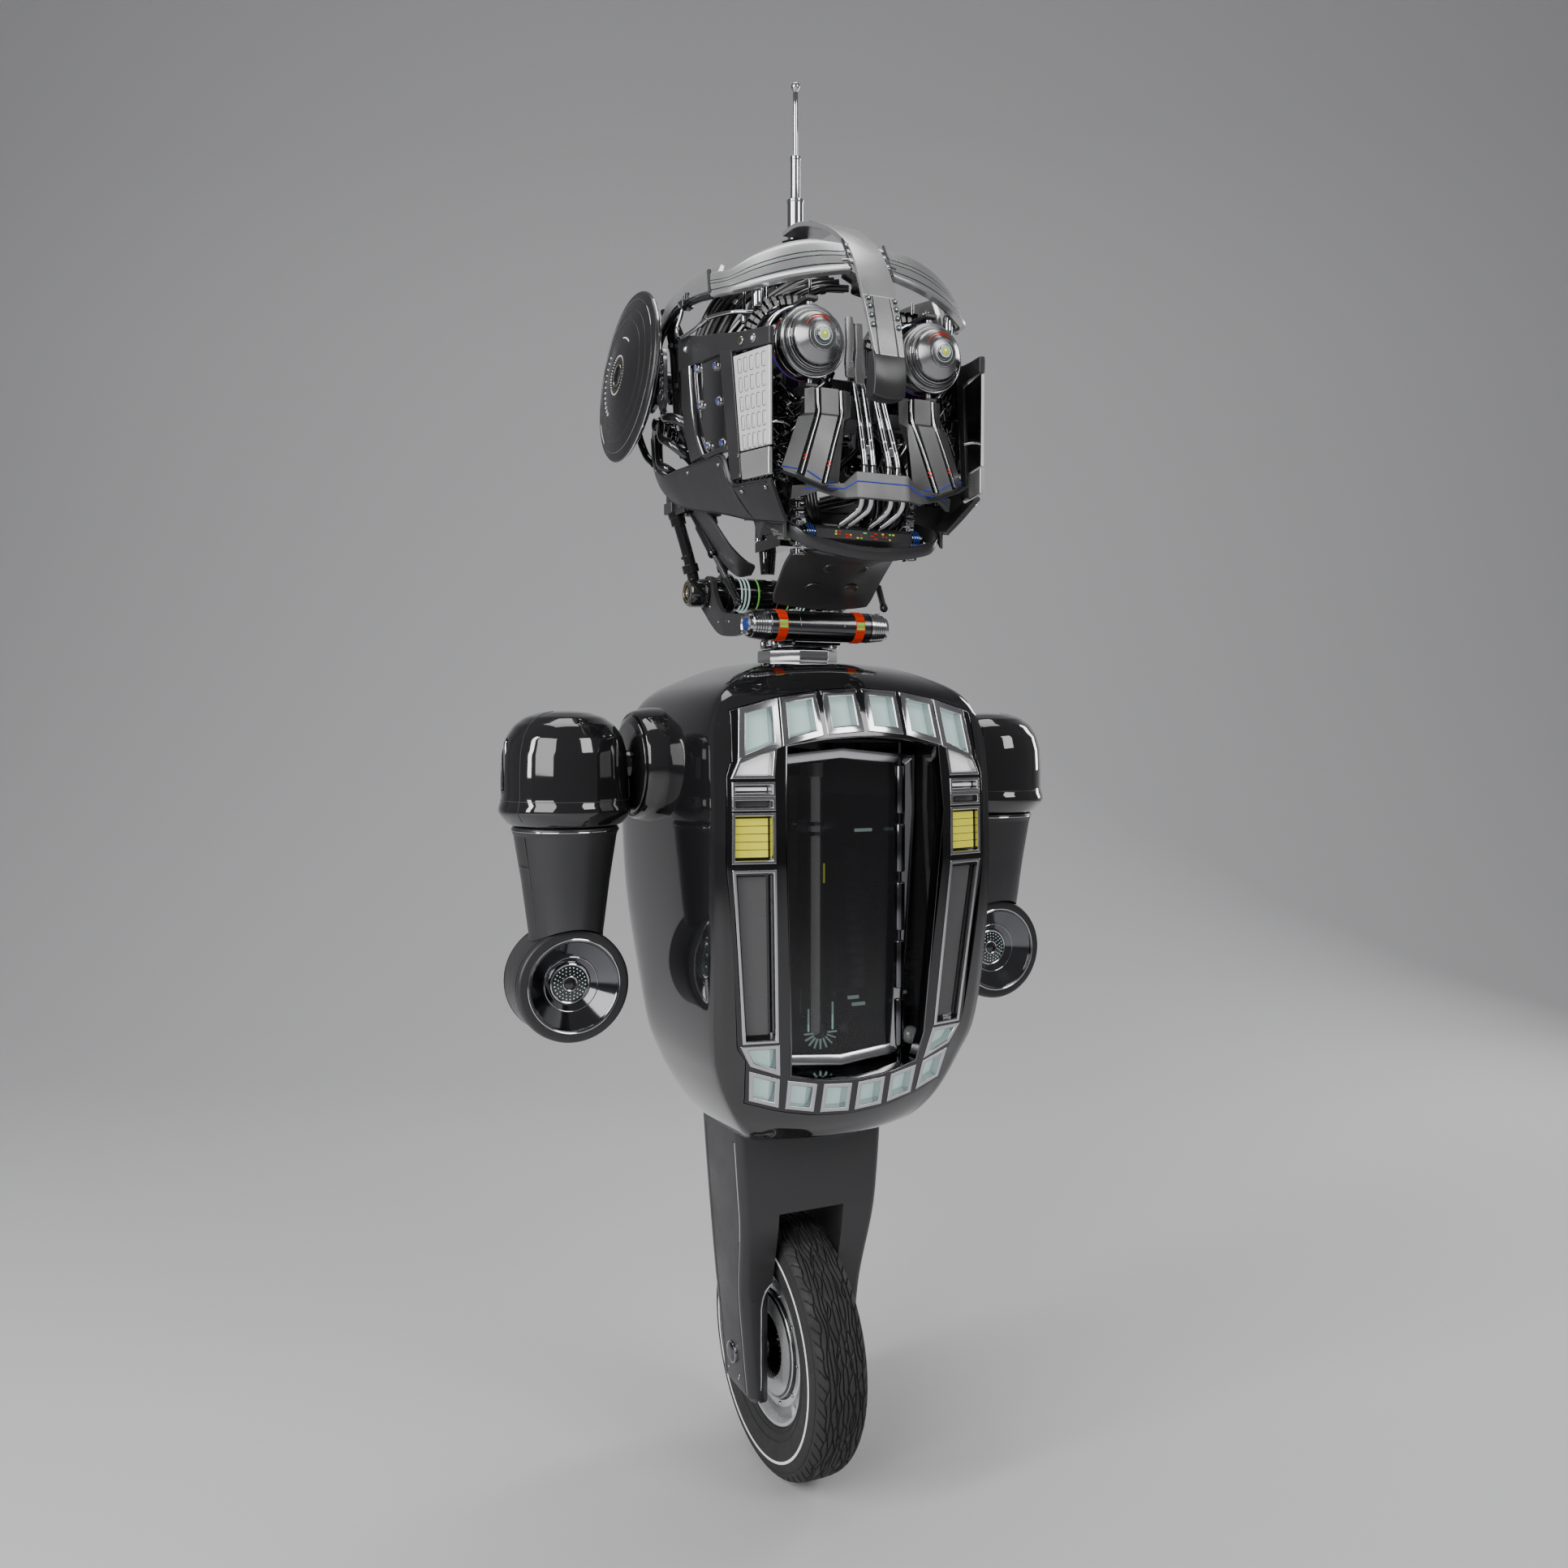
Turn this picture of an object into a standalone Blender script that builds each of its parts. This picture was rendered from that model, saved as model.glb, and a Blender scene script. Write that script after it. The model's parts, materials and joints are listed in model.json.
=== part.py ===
"""Self-balancing robot: one driven wheel in a fork, a barrel torso with a glazed chest bay,
two drum-ended arms and a mechanical head on a two-axis neck.

Dimensions below are millimetres, and MM turns them into metres. The robot faces -Y, its left
side is +X, and the origin is the point where the tyre meets the floor.
"""

import math

import bmesh
import bpy
from mathutils import Matrix, Vector

MM = 0.001
GAP = 0.4

# Wheel, motor and fork
WHEEL_R = 108.0
TYRE_HALF_W = 25.0
RIM_R = 65.0
ROTOR_R = 44.0
ROTOR_HALF_W = 17.0
AXLE_R = 6.0
FORK_GAP_HALF = 29.0
FORK_GAP_TOP = 236.0
FORK_TOP = 299.6
LEG_TIP = 73.0

# Torso: (height, half width, front reach, back reach, squareness of the back) of the barrel's
# rings, bottom to top. A squareness of 1 gives an elliptical back, and less gives a boxier one.
TORSO_RINGS = [
    (300, 64, 88, 56, 1), (312, 78, 100, 64, 1), (335, 95, 113.5, 73, 1), (365, 110, 121, 80, 0.95),
    (400, 120, 131, 86, 0.85), (480, 124, 141, 96, 0.5), (560, 124, 142, 104, 0.4),
    (610, 123, 138, 98, 0.4), (637, 118, 132, 90, 0.45), (655, 106, 123, 78, 0.55),
    (668, 82, 105, 57, 0.7), (676, 60, 80, 38, 0.85), (679, 42, 58, 20, 1),
]
FLAT_FRONT = 0.88
FRONT_BULGE = 15.0
SHELL_WALL = 5.0
FRONT_WALL = 26.0
BEZEL_T = 9.0
GUIDE_FRONT = BEZEL_T + 1.2
GUIDE_T = 3.0
POCKET_DEPTH = GUIDE_FRONT + GUIDE_T + 1.2

# Chest bay
BAY_HALF_W = 68.0
BAY_LOW = 362.0
BAY_HIGH = 616.0
BAY_WALL = 3.0
BAY_BACK = -33.0
DOOR_Y = -96.0
DOOR_T = 5.0
HINGE_X = 52.0
TUBE_Y = -53.0
TUBE_R = 5.0

# Arms
SHOULDER_Y = -8.0
SHOULDER_Z = 598.0
ARM_X = 192.0
CAP_TOP = 640.0
CAP_LOW = 553.0
HAND_Z = 432.0
DRUM_R = 43.5
DRUM_FRONT = -30.5
DRUM_BACK = 18.0

# Neck
NECK_Y = -20.0
COLLAR_LOW = 679.4
COLLAR_HIGH = 692.0
FRONT_AXIS = (-54.0, 707.0)
REAR_AXIS = (38.0, 739.0)
DRIVE_R = 12.0
REAR_DRIVE_R = 14.0

# Head
EYE_X = 49.3
EYE_Y = -140.0
EYE_Z = 900.0
EYE_R = 25.6
EAR_Y = 50.0
EAR_Z = 912.0
EAR_X = 114.0
EAR_TILT = math.radians(6.2)
DISH_R = 68.4
JAW_AXIS = (-62.0, 792.0)
ANTENNA_Y = -16.0
ANTENNA_TOP = 1141.0

LEFT_RIGHT = ((1, "left"), (-1, "right"))


# ---------------------------------------------------------------- shapes

def lathe(profile, axis, centre, segments=32):
    """Turns (radius, height) points about an axis. A profile that starts and ends at radius 0
    gives a plain solid, and any other one is a closed loop that gives a ring."""
    verts, faces, rows = [], [], []
    for radius, height in profile:
        row = []
        for k in range(1 if radius == 0 else segments):
            turn = 2 * math.pi * k / segments
            a, b = radius * math.cos(turn), radius * math.sin(turn)
            point = {"X": (height, a, b), "Y": (a, height, b), "Z": (a, b, height)}[axis]
            row.append(len(verts))
            verts.append(tuple(p + c for p, c in zip(point, centre)))
        rows.append(row)
    pairs = list(zip(rows, rows[1:]))
    if profile[0][0] != 0:
        pairs.append((rows[-1], rows[0]))
    for low, high in pairs:
        for k in range(segments):
            a, b = low[k % len(low)], low[(k + 1) % len(low)]
            c, d = high[(k + 1) % len(high)], high[k % len(high)]
            faces.append(tuple(dict.fromkeys((a, b, c, d))))
    return verts, [face for face in faces if len(face) > 2]


def loft(rings):
    """Joins rings of equal length into one closed body with flat ends."""
    count = len(rings[0])
    verts = [tuple(point) for ring in rings for point in ring]
    faces = [tuple(range(count)), tuple(range(len(verts) - count, len(verts)))]
    for r in range(len(rings) - 1):
        for k in range(count):
            a, b = r * count + k, r * count + (k + 1) % count
            faces.append((a, b, b + count, a + count))
    return verts, faces


def prism(outline, axis, low, high):
    """Extrudes an outline along an axis. Its points are the other two coordinates in order."""
    place = {
        "X": lambda p, t: (t, p[0], p[1]),
        "Y": lambda p, t: (p[0], t, p[1]),
        "Z": lambda p, t: (p[0], p[1], t),
    }[axis]
    return loft([[place(point, t) for point in outline] for t in (low, high)])


def block(x, y, z):
    return prism([(x[0], y[0]), (x[1], y[0]), (x[1], y[1]), (x[0], y[1])], "Z", z[0], z[1])


def tube(points, radius, sides=10):
    """A round bar along a smooth curve through the points."""
    points = [Vector(p) for p in points]
    route = []
    for i in range(len(points) - 1):
        before = points[max(i - 1, 0)]
        after = points[min(i + 2, len(points) - 1)]
        steps = 1 if len(points) == 2 else 3
        for k in range(steps):
            t = k / steps
            start, end = points[i], points[i + 1]
            bend = (end - before) * t + (2 * before - 5 * start + 4 * end - after) * t * t
            bend += (3 * start - before - 3 * end + after) * t ** 3
            route.append(start + bend * 0.5)
    route.append(points[-1])
    along = (route[1] - route[0]).normalized()
    side = along.orthogonal().normalized()
    rings = []
    for i, point in enumerate(route):
        ahead = (route[min(i + 1, len(route) - 1)] - route[max(i - 1, 0)]).normalized()
        side = (side - ahead * side.dot(ahead)).normalized()
        up = ahead.cross(side)
        turns = [2 * math.pi * k / sides for k in range(sides)]
        rings.append([point + (side * math.cos(t) + up * math.sin(t)) * radius for t in turns])
    return loft(rings)


def band(stations, thickness):
    """A plate through stations of (low point, high point). Seen from outside, with high above
    low, the stations run from left to right, and the thickness goes inward."""
    pairs = [(Vector(low), Vector(high)) for low, high in stations]
    middles = [(low + high) / 2 for low, high in pairs]
    rings = []
    for i, (low, high) in enumerate(pairs):
        along = middles[min(i + 1, len(pairs) - 1)] - middles[max(i - 1, 0)]
        inward = (high - low).cross(along).normalized() * thickness
        rings.append([low, high, high + inward, low + inward])
    return loft(rings)


def arc(centre, radius, start, end, count):
    """Points on an arc, with angles in degrees."""
    turns = [math.radians(start + (end - start) * k / (count - 1)) for k in range(count)]
    return [(centre[0] + radius * math.cos(t), centre[1] + radius * math.sin(t)) for t in turns]


def mirror(shape, side):
    """The same shape on the robot's left (side 1) or right (side -1)."""
    verts, faces = shape
    return [(side * x, y, z) for x, y, z in verts], faces


def turned(shape, angle, axis, centre):
    """The shape turned by an angle in radians about an axis through a point."""
    turn = Matrix.Rotation(angle, 3, axis)
    middle = Vector(centre)
    return [tuple(turn @ (Vector(v) - middle) + middle) for v in shape[0]], shape[1]


# ---------------------------------------------------------------- objects

def material(name, colour, roughness, metallic):
    made = bpy.data.materials.new(name)
    made.use_nodes = True
    shader = made.node_tree.nodes["Principled BSDF"]
    shader.inputs["Base Color"].default_value = (*colour, 1)
    shader.inputs["Roughness"].default_value = roughness
    shader.inputs["Metallic"].default_value = metallic
    return made


def mesh_object(name, shape, pivot):
    """An object from world points in millimetres, with its origin at the pivot."""
    verts, faces = shape
    work = bmesh.new()
    for x, y, z in verts:
        work.verts.new(((x - pivot[0]) * MM, (y - pivot[1]) * MM, (z - pivot[2]) * MM))
    work.verts.ensure_lookup_table()
    for face in faces:
        work.faces.new([work.verts[i] for i in face])
    bmesh.ops.recalc_face_normals(work, faces=work.faces)
    mesh = bpy.data.meshes.new(name)
    work.to_mesh(mesh)
    work.free()
    mesh.shade_smooth()
    mesh.set_sharp_from_angle(angle=math.radians(32))
    made = bpy.data.objects.new(name, mesh)
    made.location = [value * MM for value in pivot]
    bpy.context.scene.collection.objects.link(made)
    return made


def piece(name, look, shape, adds=(), cuts=(), pivot=(0, 0, 0)):
    """One named sub-part: a base shape, the shapes joined to it and the shapes cut from it."""
    colour, roughness, metallic = look
    made = mesh_object(name, shape, pivot)
    made.data.materials.append(material(name, colour, roughness, metallic))
    for operation, shapes in (("UNION", adds), ("DIFFERENCE", cuts)):
        for number, other in enumerate(shapes):
            tool = mesh_object(f"{name}_{operation.lower()}_{number}", other, (0, 0, 0))
            tool.hide_render = True
            tool.display_type = "WIRE"
            change = made.modifiers.new(tool.name, "BOOLEAN")
            change.operation = operation
            change.solver = "EXACT"
            change.object = tool
    return made


BLACK_GLOSS = ((0.012, 0.012, 0.014), 0.12, 0.6)
DARK_SATIN = ((0.03, 0.03, 0.032), 0.4, 0.5)
GREY_METAL = ((0.35, 0.35, 0.36), 0.25, 1.0)
CHROME = ((0.75, 0.75, 0.77), 0.08, 1.0)
RUBBER = ((0.025, 0.025, 0.025), 0.8, 0.0)
GLASS = ((0.05, 0.06, 0.06), 0.05, 0.0)
PALE_LIGHT = ((0.72, 0.86, 0.85), 0.4, 0.0)
BATTERY_BLUE = ((0.05, 0.09, 0.2), 0.5, 0.0)
BOARD_GREEN = ((0.02, 0.1, 0.05), 0.5, 0.0)


# ---------------------------------------------------------------- wheel and fork

def build_wheel():
    hub = (0, 0, WHEEL_R)
    half = [(RIM_R + 0.4, 18), (74, 22), (86, 25), (98, 23.5), (104, 18), (107, 9), (WHEEL_R, 0)]
    section = half + [(r, -x) for r, x in reversed(half[:-1])]
    piece("tyre", RUBBER, lathe(section, "X", hub, 40), pivot=hub)

    barrel = [(RIM_R, 18), (RIM_R, -18), (61.5, -18), (58.5, -12), (58.5, 12), (61.5, 18)]
    seat = [(50, 13), (ROTOR_R + GAP, 13), (ROTOR_R + GAP, -13), (50, -13)]
    spokes = []
    for k in range(5):
        angle = 2 * math.pi * k / 5
        spoke = prism([(-7, 47), (7, 47), (10, 60), (-10, 60)], "X", -9, 9)
        spoke = [(x, y, z + WHEEL_R) for x, y, z in spoke[0]], spoke[1]
        spokes.append(turned(spoke, angle, "X", hub))
    rings = [lathe(seat, "X", hub, 32)]
    piece("wheel_rim", CHROME, lathe(barrel, "X", hub, 32), adds=rings + spokes, pivot=hub)

    bore, web, cavity = AXLE_R + GAP, 14, 39
    half = ROTOR_HALF_W
    section = [
        (bore, -half), (ROTOR_R - 3, -half), (ROTOR_R, -half + 3), (ROTOR_R, half - 3),
        (ROTOR_R - 3, half), (bore, half), (bore, web), (cavity, web), (cavity, -web), (bore, -web),
    ]
    piece("hub_rotor", DARK_SATIN, lathe(section, "X", hub, 28), pivot=hub)


def build_motor_core():
    hub = (0, 0, WHEEL_R)
    head = FORK_GAP_HALF + 19
    shaft = [
        (0, -head - 5), (8, -head - 5), (9.5, -head - 3), (9.5, -head), (AXLE_R, -head),
        (AXLE_R, head), (9.5, head), (9.5, head + 3), (8, head + 5), (0, head + 5),
    ]
    piece("axle", CHROME, lathe(shaft, "X", hub, 16))
    teeth = []
    for k in range(12):
        start = 30 * k
        teeth += arc((0, WHEEL_R), 36, start, start + 20, 3)
        teeth += arc((0, WHEEL_R), 29, start + 22, start + 28, 2)
    bore = lathe([(0, -20), (AXLE_R + GAP, -20), (AXLE_R + GAP, 20), (0, 20)], "X", hub, 16)
    piece("motor_stator", GREY_METAL, prism(teeth, "X", -11, 11), cuts=[bore])


def rounded_ring(half_x, front, back, z, corner=7.0):
    """A level rectangle with rounded corners."""
    points = []
    for x, y, start in (
        (half_x, back, 0), (-half_x, back, 90), (-half_x, front, 180), (half_x, front, 270),
    ):
        centre = (x - math.copysign(corner, x), y - corner if y > 0 else y + corner)
        points += arc(centre, corner, start, start + 90, 4)
    return [(x, y, z) for x, y in points]


def build_fork():
    levels = [
        (LEG_TIP, 42, -26, 24), (LEG_TIP + 7, 47, -31, 28), (150, 53.5, -31, 29),
        (175, 56, -34, 29.5), (225, 60, -47, 30), (FORK_TOP, 66, -48, 30),
    ]
    body = loft([rounded_ring(half, front, back, z) for z, half, front, back in levels])
    gap = block((-FORK_GAP_HALF, FORK_GAP_HALF), (-80, 80), (0, FORK_GAP_TOP))
    hole = AXLE_R + GAP
    shoulder = FORK_GAP_HALF + 19 - GAP
    bore = [(0, 20), (hole, 20), (hole, shoulder), (10.5, shoulder), (10.5, 80), (0, 80)]
    bore = lathe(bore, "X", (0, 0, WHEEL_R), 16)
    corner = loft([
        [(28, -23 - rise, z), (28, -60, z), (reach + 16, -60, z), (reach, -33 - rise, z)]
        for z, reach, rise in ((50, 38, 0), (150, 38, 0), (166, 36, 1), (180, 28.2, 11))
    ])
    cuts = [gap]
    for side, _ in LEFT_RIGHT:
        cuts += [mirror(bore, side), mirror(corner, side)]
    piece("fork_shell", DARK_SATIN, body, cuts=cuts)


# ---------------------------------------------------------------- torso

def torso_at(z):
    """Half width, front reach, back reach and squareness of the barrel at a height."""
    rows = TORSO_RINGS
    for low, high in zip(rows, rows[1:]):
        if z <= high[0]:
            break
    t = min(max((z - low[0]) / (high[0] - low[0]), 0), 1)
    return [a + (b - a) * t for a, b in zip(low[1:], high[1:])]


def front_y(x, z):
    half, front, _, _ = torso_at(z)
    return -front + FRONT_BULGE * (x / (FLAT_FRONT * half)) ** 2


def torso_ring(z, half, front, back, square):
    """A level ring: a bulged flat front, straight flanks and a rounded back."""
    right = [(FLAT_FRONT * half * u, FRONT_BULGE * u * u - front) for u in (0.25, 0.5, 0.75, 1)]
    right += [(0.955 * half, -front + 24), (0.99 * half, -0.45 * front), (half, 0)]
    for degrees in (22, 44, 66):
        angle = math.radians(degrees)
        right.append((half * math.cos(angle) ** square, back * math.sin(angle) ** square))
    ring = [(0, -front)] + right + [(0, back)] + [(-x, y) for x, y in reversed(right)]
    return [(x, y, z) for x, y in ring]


def outline_x(column, z):
    """Sideways place of a bezel grid line. Each line has its top, middle and bottom place."""
    heights = (345, 372, 400, 530, 600, 640)
    places = {
        0: (0, 0, 0, 0, 0, 0),
        1: (5, 5, 5.5, 6, 6, 6),
        2: (24, 24, 25, 28, 28, 28),
        3: (34, 34, 35, 39, 39, 39),
        4: (52, 54, 57, 66, 66, 61),
        5: (62, 66, 68, 75, 75, 70),
        6: (80, 86, 92, 104, 103, 92),
        7: (85, 91, 97, 109, 108, 102),
    }[abs(column)]
    z = min(max(z, heights[0]), heights[-1])
    for i in range(len(heights) - 1):
        if z <= heights[i + 1]:
            break
    t = (z - heights[i]) / (heights[i + 1] - heights[i])
    return math.copysign(places[i] + (places[i + 1] - places[i]) * t, column)


BEZEL_ROWS = (
    (656.5, -14), (652, -14), (628, -20), (620, -14), (592, 0), (587, 0), (579, 0), (576, 0),
    (569, 0), (565, 0), (531, 0), (524, 0), (398, 0), (393, 0), (362, 23), (356.5, 19),
    (338, 19), (333, 19),
)
COLUMNS = (-7, -6, -5, -4, -3, -2, -1, 1, 2, 3, 4, 5, 6, 7)
TOP_WINDOWS = {(1, column) for column in (1, 3, 5, 7, 9, 11)}
LOW_WINDOWS = {(15, column) for column in (1, 3, 5, 7, 9, 11)}
SIDE_WINDOWS = {(row, column) for row in (3, 5, 7, 9, 11, 13) for column in (1, 11)}
CHEST_OPENING = {(row, column) for row in range(3, 14) for column in range(3, 10)}


def grid_point(row, column, spread):
    base, rise = BEZEL_ROWS[row]
    x = outline_x(COLUMNS[column], base)
    z = base + rise * (x / 92) ** 2
    if row in (0, len(BEZEL_ROWS) - 1):
        z += spread if row == 0 else -spread
    if column in (0, len(COLUMNS) - 1):
        x += math.copysign(spread, x)
    return x, z


def front_plate(holes, ahead, behind, spread=0.0):
    """A plate that follows the barrel's front, with the listed grid cells left open."""
    verts, faces, index = [], [], {}

    def corner(row, column, layer):
        key = (row, column, layer)
        if key not in index:
            x, z = grid_point(row, column, spread)
            index[key] = len(verts)
            verts.append((x, front_y(x, z) + (ahead, behind)[layer], z))
        return index[key]

    rows, columns = len(BEZEL_ROWS) - 1, len(COLUMNS) - 1
    filled = {(r, c) for r in range(rows) for c in range(columns)} - holes
    for r, c in sorted(filled):
        ring = [(r, c), (r, c + 1), (r + 1, c + 1), (r + 1, c)]
        faces.append([corner(a, b, 0) for a, b in ring])
        faces.append([corner(a, b, 1) for a, b in reversed(ring)])
        beyond = [(r - 1, c), (r, c + 1), (r + 1, c), (r, c - 1)]
        for k, neighbour in enumerate(beyond):
            if neighbour not in filled:
                (a, b), (d, e) = ring[k], ring[(k + 1) % 4]
                faces.append([corner(d, e, 0), corner(a, b, 0), corner(a, b, 1), corner(d, e, 1)])
    return verts, faces


def build_torso():
    outer = loft([torso_ring(*ring) for ring in TORSO_RINGS])
    inner_rings = []
    for z, half, front, back, square in TORSO_RINGS[1:-1]:
        shift = 6 if z < 400 else 0
        shift = -6 if z > 660 else shift
        reach = max(front - FRONT_WALL, 40)
        ring = torso_ring(z + shift, half - SHELL_WALL, reach, back - SHELL_WALL, square)
        inner_rings.append(ring)
    inner = loft(inner_rings)
    pocket = front_plate(set(), -30, POCKET_DEPTH, spread=1.5 * GAP)
    side = BAY_HALF_W + BAY_WALL + GAP
    bay = block((-side, side), (-170, -60), (BAY_LOW - BAY_WALL - GAP, BAY_HIGH + BAY_WALL + GAP))
    neck = lathe([(0, 660), (13, 660), (13, 690), (0, 690)], "Z", (0, NECK_Y, 0), 24)
    shaft = lathe([(0, -140), (15, -140), (15, 140), (0, 140)], "X", (0, SHOULDER_Y, SHOULDER_Z), 24)
    piece("torso_shell", BLACK_GLOSS, outer, cuts=[inner, pocket, bay, neck, shaft])

    windows = TOP_WINDOWS | LOW_WINDOWS | SIDE_WINDOWS | CHEST_OPENING
    piece("window_bezel", CHROME, front_plate(windows, 0, BEZEL_T))
    guide = front_plate(CHEST_OPENING, GUIDE_FRONT, GUIDE_FRONT + GUIDE_T)
    piece("light_guide", PALE_LIGHT, guide)


def build_chest_bay():
    side, wall = BAY_HALF_W, BAY_WALL
    outer = block((-side - wall, side + wall), (-150, BAY_BACK + wall), (BAY_LOW - wall, BAY_HIGH + wall))
    inner = block((-side, side), (-160, BAY_BACK), (BAY_LOW, BAY_HIGH))
    trim = front_plate(set(), -60, POCKET_DEPTH, spread=40.0)
    pins = (HINGE_X, DOOR_Y, 0)
    socket = lathe([(0, 340), (2.6, 340), (2.6, 640), (0, 640)], "Z", pins, 12)
    clamp_hole = block((-4.6, 4.6), (BAY_BACK - 1, 0), (543, 551))
    piece("chest_liner", DARK_SATIN, outer, cuts=[inner, trim, socket, clamp_hole])

    low, high = BAY_LOW + 9, BAY_HIGH - 4
    glass = [
        (-52, low), (0, low - 5), (52, low), (65, 560), (65, high - 6), (0, high),
        (-65, high - 6), (-65, 560),
    ]
    plate = prism(glass, "Y", DOOR_Y - DOOR_T / 2, DOOR_Y + DOOR_T / 2)
    barrel = lathe([(0, low), (4.5, low), (4.5, high - 8), (0, high - 8)], "Z", pins, 16)
    pin = lathe([(0, BAY_LOW - 2), (2, BAY_LOW - 2), (2, BAY_HIGH + 2), (0, BAY_HIGH + 2)], "Z", pins, 12)
    piece("chest_door", GLASS, plate, adds=[barrel, pin], pivot=(HINGE_X, DOOR_Y, 490))

    spot = (0, TUBE_Y, 0)
    profile = [
        (0, 372), (8, 372), (8, 386), (TUBE_R, 388), (TUBE_R, 542), (7, 542), (7, 552), (TUBE_R, 552),
        (TUBE_R, 604), (3.5, 608), (0, 609),
    ]
    arm = block((-4, 4), (TUBE_Y + 3, BAY_BACK + 1.5), (544, 550))
    piece("sight_tube", GLASS, lathe(profile, "Z", spot, 12), adds=[arm])


def build_inside():
    piece("battery_pack", BATTERY_BLUE, block((-46, 46), (-24, 38), (326, 440)))
    chips = [block((-40, -12), (-22.5, -14), (470, 500)), block((8, 44), (-22.5, -17), (520, 556))]
    board = block((-54, 54), (-25, -22), (452, 572))
    piece("control_board", BOARD_GREEN, board, adds=chips)


# ---------------------------------------------------------------- arms

def build_shoulder_shaft():
    centre = (0, SHOULDER_Y, SHOULDER_Z)
    half = [
        (12, 152), (12, 141), (38, 141), (38, 137), (31, 136), (31, 133.5), (37, 132.5), (37, 129),
        (30, 126), (14, 124.6),
    ]
    profile = [(0, 152)] + half + [(r, -x) for r, x in reversed(half)] + [(0, -152)]
    piece("shoulder_shaft", BLACK_GLOSS, lathe(profile, "X", centre, 24))


def build_arm(side, name):
    centre = (ARM_X, SHOULDER_Y, 0)
    pivot = (side * ARM_X, SHOULDER_Y, SHOULDER_Z)
    dome = [
        (0, CAP_TOP), (17, CAP_TOP - 1), (33, CAP_TOP - 7), (43, CAP_TOP - 18), (48, CAP_TOP - 38),
        (48.5, CAP_TOP - 66), (50.5, CAP_TOP - 77), (46, CAP_LOW + 5), (41, CAP_LOW), (0, CAP_LOW),
    ]
    socket = lathe([(0, 130), (12.4, 130), (12.4, 152.6), (0, 152.6)], "X", (0, SHOULDER_Y, SHOULDER_Z), 16)
    slot = block((234, 260), (SHOULDER_Y - 9, SHOULDER_Y + 9), (578, 618))
    bore = lathe([(0, 540), (10.4, 540), (10.4, 576), (0, 576)], "Z", centre, 16)
    cuts = [mirror(shape, side) for shape in (socket, slot, bore)]
    cap = mirror(lathe(dome, "Z", centre, 24), side)
    piece(f"shoulder_cap_{name}", BLACK_GLOSS, cap, cuts=cuts, pivot=pivot)

    spindle = CAP_LOW + 22
    cone = [
        (0, spindle), (10, spindle), (10, CAP_LOW - GAP), (40.5, CAP_LOW - GAP), (41, CAP_LOW - 4),
        (39.5, CAP_LOW - 6), (28, 470), (28, 452), (0, 452),
    ]
    saddle_r = DRUM_R + GAP
    hand = (ARM_X, 0, HAND_Z)
    saddle = lathe([(0, -60), (saddle_r, -60), (saddle_r, 60), (0, 60)], "Y", hand, 28)
    arm_pivot = (side * ARM_X, SHOULDER_Y, CAP_LOW)
    cone_shape = mirror(lathe(cone, "Z", centre, 24), side)
    piece(f"forearm_{name}", DARK_SATIN, cone_shape, cuts=[mirror(saddle, side)], pivot=arm_pivot)

    drum = [
        (0, DRUM_BACK), (40, DRUM_BACK), (DRUM_R, DRUM_BACK - 3), (DRUM_R, DRUM_FRONT + 1.5),
        (DRUM_R - 1.5, DRUM_FRONT), (35.5, DRUM_FRONT), (35.5, DRUM_FRONT + 2),
        (15.5, DRUM_FRONT + 19), (0, DRUM_FRONT + 19),
    ]
    piece(f"hand_drum_{name}", DARK_SATIN, mirror(lathe(drum, "Y", hand, 28), side), pivot=arm_pivot)
    lamp = [
        (0, DRUM_FRONT + 18.6), (15, DRUM_FRONT + 18.6), (35, DRUM_FRONT + 1.6), (35, DRUM_FRONT - 0.6),
        (33, DRUM_FRONT - 0.6), (14.5, DRUM_FRONT + 15), (13, DRUM_FRONT + 11), (0, DRUM_FRONT + 10),
    ]
    piece(f"hand_lamp_{name}", CHROME, mirror(lathe(lamp, "Y", hand, 28), side), pivot=arm_pivot)


# ---------------------------------------------------------------- neck

def polygon(radius, sides, centre, offset=0.0):
    turns = [2 * math.pi * (k + offset) / sides for k in range(sides)]
    return [(centre[0] + radius * math.cos(t), centre[1] + radius * math.sin(t)) for t in turns]


def build_neck_base():
    middle = (0, NECK_Y)
    collar = prism(polygon(36, 8, middle, 0.5), "Z", COLLAR_LOW, COLLAR_HIGH)
    bore = lathe([(0, 670), (12.4, 670), (12.4, 700), (0, 700)], "Z", (0, NECK_Y, 0), 24)
    piece("neck_collar", CHROME, collar, cuts=[bore])

    pivot = (0, NECK_Y, COLLAR_HIGH)
    low = COLLAR_HIGH + GAP
    plate = prism(polygon(26, 6, middle), "Z", low, low + 7)
    spindle = lathe([(0, 664), (12, 664), (12, 696), (0, 696)], "Z", (0, NECK_Y, 0), 24)
    y, z = FRONT_AXIS
    cradle = prism([(NECK_Y + 8, low + 6), (NECK_Y + 8, 712), (y, 712), (y - 4, low + 2), (y + 8, low)],
                   "X", -20, 20)
    seat = DRIVE_R + GAP
    drive_hole = lathe([(0, -60), (seat, -60), (seat, 60), (0, 60)], "X", (0, y, z), 20)
    piece("neck_turntable", GREY_METAL, plate, adds=[spindle, cradle], cuts=[drive_hole], pivot=pivot)

    profile = [(0, -59.5), (6, -59.5), (6, -44), (DRIVE_R, -44), (DRIVE_R, 44), (6, 44), (6, 59.5), (0, 59.5)]
    piece("neck_pitch_drive", CHROME, lathe(profile, "X", (0, y, z), 20), pivot=(0, y, z))


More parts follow.
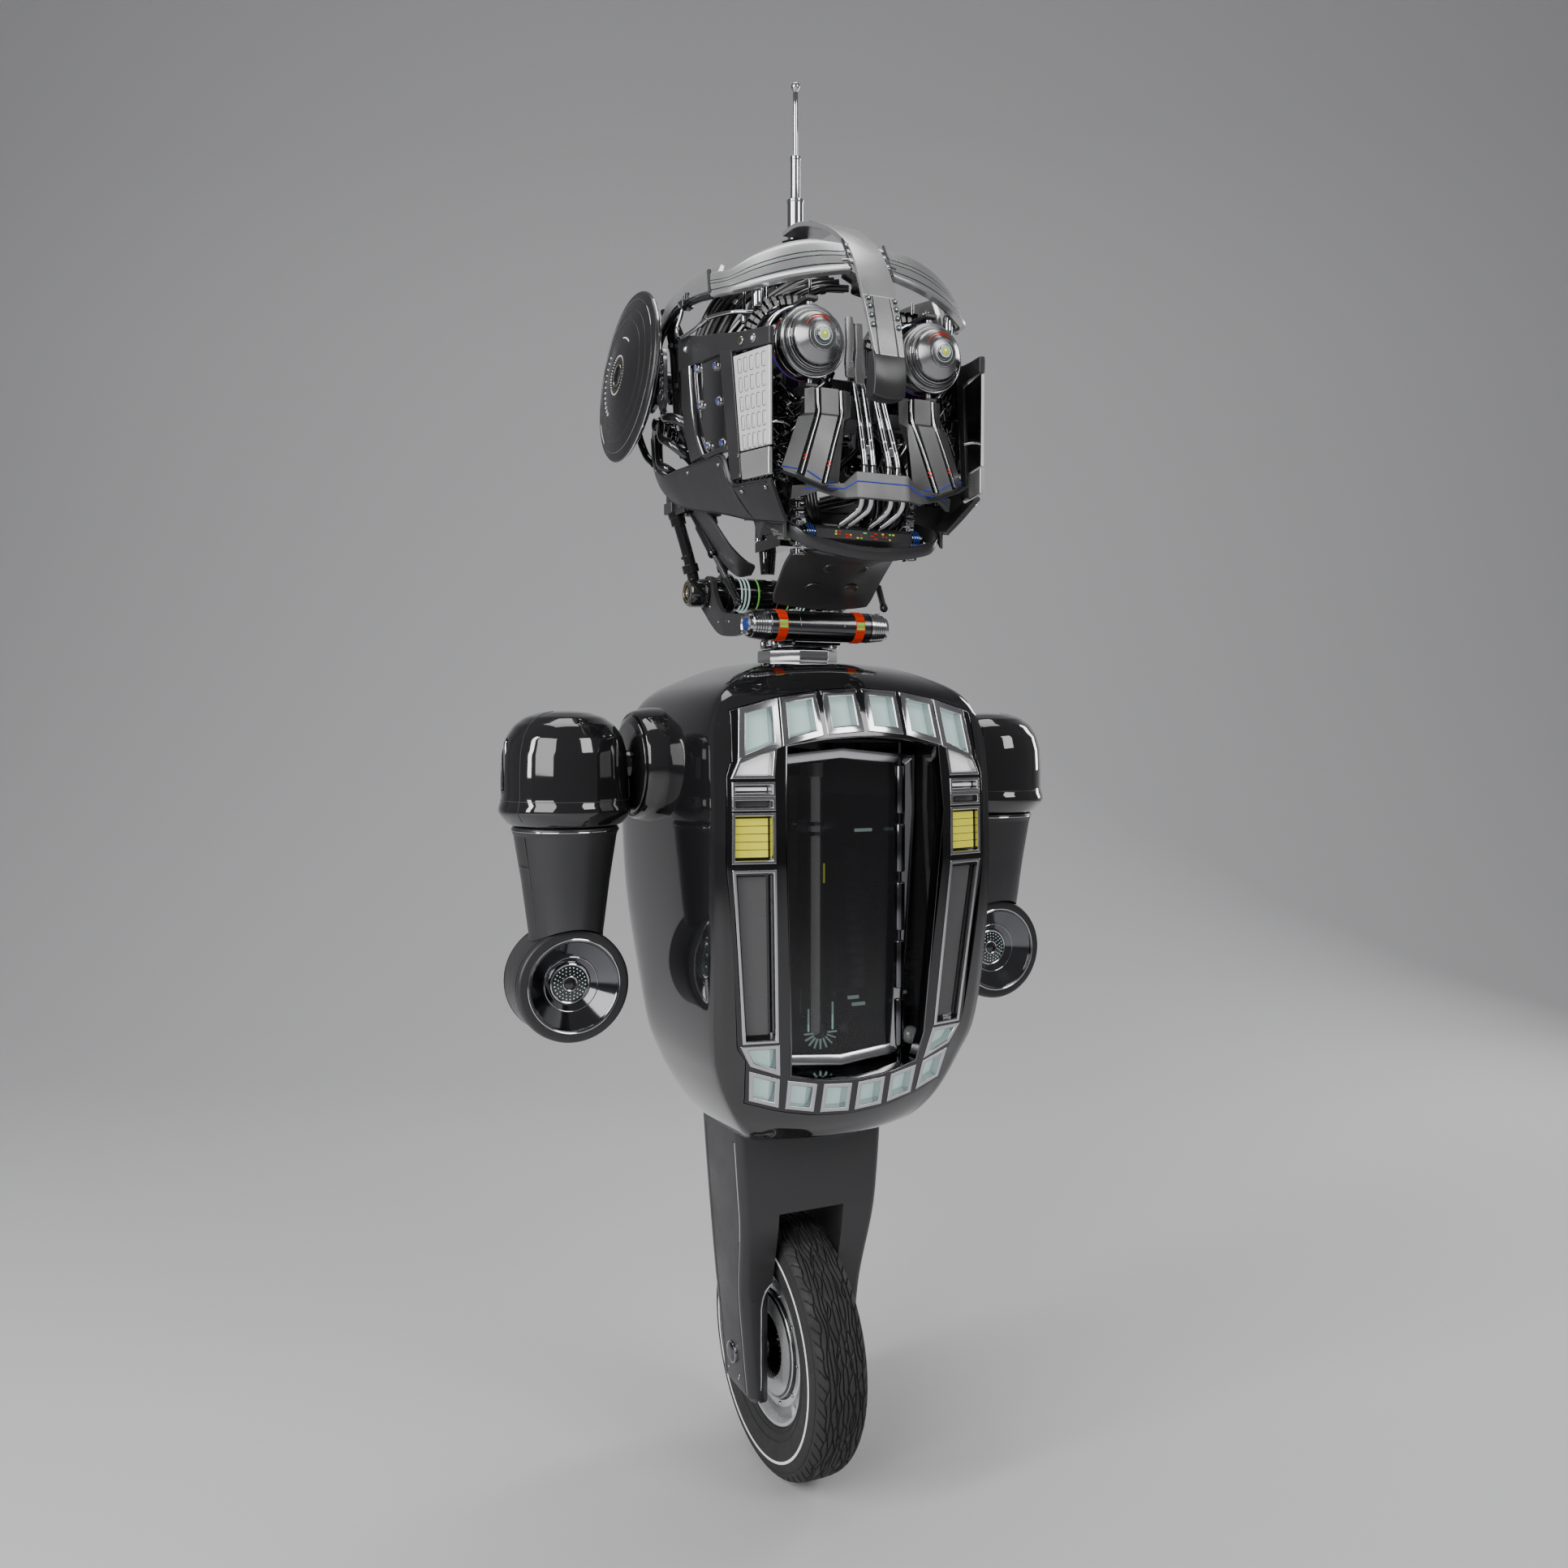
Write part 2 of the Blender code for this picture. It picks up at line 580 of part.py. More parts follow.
def build_neck_link():
    y, z = FRONT_AXIS
    back_y, back_z = REAR_AXIS
    side_outline = [
        (y - 3, z + 11), (y + 12, z + 9), (-18, 718), (4, 722), (18, 736), (24, 749), (36, 753),
        (50, 745), (51, 731), (40, 722), (26, 712), (8, 703), (-18, 700), (y + 10, z - 6), (y - 3, z - 10),
    ]
    tie = lathe([(0, -56), (4, -56), (4, 56), (0, 56)], "X", (0, -4, 716), 12)
    plates, caps, cuts = [], [], []
    for side, _ in LEFT_RIGHT:
        plates.append(mirror(prism(side_outline, "X", 53.2, 57), side))
        cap = [(0, 44.5), (DRIVE_R, 44.5), (DRIVE_R, 59.5), (DRIVE_R - 3, 62), (0, 62)]
        caps.append(mirror(lathe(cap, "X", (0, y, z), 20), side))
        cuts.append(mirror(lathe([(0, 40), (6.4, 40), (6.4, 60), (0, 60)], "X", (0, y, z), 16), side))
        rear = lathe([(0, 40), (6.4, 40), (6.4, 70), (0, 70)], "X", (0, back_y, back_z), 16)
        cuts.append(mirror(rear, side))
    piece("neck_link", DARK_SATIN, tie, adds=plates + caps, cuts=cuts, pivot=(0, y, z))

    half = [(6, 71), (6, 52.6), (REAR_DRIVE_R - 1, 52.6), (REAR_DRIVE_R, 51.5)]
    profile = [(0, 71)] + half + [(r, -x) for r, x in reversed(half)] + [(0, -71)]
    drive = lathe(profile, "X", (0, back_y, back_z), 20)
    piece("head_pitch_drive", BLACK_GLOSS, drive, pivot=(0, back_y, back_z))


def build_struts(side, name):
    y, z = REAR_AXIS
    hub = lathe([(0, 57.6), (DRIVE_R, 57.6), (DRIVE_R, 72), (10, 73.5), (0, 73.5)], "X", (0, y, z), 20)
    shaft = lathe([(0, 50), (6.4, 50), (6.4, 71.6), (0, 71.6)], "X", (0, y, z), 16)
    ring_r = REAR_DRIVE_R + GAP
    ring = lathe([(ring_r, 36), (ring_r + 3, 36), (ring_r + 3, 43), (ring_r, 43)], "X", (0, y, z), 20)
    bracket = block((45, 90), (31, 49), (803, 812.4))
    outer = tube([(67, y, z + 8), (83, 40, 806)], 5.5, 8)
    knuckle = tube([(70.2, y, z + 21), (72.7, y, z + 31)], 7, 8)
    inner = tube([(39.5, y + 1, z + 15.6), (52, 41, 806)], 4, 8)
    adds = [outer, inner, knuckle, ring, hub]
    adds = [mirror(shape, side) for shape in adds]
    piece(f"head_strut_{name}", DARK_SATIN, mirror(bracket, side), adds=adds,
          cuts=[mirror(shaft, side)], pivot=(0, y, z))


def build_gas_spring(side, name):
    """A sleeve hung from the strut bracket and the rod that runs in it, towards the neck."""
    top = Vector((80, 20, 808))
    low = Vector((64.5, FRONT_AXIS[0] + 4, FRONT_AXIS[1] + 15))
    along = (low - top).normalized()
    pivot = (side * top.x, top.y, top.z)
    outer = tube([top + along * 3, top + along * 58], 3.6, 12)
    ball = lathe([(0, -4.5), (3.2, -3.2), (4.5, 0), (3.2, 3.2), (0, 4.5)], "Z", top, 12)
    bore = tube([top + along * 12, top + along * 80], 2.1, 12)
    shapes = [mirror(shape, side) for shape in (outer, ball, bore)]
    piece(f"gas_sleeve_{name}", DARK_SATIN, shapes[0], adds=[shapes[1]], cuts=[shapes[2]], pivot=pivot)
    rod = mirror(tube([top + along * 30, low], 1.6, 10), side)
    piece(f"gas_rod_{name}", CHROME, rod, pivot=pivot)


# ---------------------------------------------------------------- head

def build_skull():
    rear_path = [(-6, 1014), (22, 1006), (56, 982), (78, 940), (82, 890), (72, 840), (54, 813)]
    rear = band([((12, y, z), (-12, y, z)) for y, z in rear_path], 6)
    boss_ring = [(7.2, 1000), (13, 1000), (13, 1012), (7.2, 1012)]
    boss = lathe(boss_ring, "Z", (0, ANTENNA_Y, 0), 20)
    core = block((-20, 20), (-6, 44), (776, 962))
    top_post = block((-8, 8), (8, 20), (955, 1006))
    stem = lathe([(0, 757), (9, 757), (11, 780), (0, 780)], "Z", (0, 38, 0), 16)
    low_beam = block((-88, 88), (31, 49), (813, 823))
    ear_beam = block((-92, 92), (EAR_Y - 8, EAR_Y + 8), (EAR_Z - 10, EAR_Z + 10))
    back_tie = block((-7, 7), (40, 80), (884, 900))
    eye_bar = block((-58, 58), (-26, -4), (889, 911))
    face_tie = block((-97, 97), (-62, -50), (866, 878))
    face_stem = block((-12, 12), (-136, 0), (852, 869))
    adds = [rear, boss, top_post, stem, low_beam, ear_beam, back_tie, eye_bar, face_tie, face_stem]
    for side, _ in LEFT_RIGHT:
        parts = [
            block((EYE_X - 6, EYE_X + 6), (-108, -20), (892, 908)),
            block((EYE_X - 6, EYE_X + 6), (-112, -106), (867, 933)),
            block((EYE_X - 6, EYE_X + 6), (EYE_Y - 6, -108), (929, 933)),
            block((EYE_X - 6, EYE_X + 6), (EYE_Y - 6, -108), (867, 871)),
        ]
        adds += [mirror(shape, side) for shape in parts]
    piece("skull_frame", DARK_SATIN, core, adds=adds)


def build_strap():
    path = [
        (-25, 1021.5, 16), (-50, 1020, 16.5), (-75, 1012.5, 15.5), (-105, 998, 14), (-131, 977, 12.5),
        (-147, 952, 12), (-158, 925, 11.5), (-168, 890, 11.5),
    ]
    strap = band([((-half, y, z), (half, y, z)) for y, z, half in path], 4.5)
    block_low = [(-168.5, 892), (-171, 868), (-168, 861), (-158, 861), (-158, 892)]
    end = prism(block_low, "X", -13, 13)
    piece("skull_strap", GREY_METAL, strap, adds=[end])


def build_head_side(side, name):
    """The plates on one side of the head, modelled at +X and mirrored for the right side."""
    brow = [
        ((17, -142, 955), (17, -128, 981)), ((40, -141, 950), (40, -127, 980)),
        ((62, -136, 945), (62, -122, 975)), ((82, -127, 940), (82, -113, 967)),
        ((98, -114, 937), (97, -103, 957)), ((105, -92, 939), (103, -84, 960)),
    ]
    piece(f"brow_plate_{name}", GREY_METAL, mirror(band(brow, 4.5), side))

    path = [(88, -157), (97, -126), (103.5, -100), (104.5, -70), (103.5, -40), (101, -6)]
    lift = [-4, 0, 4, 8, 13, 19]
    rail = [
        ((x, y, 893 + 0.6 * up), (x, y, top))
        for (x, y), up, top in zip(path, lift, (903, 906, 910.5, 917, 925, 932))
    ]
    panel = [
        ((97.6, -123, 804), (99.8, -116, 896)), ((100.1, -115.5, 804), (102.3, -108, 896.5)),
        ((102.3, -108.5, 829), (103.2, -104, 897)),
    ]
    panel += [((x, y, 828 + 0.3 * up), (x, y, 895 + 0.6 * up)) for (x, y), up in zip(path, lift)][2:]
    frame = band(rail, 5)
    piece(f"cheek_frame_{name}", DARK_SATIN, mirror(frame, side), adds=[mirror(band(panel, 4.9), side)])

    grille = [((88, -157, 801.5), (88, -157, 889.5)), ((96.6, -126.3, 803), (98.6, -119, 892))]
    piece(f"cheek_grille_{name}", CHROME, mirror(band(grille, 2.5), side))

    skirt = [
        ((68, -140, 772), (87, -154.5, 798.4)), ((77, -106, 778), (99.5, -114, 799.6)),
        ((79, -100, 779), (102.6, -104, 824)), ((86, -60, 789), (103.4, -60, 826)),
        ((90, -20, 797), (103, -20, 828)),
        ((91, 25, 810), (102, 25, 832)), ((92, 58, 832), (96, 60, 862)), ((84, 82, 862), (86, 84, 890)),
    ]
    piece(f"side_shell_{name}", BLACK_GLOSS, mirror(band(skirt, 3.5), side))

    guard = [
        ((30, -152, 800), (21, -148, 866)), ((38, -157, 797), (32, -154, 866)),
        ((60, -155, 798), (50, -152, 866)), ((67, -147, 801), (56, -146, 866)),
    ]
    piece(f"nose_guard_{name}", DARK_SATIN, mirror(band(guard, 3.5), side))

    centre = (0, EAR_Y, EAR_Z)
    stub = [
        (0, 92.4), (14, 92.4), (14, 97.4), (26, 97.4), (26, 103), (12, 103), (12, 108), (6, 108),
        (6, 118), (0, 118),
    ]
    arch = [
        ((99, -82, 946), (92, -80, 968)), ((99, -40, 953), (92, -38, 973)), ((99, 0, 955), (92, 1, 974)),
        ((100, 34, 940), (94, 36, 966)), ((100, EAR_Y + 6, 905), (97.5, EAR_Y + 12, 925)),
    ]
    stub = mirror(lathe(stub, "X", centre, 16), side)
    piece(f"ear_bracket_{name}", DARK_SATIN, stub, adds=[mirror(band(arch, 4), side)])

    face = EAR_X + 8
    dish = [
        (7.2, EAR_X - 3), (40, EAR_X - 3), (DISH_R - 3, EAR_X + 2), (DISH_R, EAR_X + 5),
        (DISH_R - 1.5, face), (DISH_R - 8, face + 1), (44, face + 4), (22, face + 7.5), (7.2, face + 8),
    ]
    dish_shape = turned(lathe(dish, "X", centre, 32), -EAR_TILT, "Y", (EAR_X, EAR_Y, EAR_Z))
    piece(f"ear_dish_{name}", BLACK_GLOSS, mirror(dish_shape, side), pivot=(side * EAR_X, EAR_Y, EAR_Z))

    centre = (EYE_X, 0, EYE_Z)
    eye = [
        (0, EYE_Y - 25), (6, EYE_Y - 24.5), (13, EYE_Y - 20.5), (20, EYE_Y - 13.5), (21, EYE_Y - 10),
        (EYE_R, EYE_Y - 5), (EYE_R, EYE_Y + 2), (23, EYE_Y + 17), (14, EYE_Y + 24), (0, EYE_Y + 25),
    ]
    pin = lathe([(0, EYE_Z - 28.6), (2.5, EYE_Z - 28.6), (2.5, EYE_Z + 28.6), (0, EYE_Z + 28.6)],
                "Z", (EYE_X, EYE_Y, 0), 12)
    piece(f"eye_{name}", GREY_METAL, mirror(lathe(eye, "Y", centre, 24), side), adds=[mirror(pin, side)],
          pivot=(side * EYE_X, EYE_Y, EYE_Z))


def build_nose_and_mouth():
    lip = [(-66, -143, 4), (-56, -153, 1), (-30, -160, 0), (30, -160, 0), (56, -153, 1), (66, -143, 4)]
    rail = band([((x, y + 2, 783 + up), (x, y, 793.5 + up)) for x, y, up in lip], 4)
    middle = band([((x, -158.6, 790), (x, -156, 813)) for x in (-26, -9, 9, 26)], 3.4)
    piece("lip_band", DARK_SATIN, rail, adds=[middle])

    route = [(-138, 875), (-143, 850), (-147, 820), (-145, 800), (-137, 786), (-128.5, 777.4)]
    tubes = [tube([(x, y, z) for y, z in route], 2.6, 6) for x in (-12, -5, 5, 12)]
    clips = [block((-15, 15), (-147, -141), (838, 845))]
    piece("nose_tubes", CHROME, tubes[0], adds=clips + tubes[1:])

    bar = [(0, -50), (5, -50), (6.8, -48), (6.8, 48), (5, 50), (0, 50)]
    piece("mouth_bar", DARK_SATIN, lathe(bar, "X", (0, -127, 768), 12))


def build_jaw():
    pivot = (0, *JAW_AXIS)
    left = [
        ((0, -146, 748), (0, -149, 757)), ((45, -142, 754), (47, -145, 763)),
        ((60, -130, 763), (62, -133, 774)), ((62, -105, 773), (65, -108, 783)),
        ((62, -60, 786), (65, -62, 798)),
    ]
    right = [((-low[0], *low[1:]), (-high[0], *high[1:])) for low, high in reversed(left[1:])]
    frame = band(right + left, 4)
    piece("jaw_frame", DARK_SATIN, frame, pivot=pivot)

    rows = [
        (-134, 749, 28, 3), (-118, 749, 37, 7), (-103, 747, 43.5, 11), (-90, 741.5, 44, 10),
        (-76, 732.8, 43.5, 7), (-62, 722, 43, 3),
    ]
    rings = []
    for y, z, width, sag in rows:
        rise = [(-1, sag), (-0.5, 0.24 * sag), (0, 0), (0.5, 0.24 * sag), (1, sag)]
        top = [(u * width, y, z + up) for u, up in rise]
        under = [(u * width, y + 0.8, z + up - 2.4) for u, up in reversed(rise)]
        rings.append(top + under)
    piece("chin_plate", DARK_SATIN, loft(rings), pivot=pivot)


def build_antenna():
    spot = (0, ANTENNA_Y, 0)
    base = [(4.4, 976), (6, 976), (6.6, 1010), (6.6, 1050), (6, 1052), (4.4, 1052)]
    piece("antenna_base", CHROME, lathe(base, "Z", spot, 12))
    middle = [(2.4, 1036), (4, 1036), (4, 1085.5), (3.5, 1086.5), (2.4, 1086.5)]
    piece("antenna_middle", CHROME, lathe(middle, "Z", spot, 12), pivot=(0, ANTENNA_Y, 1052))
    tip = [
        (0, 1074), (2, 1074), (2, ANTENNA_TOP - 3), (3.4, ANTENNA_TOP - 1), (3.6, ANTENNA_TOP + 1),
        (2.4, ANTENNA_TOP + 3), (0, ANTENNA_TOP + 3.6),
    ]
    piece("antenna_tip", CHROME, lathe(tip, "Z", spot, 12), pivot=(0, ANTENNA_Y, 1086.5))


def build_robot():
    for old in list(bpy.data.objects):
        bpy.data.objects.remove(old, do_unlink=True)
    build_wheel()
    build_motor_core()
    build_fork()
    build_torso()
    build_chest_bay()
    build_inside()
    build_shoulder_shaft()
    build_neck_base()
    build_neck_link()
    build_skull()
    build_strap()
    build_nose_and_mouth()
    build_jaw()
    build_antenna()
    for side, name in LEFT_RIGHT:
        build_arm(side, name)
        build_struts(side, name)
        build_gas_spring(side, name)
        build_head_side(side, name)


build_robot()
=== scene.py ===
import json
import math
import random

import bmesh
import bpy
from mathutils import Matrix, Vector


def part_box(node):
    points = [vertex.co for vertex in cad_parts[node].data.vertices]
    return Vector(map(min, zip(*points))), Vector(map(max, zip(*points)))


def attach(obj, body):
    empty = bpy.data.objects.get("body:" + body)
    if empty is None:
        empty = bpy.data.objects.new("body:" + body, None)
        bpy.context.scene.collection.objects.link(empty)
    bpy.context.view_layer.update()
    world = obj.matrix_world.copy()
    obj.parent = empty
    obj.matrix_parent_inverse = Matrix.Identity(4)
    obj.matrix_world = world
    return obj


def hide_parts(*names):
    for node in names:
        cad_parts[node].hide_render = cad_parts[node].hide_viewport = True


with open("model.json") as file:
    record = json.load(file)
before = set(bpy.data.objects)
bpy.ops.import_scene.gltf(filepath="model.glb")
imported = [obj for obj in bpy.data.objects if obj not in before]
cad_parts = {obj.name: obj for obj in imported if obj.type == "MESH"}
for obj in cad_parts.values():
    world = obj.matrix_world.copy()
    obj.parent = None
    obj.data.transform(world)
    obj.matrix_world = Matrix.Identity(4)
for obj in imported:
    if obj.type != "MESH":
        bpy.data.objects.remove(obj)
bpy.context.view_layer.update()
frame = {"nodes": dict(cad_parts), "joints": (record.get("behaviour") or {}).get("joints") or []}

# Lengths are millimetres in the frame's axes, and MM turns them into Blender's metres.
MM = 0.001
SIDES = ((1, "left"), (-1, "right"))
JOINT_AT = {j["name"]: Vector(j["pos_m"]) / MM for j in frame["joints"] if "pos_m" in j}


def cad_mm(node):
    """The lowest and highest corner of a CAD node in millimetres."""
    low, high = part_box(node)
    return low / MM, high / MM


HUB = JOINT_AT["wheel_spin"]
WHEEL_R = HUB.z
FRONT_AXIS = JOINT_AT["neck_pitch"]
REAR_AXIS = JOINT_AT["head_pitch"]
NECK = JOINT_AT["neck_yaw"]
EYE = JOINT_AT["eye_left_pan"]
EAR = JOINT_AT["ear_left_spin"]
SHOULDER = JOINT_AT["shoulder_left"]
ELBOW = JOINT_AT["forearm_left_twist"]
DOOR_HINGE = JOINT_AT["door_hinge"]
HAND_LOW, HAND_HIGH = cad_mm("hand_drum_left")
DRUM_R = (HAND_HIGH.z - HAND_LOW.z) / 2
HAND_Z = HAND_LOW.z + DRUM_R
EAR_TILT = math.radians(6.2)


# ---------------------------------------------------------------- shapes

def lathe(profile, axis="Z", centre=(0, 0, 0), segments=64):
    """Turns (radius, height) points. From radius 0 to 0 gives a solid, and a loop gives a ring."""
    verts, faces, rows = [], [], []
    for radius, height in profile:
        row = []
        for k in range(1 if radius == 0 else segments):
            turn = 2 * math.pi * k / segments
            a, b = radius * math.cos(turn), radius * math.sin(turn)
            point = {"X": (height, a, b), "Y": (a, height, b), "Z": (a, b, height)}[axis]
            row.append(len(verts))
            verts.append(tuple(p + c for p, c in zip(point, centre)))
        rows.append(row)
    pairs = list(zip(rows, rows[1:]))
    if profile[0][0] != 0:
        pairs.append((rows[-1], rows[0]))
    for low, high in pairs:
        for k in range(segments):
            a, b = low[k % len(low)], low[(k + 1) % len(low)]
            c, d = high[(k + 1) % len(high)], high[k % len(high)]
            faces.append(tuple(dict.fromkeys((a, b, c, d))))
    return verts, [face for face in faces if len(face) > 2]


def rod(radius, low, high, axis="Z", centre=(0, 0, 0), segments=64, edge=0.0):
    """A plain cylinder along an axis, with its rims rounded off by edge."""
    profile = [(0, low), (radius, low), (radius, high), (0, high)]
    return lathe(rounded(profile, edge) if edge else profile, axis, centre, segments)


def washer(inner, outer, low, high, edge):
    """The closed section of a ring with square sides and rounded edges, for lathe."""
    return rounded([(inner, low), (outer, low), (outer, high), (inner, high)], edge, closed=True)


def rounded(points, radius=1.0, steps=3, closed=False):
    """The outline with each corner replaced by a short curve."""
    points = [Vector(p) for p in points]
    count = len(points)
    made = []
    for i, corner in enumerate(points):
        if not closed and i in (0, count - 1):
            made.append(tuple(corner))
            continue
        before, after = points[i - 1] - corner, points[(i + 1) % count] - corner
        start = corner + before * min(radius / max(before.length, 1e-6), 0.45)
        end = corner + after * min(radius / max(after.length, 1e-6), 0.45)
        for k in range(steps + 1):
            t = k / steps
            made.append(tuple(start * (1 - t) ** 2 + corner * 2 * t * (1 - t) + end * t * t))
    return made


def smooth(points, steps, closed=False):
    """A smooth curve through the points, with steps spans between each two of them."""
    points = [Vector(p) for p in points]
    count = len(points)
    made = []
    for i in range(count if closed else count - 1):
        start, end = points[i], points[(i + 1) % count]
        before = points[i - 1] if closed or i > 0 else start * 2 - end
        after = points[(i + 2) % count] if closed or i + 2 < count else end * 2 - start
        for k in range(steps):
            t = k / steps
            bend = (end - before) * t + (before * 2 - start * 5 + end * 4 - after) * t * t
            made.append(start + (bend + (start * 3 - before - end * 3 + after) * t ** 3) * 0.5)
    if not closed:
        made.append(points[-1])
    return made


def loft(rings, closed=False):
    """Joins rings of equal length: a body with flat ends, or a closed loop of rings."""
    count = len(rings[0])
    verts = [tuple(point) for ring in rings for point in ring]
    faces = []
    if not closed:
        faces = [tuple(range(count)), tuple(range(len(verts) - count, len(verts)))]
    for r in range(len(rings) if closed else len(rings) - 1):
        low, high = r * count, (r + 1) % len(rings) * count
        for k in range(count):
            n = (k + 1) % count
            faces.append((low + k, low + n, high + n, high + k))
    return verts, faces


def prism(outline, axis, low, high):
    place = {
        "X": lambda p, t: (t, p[0], p[1]),
        "Y": lambda p, t: (p[0], t, p[1]),
        "Z": lambda p, t: (p[0], p[1], t),
    }[axis]
    return loft([[place(point, t) for point in outline] for t in (low, high)])


def block(x, y, z):
    return prism([(x[0], y[0]), (x[1], y[0]), (x[1], y[1]), (x[0], y[1])], "Z", z[0], z[1])


def tube(points, radius, sides=12, steps=5):
    """A round bar along a smooth curve. A list of radii makes it swell and narrow."""
    route = smooth(points, steps) if len(points) > 2 else [Vector(p) for p in points]
    side = (route[1] - route[0]).orthogonal().normalized()
    rings = []
    for i, point in enumerate(route):
        ahead = (route[min(i + 1, len(route) - 1)] - route[max(i - 1, 0)]).normalized()
        side = (side - ahead * side.dot(ahead)).normalized()
        up = ahead.cross(side)
        size = radius[i % len(radius)] if isinstance(radius, list) else radius
        turns = [2 * math.pi * k / sides for k in range(sides)]
        rings.append([point + (side * math.cos(t) + up * math.sin(t)) * size for t in turns])
    return loft(rings)


def ring_tube(centre, radius, thickness, axis, segments=72, sides=8):
    """A round wire bent into a circle about an axis."""
    turns = [2 * math.pi * k / sides for k in range(sides)]
    section = [(radius + thickness * math.cos(t), thickness * math.sin(t)) for t in turns]
    return lathe(section, axis, centre, segments)


def mirror(shape, side):
    return [(side * x, y, z) for x, y, z in shape[0]], shape[1]


def both(*shapes):
    """The shapes and their mirror images as one shape."""
    shape = merge(*shapes)
    return merge(shape, mirror(shape, -1))


def merge(*shapes):
    verts, faces = [], []
    for shape in shapes:
        start = len(verts)
        verts += [tuple(v) for v in shape[0]]
        faces += [tuple(i + start for i in face) for face in shape[1]]
    return verts, faces


def moved(shape, dx, dy, dz):
    return [(x + dx, y + dy, z + dz) for x, y, z in shape[0]], shape[1]


def turned(shape, angle, axis, centre=(0, 0, 0)):
    turn = Matrix.Rotation(angle, 3, axis)
    middle = Vector(centre)
    return [tuple(turn @ (Vector(v) - middle) + middle) for v in shape[0]], shape[1]


def around(shape, count, axis, centre, start=0.0):
    return merge(*[turned(shape, start + 2 * math.pi * k / count, axis, centre) for k in range(count)])


def aimed(shape, at, direction, spin=0.0):
    """Moves a shape built around the origin along +Z, so that it stands at a point."""
    turn = Vector(direction).to_track_quat("Z", "Y").to_matrix() @ Matrix.Rotation(spin, 3, "Z")
    return [tuple(turn @ Vector(v) + Vector(at)) for v in shape[0]], shape[1]


def bolt(at, direction, radius, height):
    """A round screw head with a turned rim and a sunk socket."""
    profile = [
        (0, 0.35 * height), (0.42 * radius, 0.35 * height), (0.5 * radius, height),
        (0.85 * radius, height), (radius, 0.7 * height), (radius, -0.3 * height), (0, -0.3 * height),
    ]
    return aimed(lathe(profile, segments=20), at, direction)


def patch(stations):
    """A surface through stations of (low, high) points: place(s, t, lift) runs s along and t up."""
    lows = smooth([low for low, high in stations], 8)
    highs = smooth([high for low, high in stations], 8)

    def flat(s, t):
        i = min(int(s * (len(lows) - 1)), len(lows) - 2)
        f = s * (len(lows) - 1) - i
        low, high = lows[i].lerp(lows[i + 1], f), highs[i].lerp(highs[i + 1], f)
        return low.lerp(high, t)

    def place(s, t, lift=0.0):
        along = flat(min(s + 0.02, 1), t) - flat(max(s - 0.02, 0), t)
        up = flat(s, 1) - flat(s, 0)
        return flat(s, t) + along.cross(up).normalized() * lift

    return place


def span(ends, count):
    """Even steps between two ends. A longer list of places is used as it stands."""
    if len(ends) > 2:
        return ends
    return [ends[0] + (ends[1] - ends[0]) * k / count for k in range(count + 1)]


def plate(place, thickness, s=(0, 1), t=(0, 1), steps=(24, 6), crown=0.0, lift=0.0, relief=None):
    """A closed curved plate on a patch. Its outer face can be crowned across its width, or
    follow relief(s, t). The t places can also be a function that gives them for each s."""
    rings = []
    for u in span(s, steps[0]):
        places = span(t(u) if callable(t) else t, steps[1])
        outer, inner = [], []
        for k, v in enumerate(places):
            f = k / (len(places) - 1)
            rise = relief(u, v) if relief else crown * 4 * f * (1 - f)
            outer.append(place(u, v, lift + rise))
            inner.append(place(u, v, lift - thickness))
        rings.append(outer + inner[::-1])
    return loft(rings)


def line_on(place, points, radius, lift=0.0, sides=8):
    """A thin wire that follows (s, t) points on a patch."""
    return tube([place(s, t, lift) for s, t in points], radius, sides)


# ---------------------------------------------------------------- objects

def piece(name, shape, look, body, replaces=(), bevel=0.0, sharp=35, cuts=()):
    """One visible piece: a mesh, its look, the CAD body it rides on and the nodes it stands for."""
    verts, faces = shape
    work = bmesh.new()
    for point in verts:
        work.verts.new([value * MM for value in point])
    work.verts.ensure_lookup_table()
    for face in faces:
        work.faces.new([work.verts[i] for i in face])
    bmesh.ops.recalc_face_normals(work, faces=work.faces)
    mesh = bpy.data.meshes.new(name)
    work.to_mesh(mesh)
    work.free()
    made = bpy.data.objects.new(name, mesh)
    bpy.context.scene.collection.objects.link(made)
    for number, cutter in enumerate(cuts):
        cut_with(made, cutter, number)
    mesh = made.data
    mesh.shade_smooth()
    mesh.set_sharp_from_angle(angle=math.radians(sharp))
    if bevel:
        edge = made.modifiers.new("bevel", "BEVEL")
        edge.width = bevel * MM
        edge.segments = 2
        edge.limit_method = "ANGLE"
        edge.angle_limit = math.radians(sharp)
        edge.harden_normals = True
    mesh.materials.append(look)
    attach(made, body)
    if replaces:
        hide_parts(*replaces)
    return made


def cut_with(target, shape, number):
    """Cuts a shape from an object and keeps the result as the object's mesh."""
    verts, faces = shape
    mesh = bpy.data.meshes.new(f"{target.name}_cut{number}")
    mesh.from_pydata([[value * MM for value in v] for v in verts], [], faces)
    work = bmesh.new()
    work.from_mesh(mesh)
    bmesh.ops.recalc_face_normals(work, faces=work.faces)
    work.to_mesh(mesh)
    work.free()
    tool = bpy.data.objects.new(mesh.name, mesh)
    bpy.context.scene.collection.objects.link(tool)
    change = target.modifiers.new("cut", "BOOLEAN")
    change.operation = "DIFFERENCE"
    change.solver = "EXACT"
    change.object = tool
    graph = bpy.context.evaluated_depsgraph_get()
    result = bpy.data.meshes.new_from_object(target.evaluated_get(graph))
    target.modifiers.clear()
    target.data = result
    bpy.data.objects.remove(tool)


# ---------------------------------------------------------------- materials

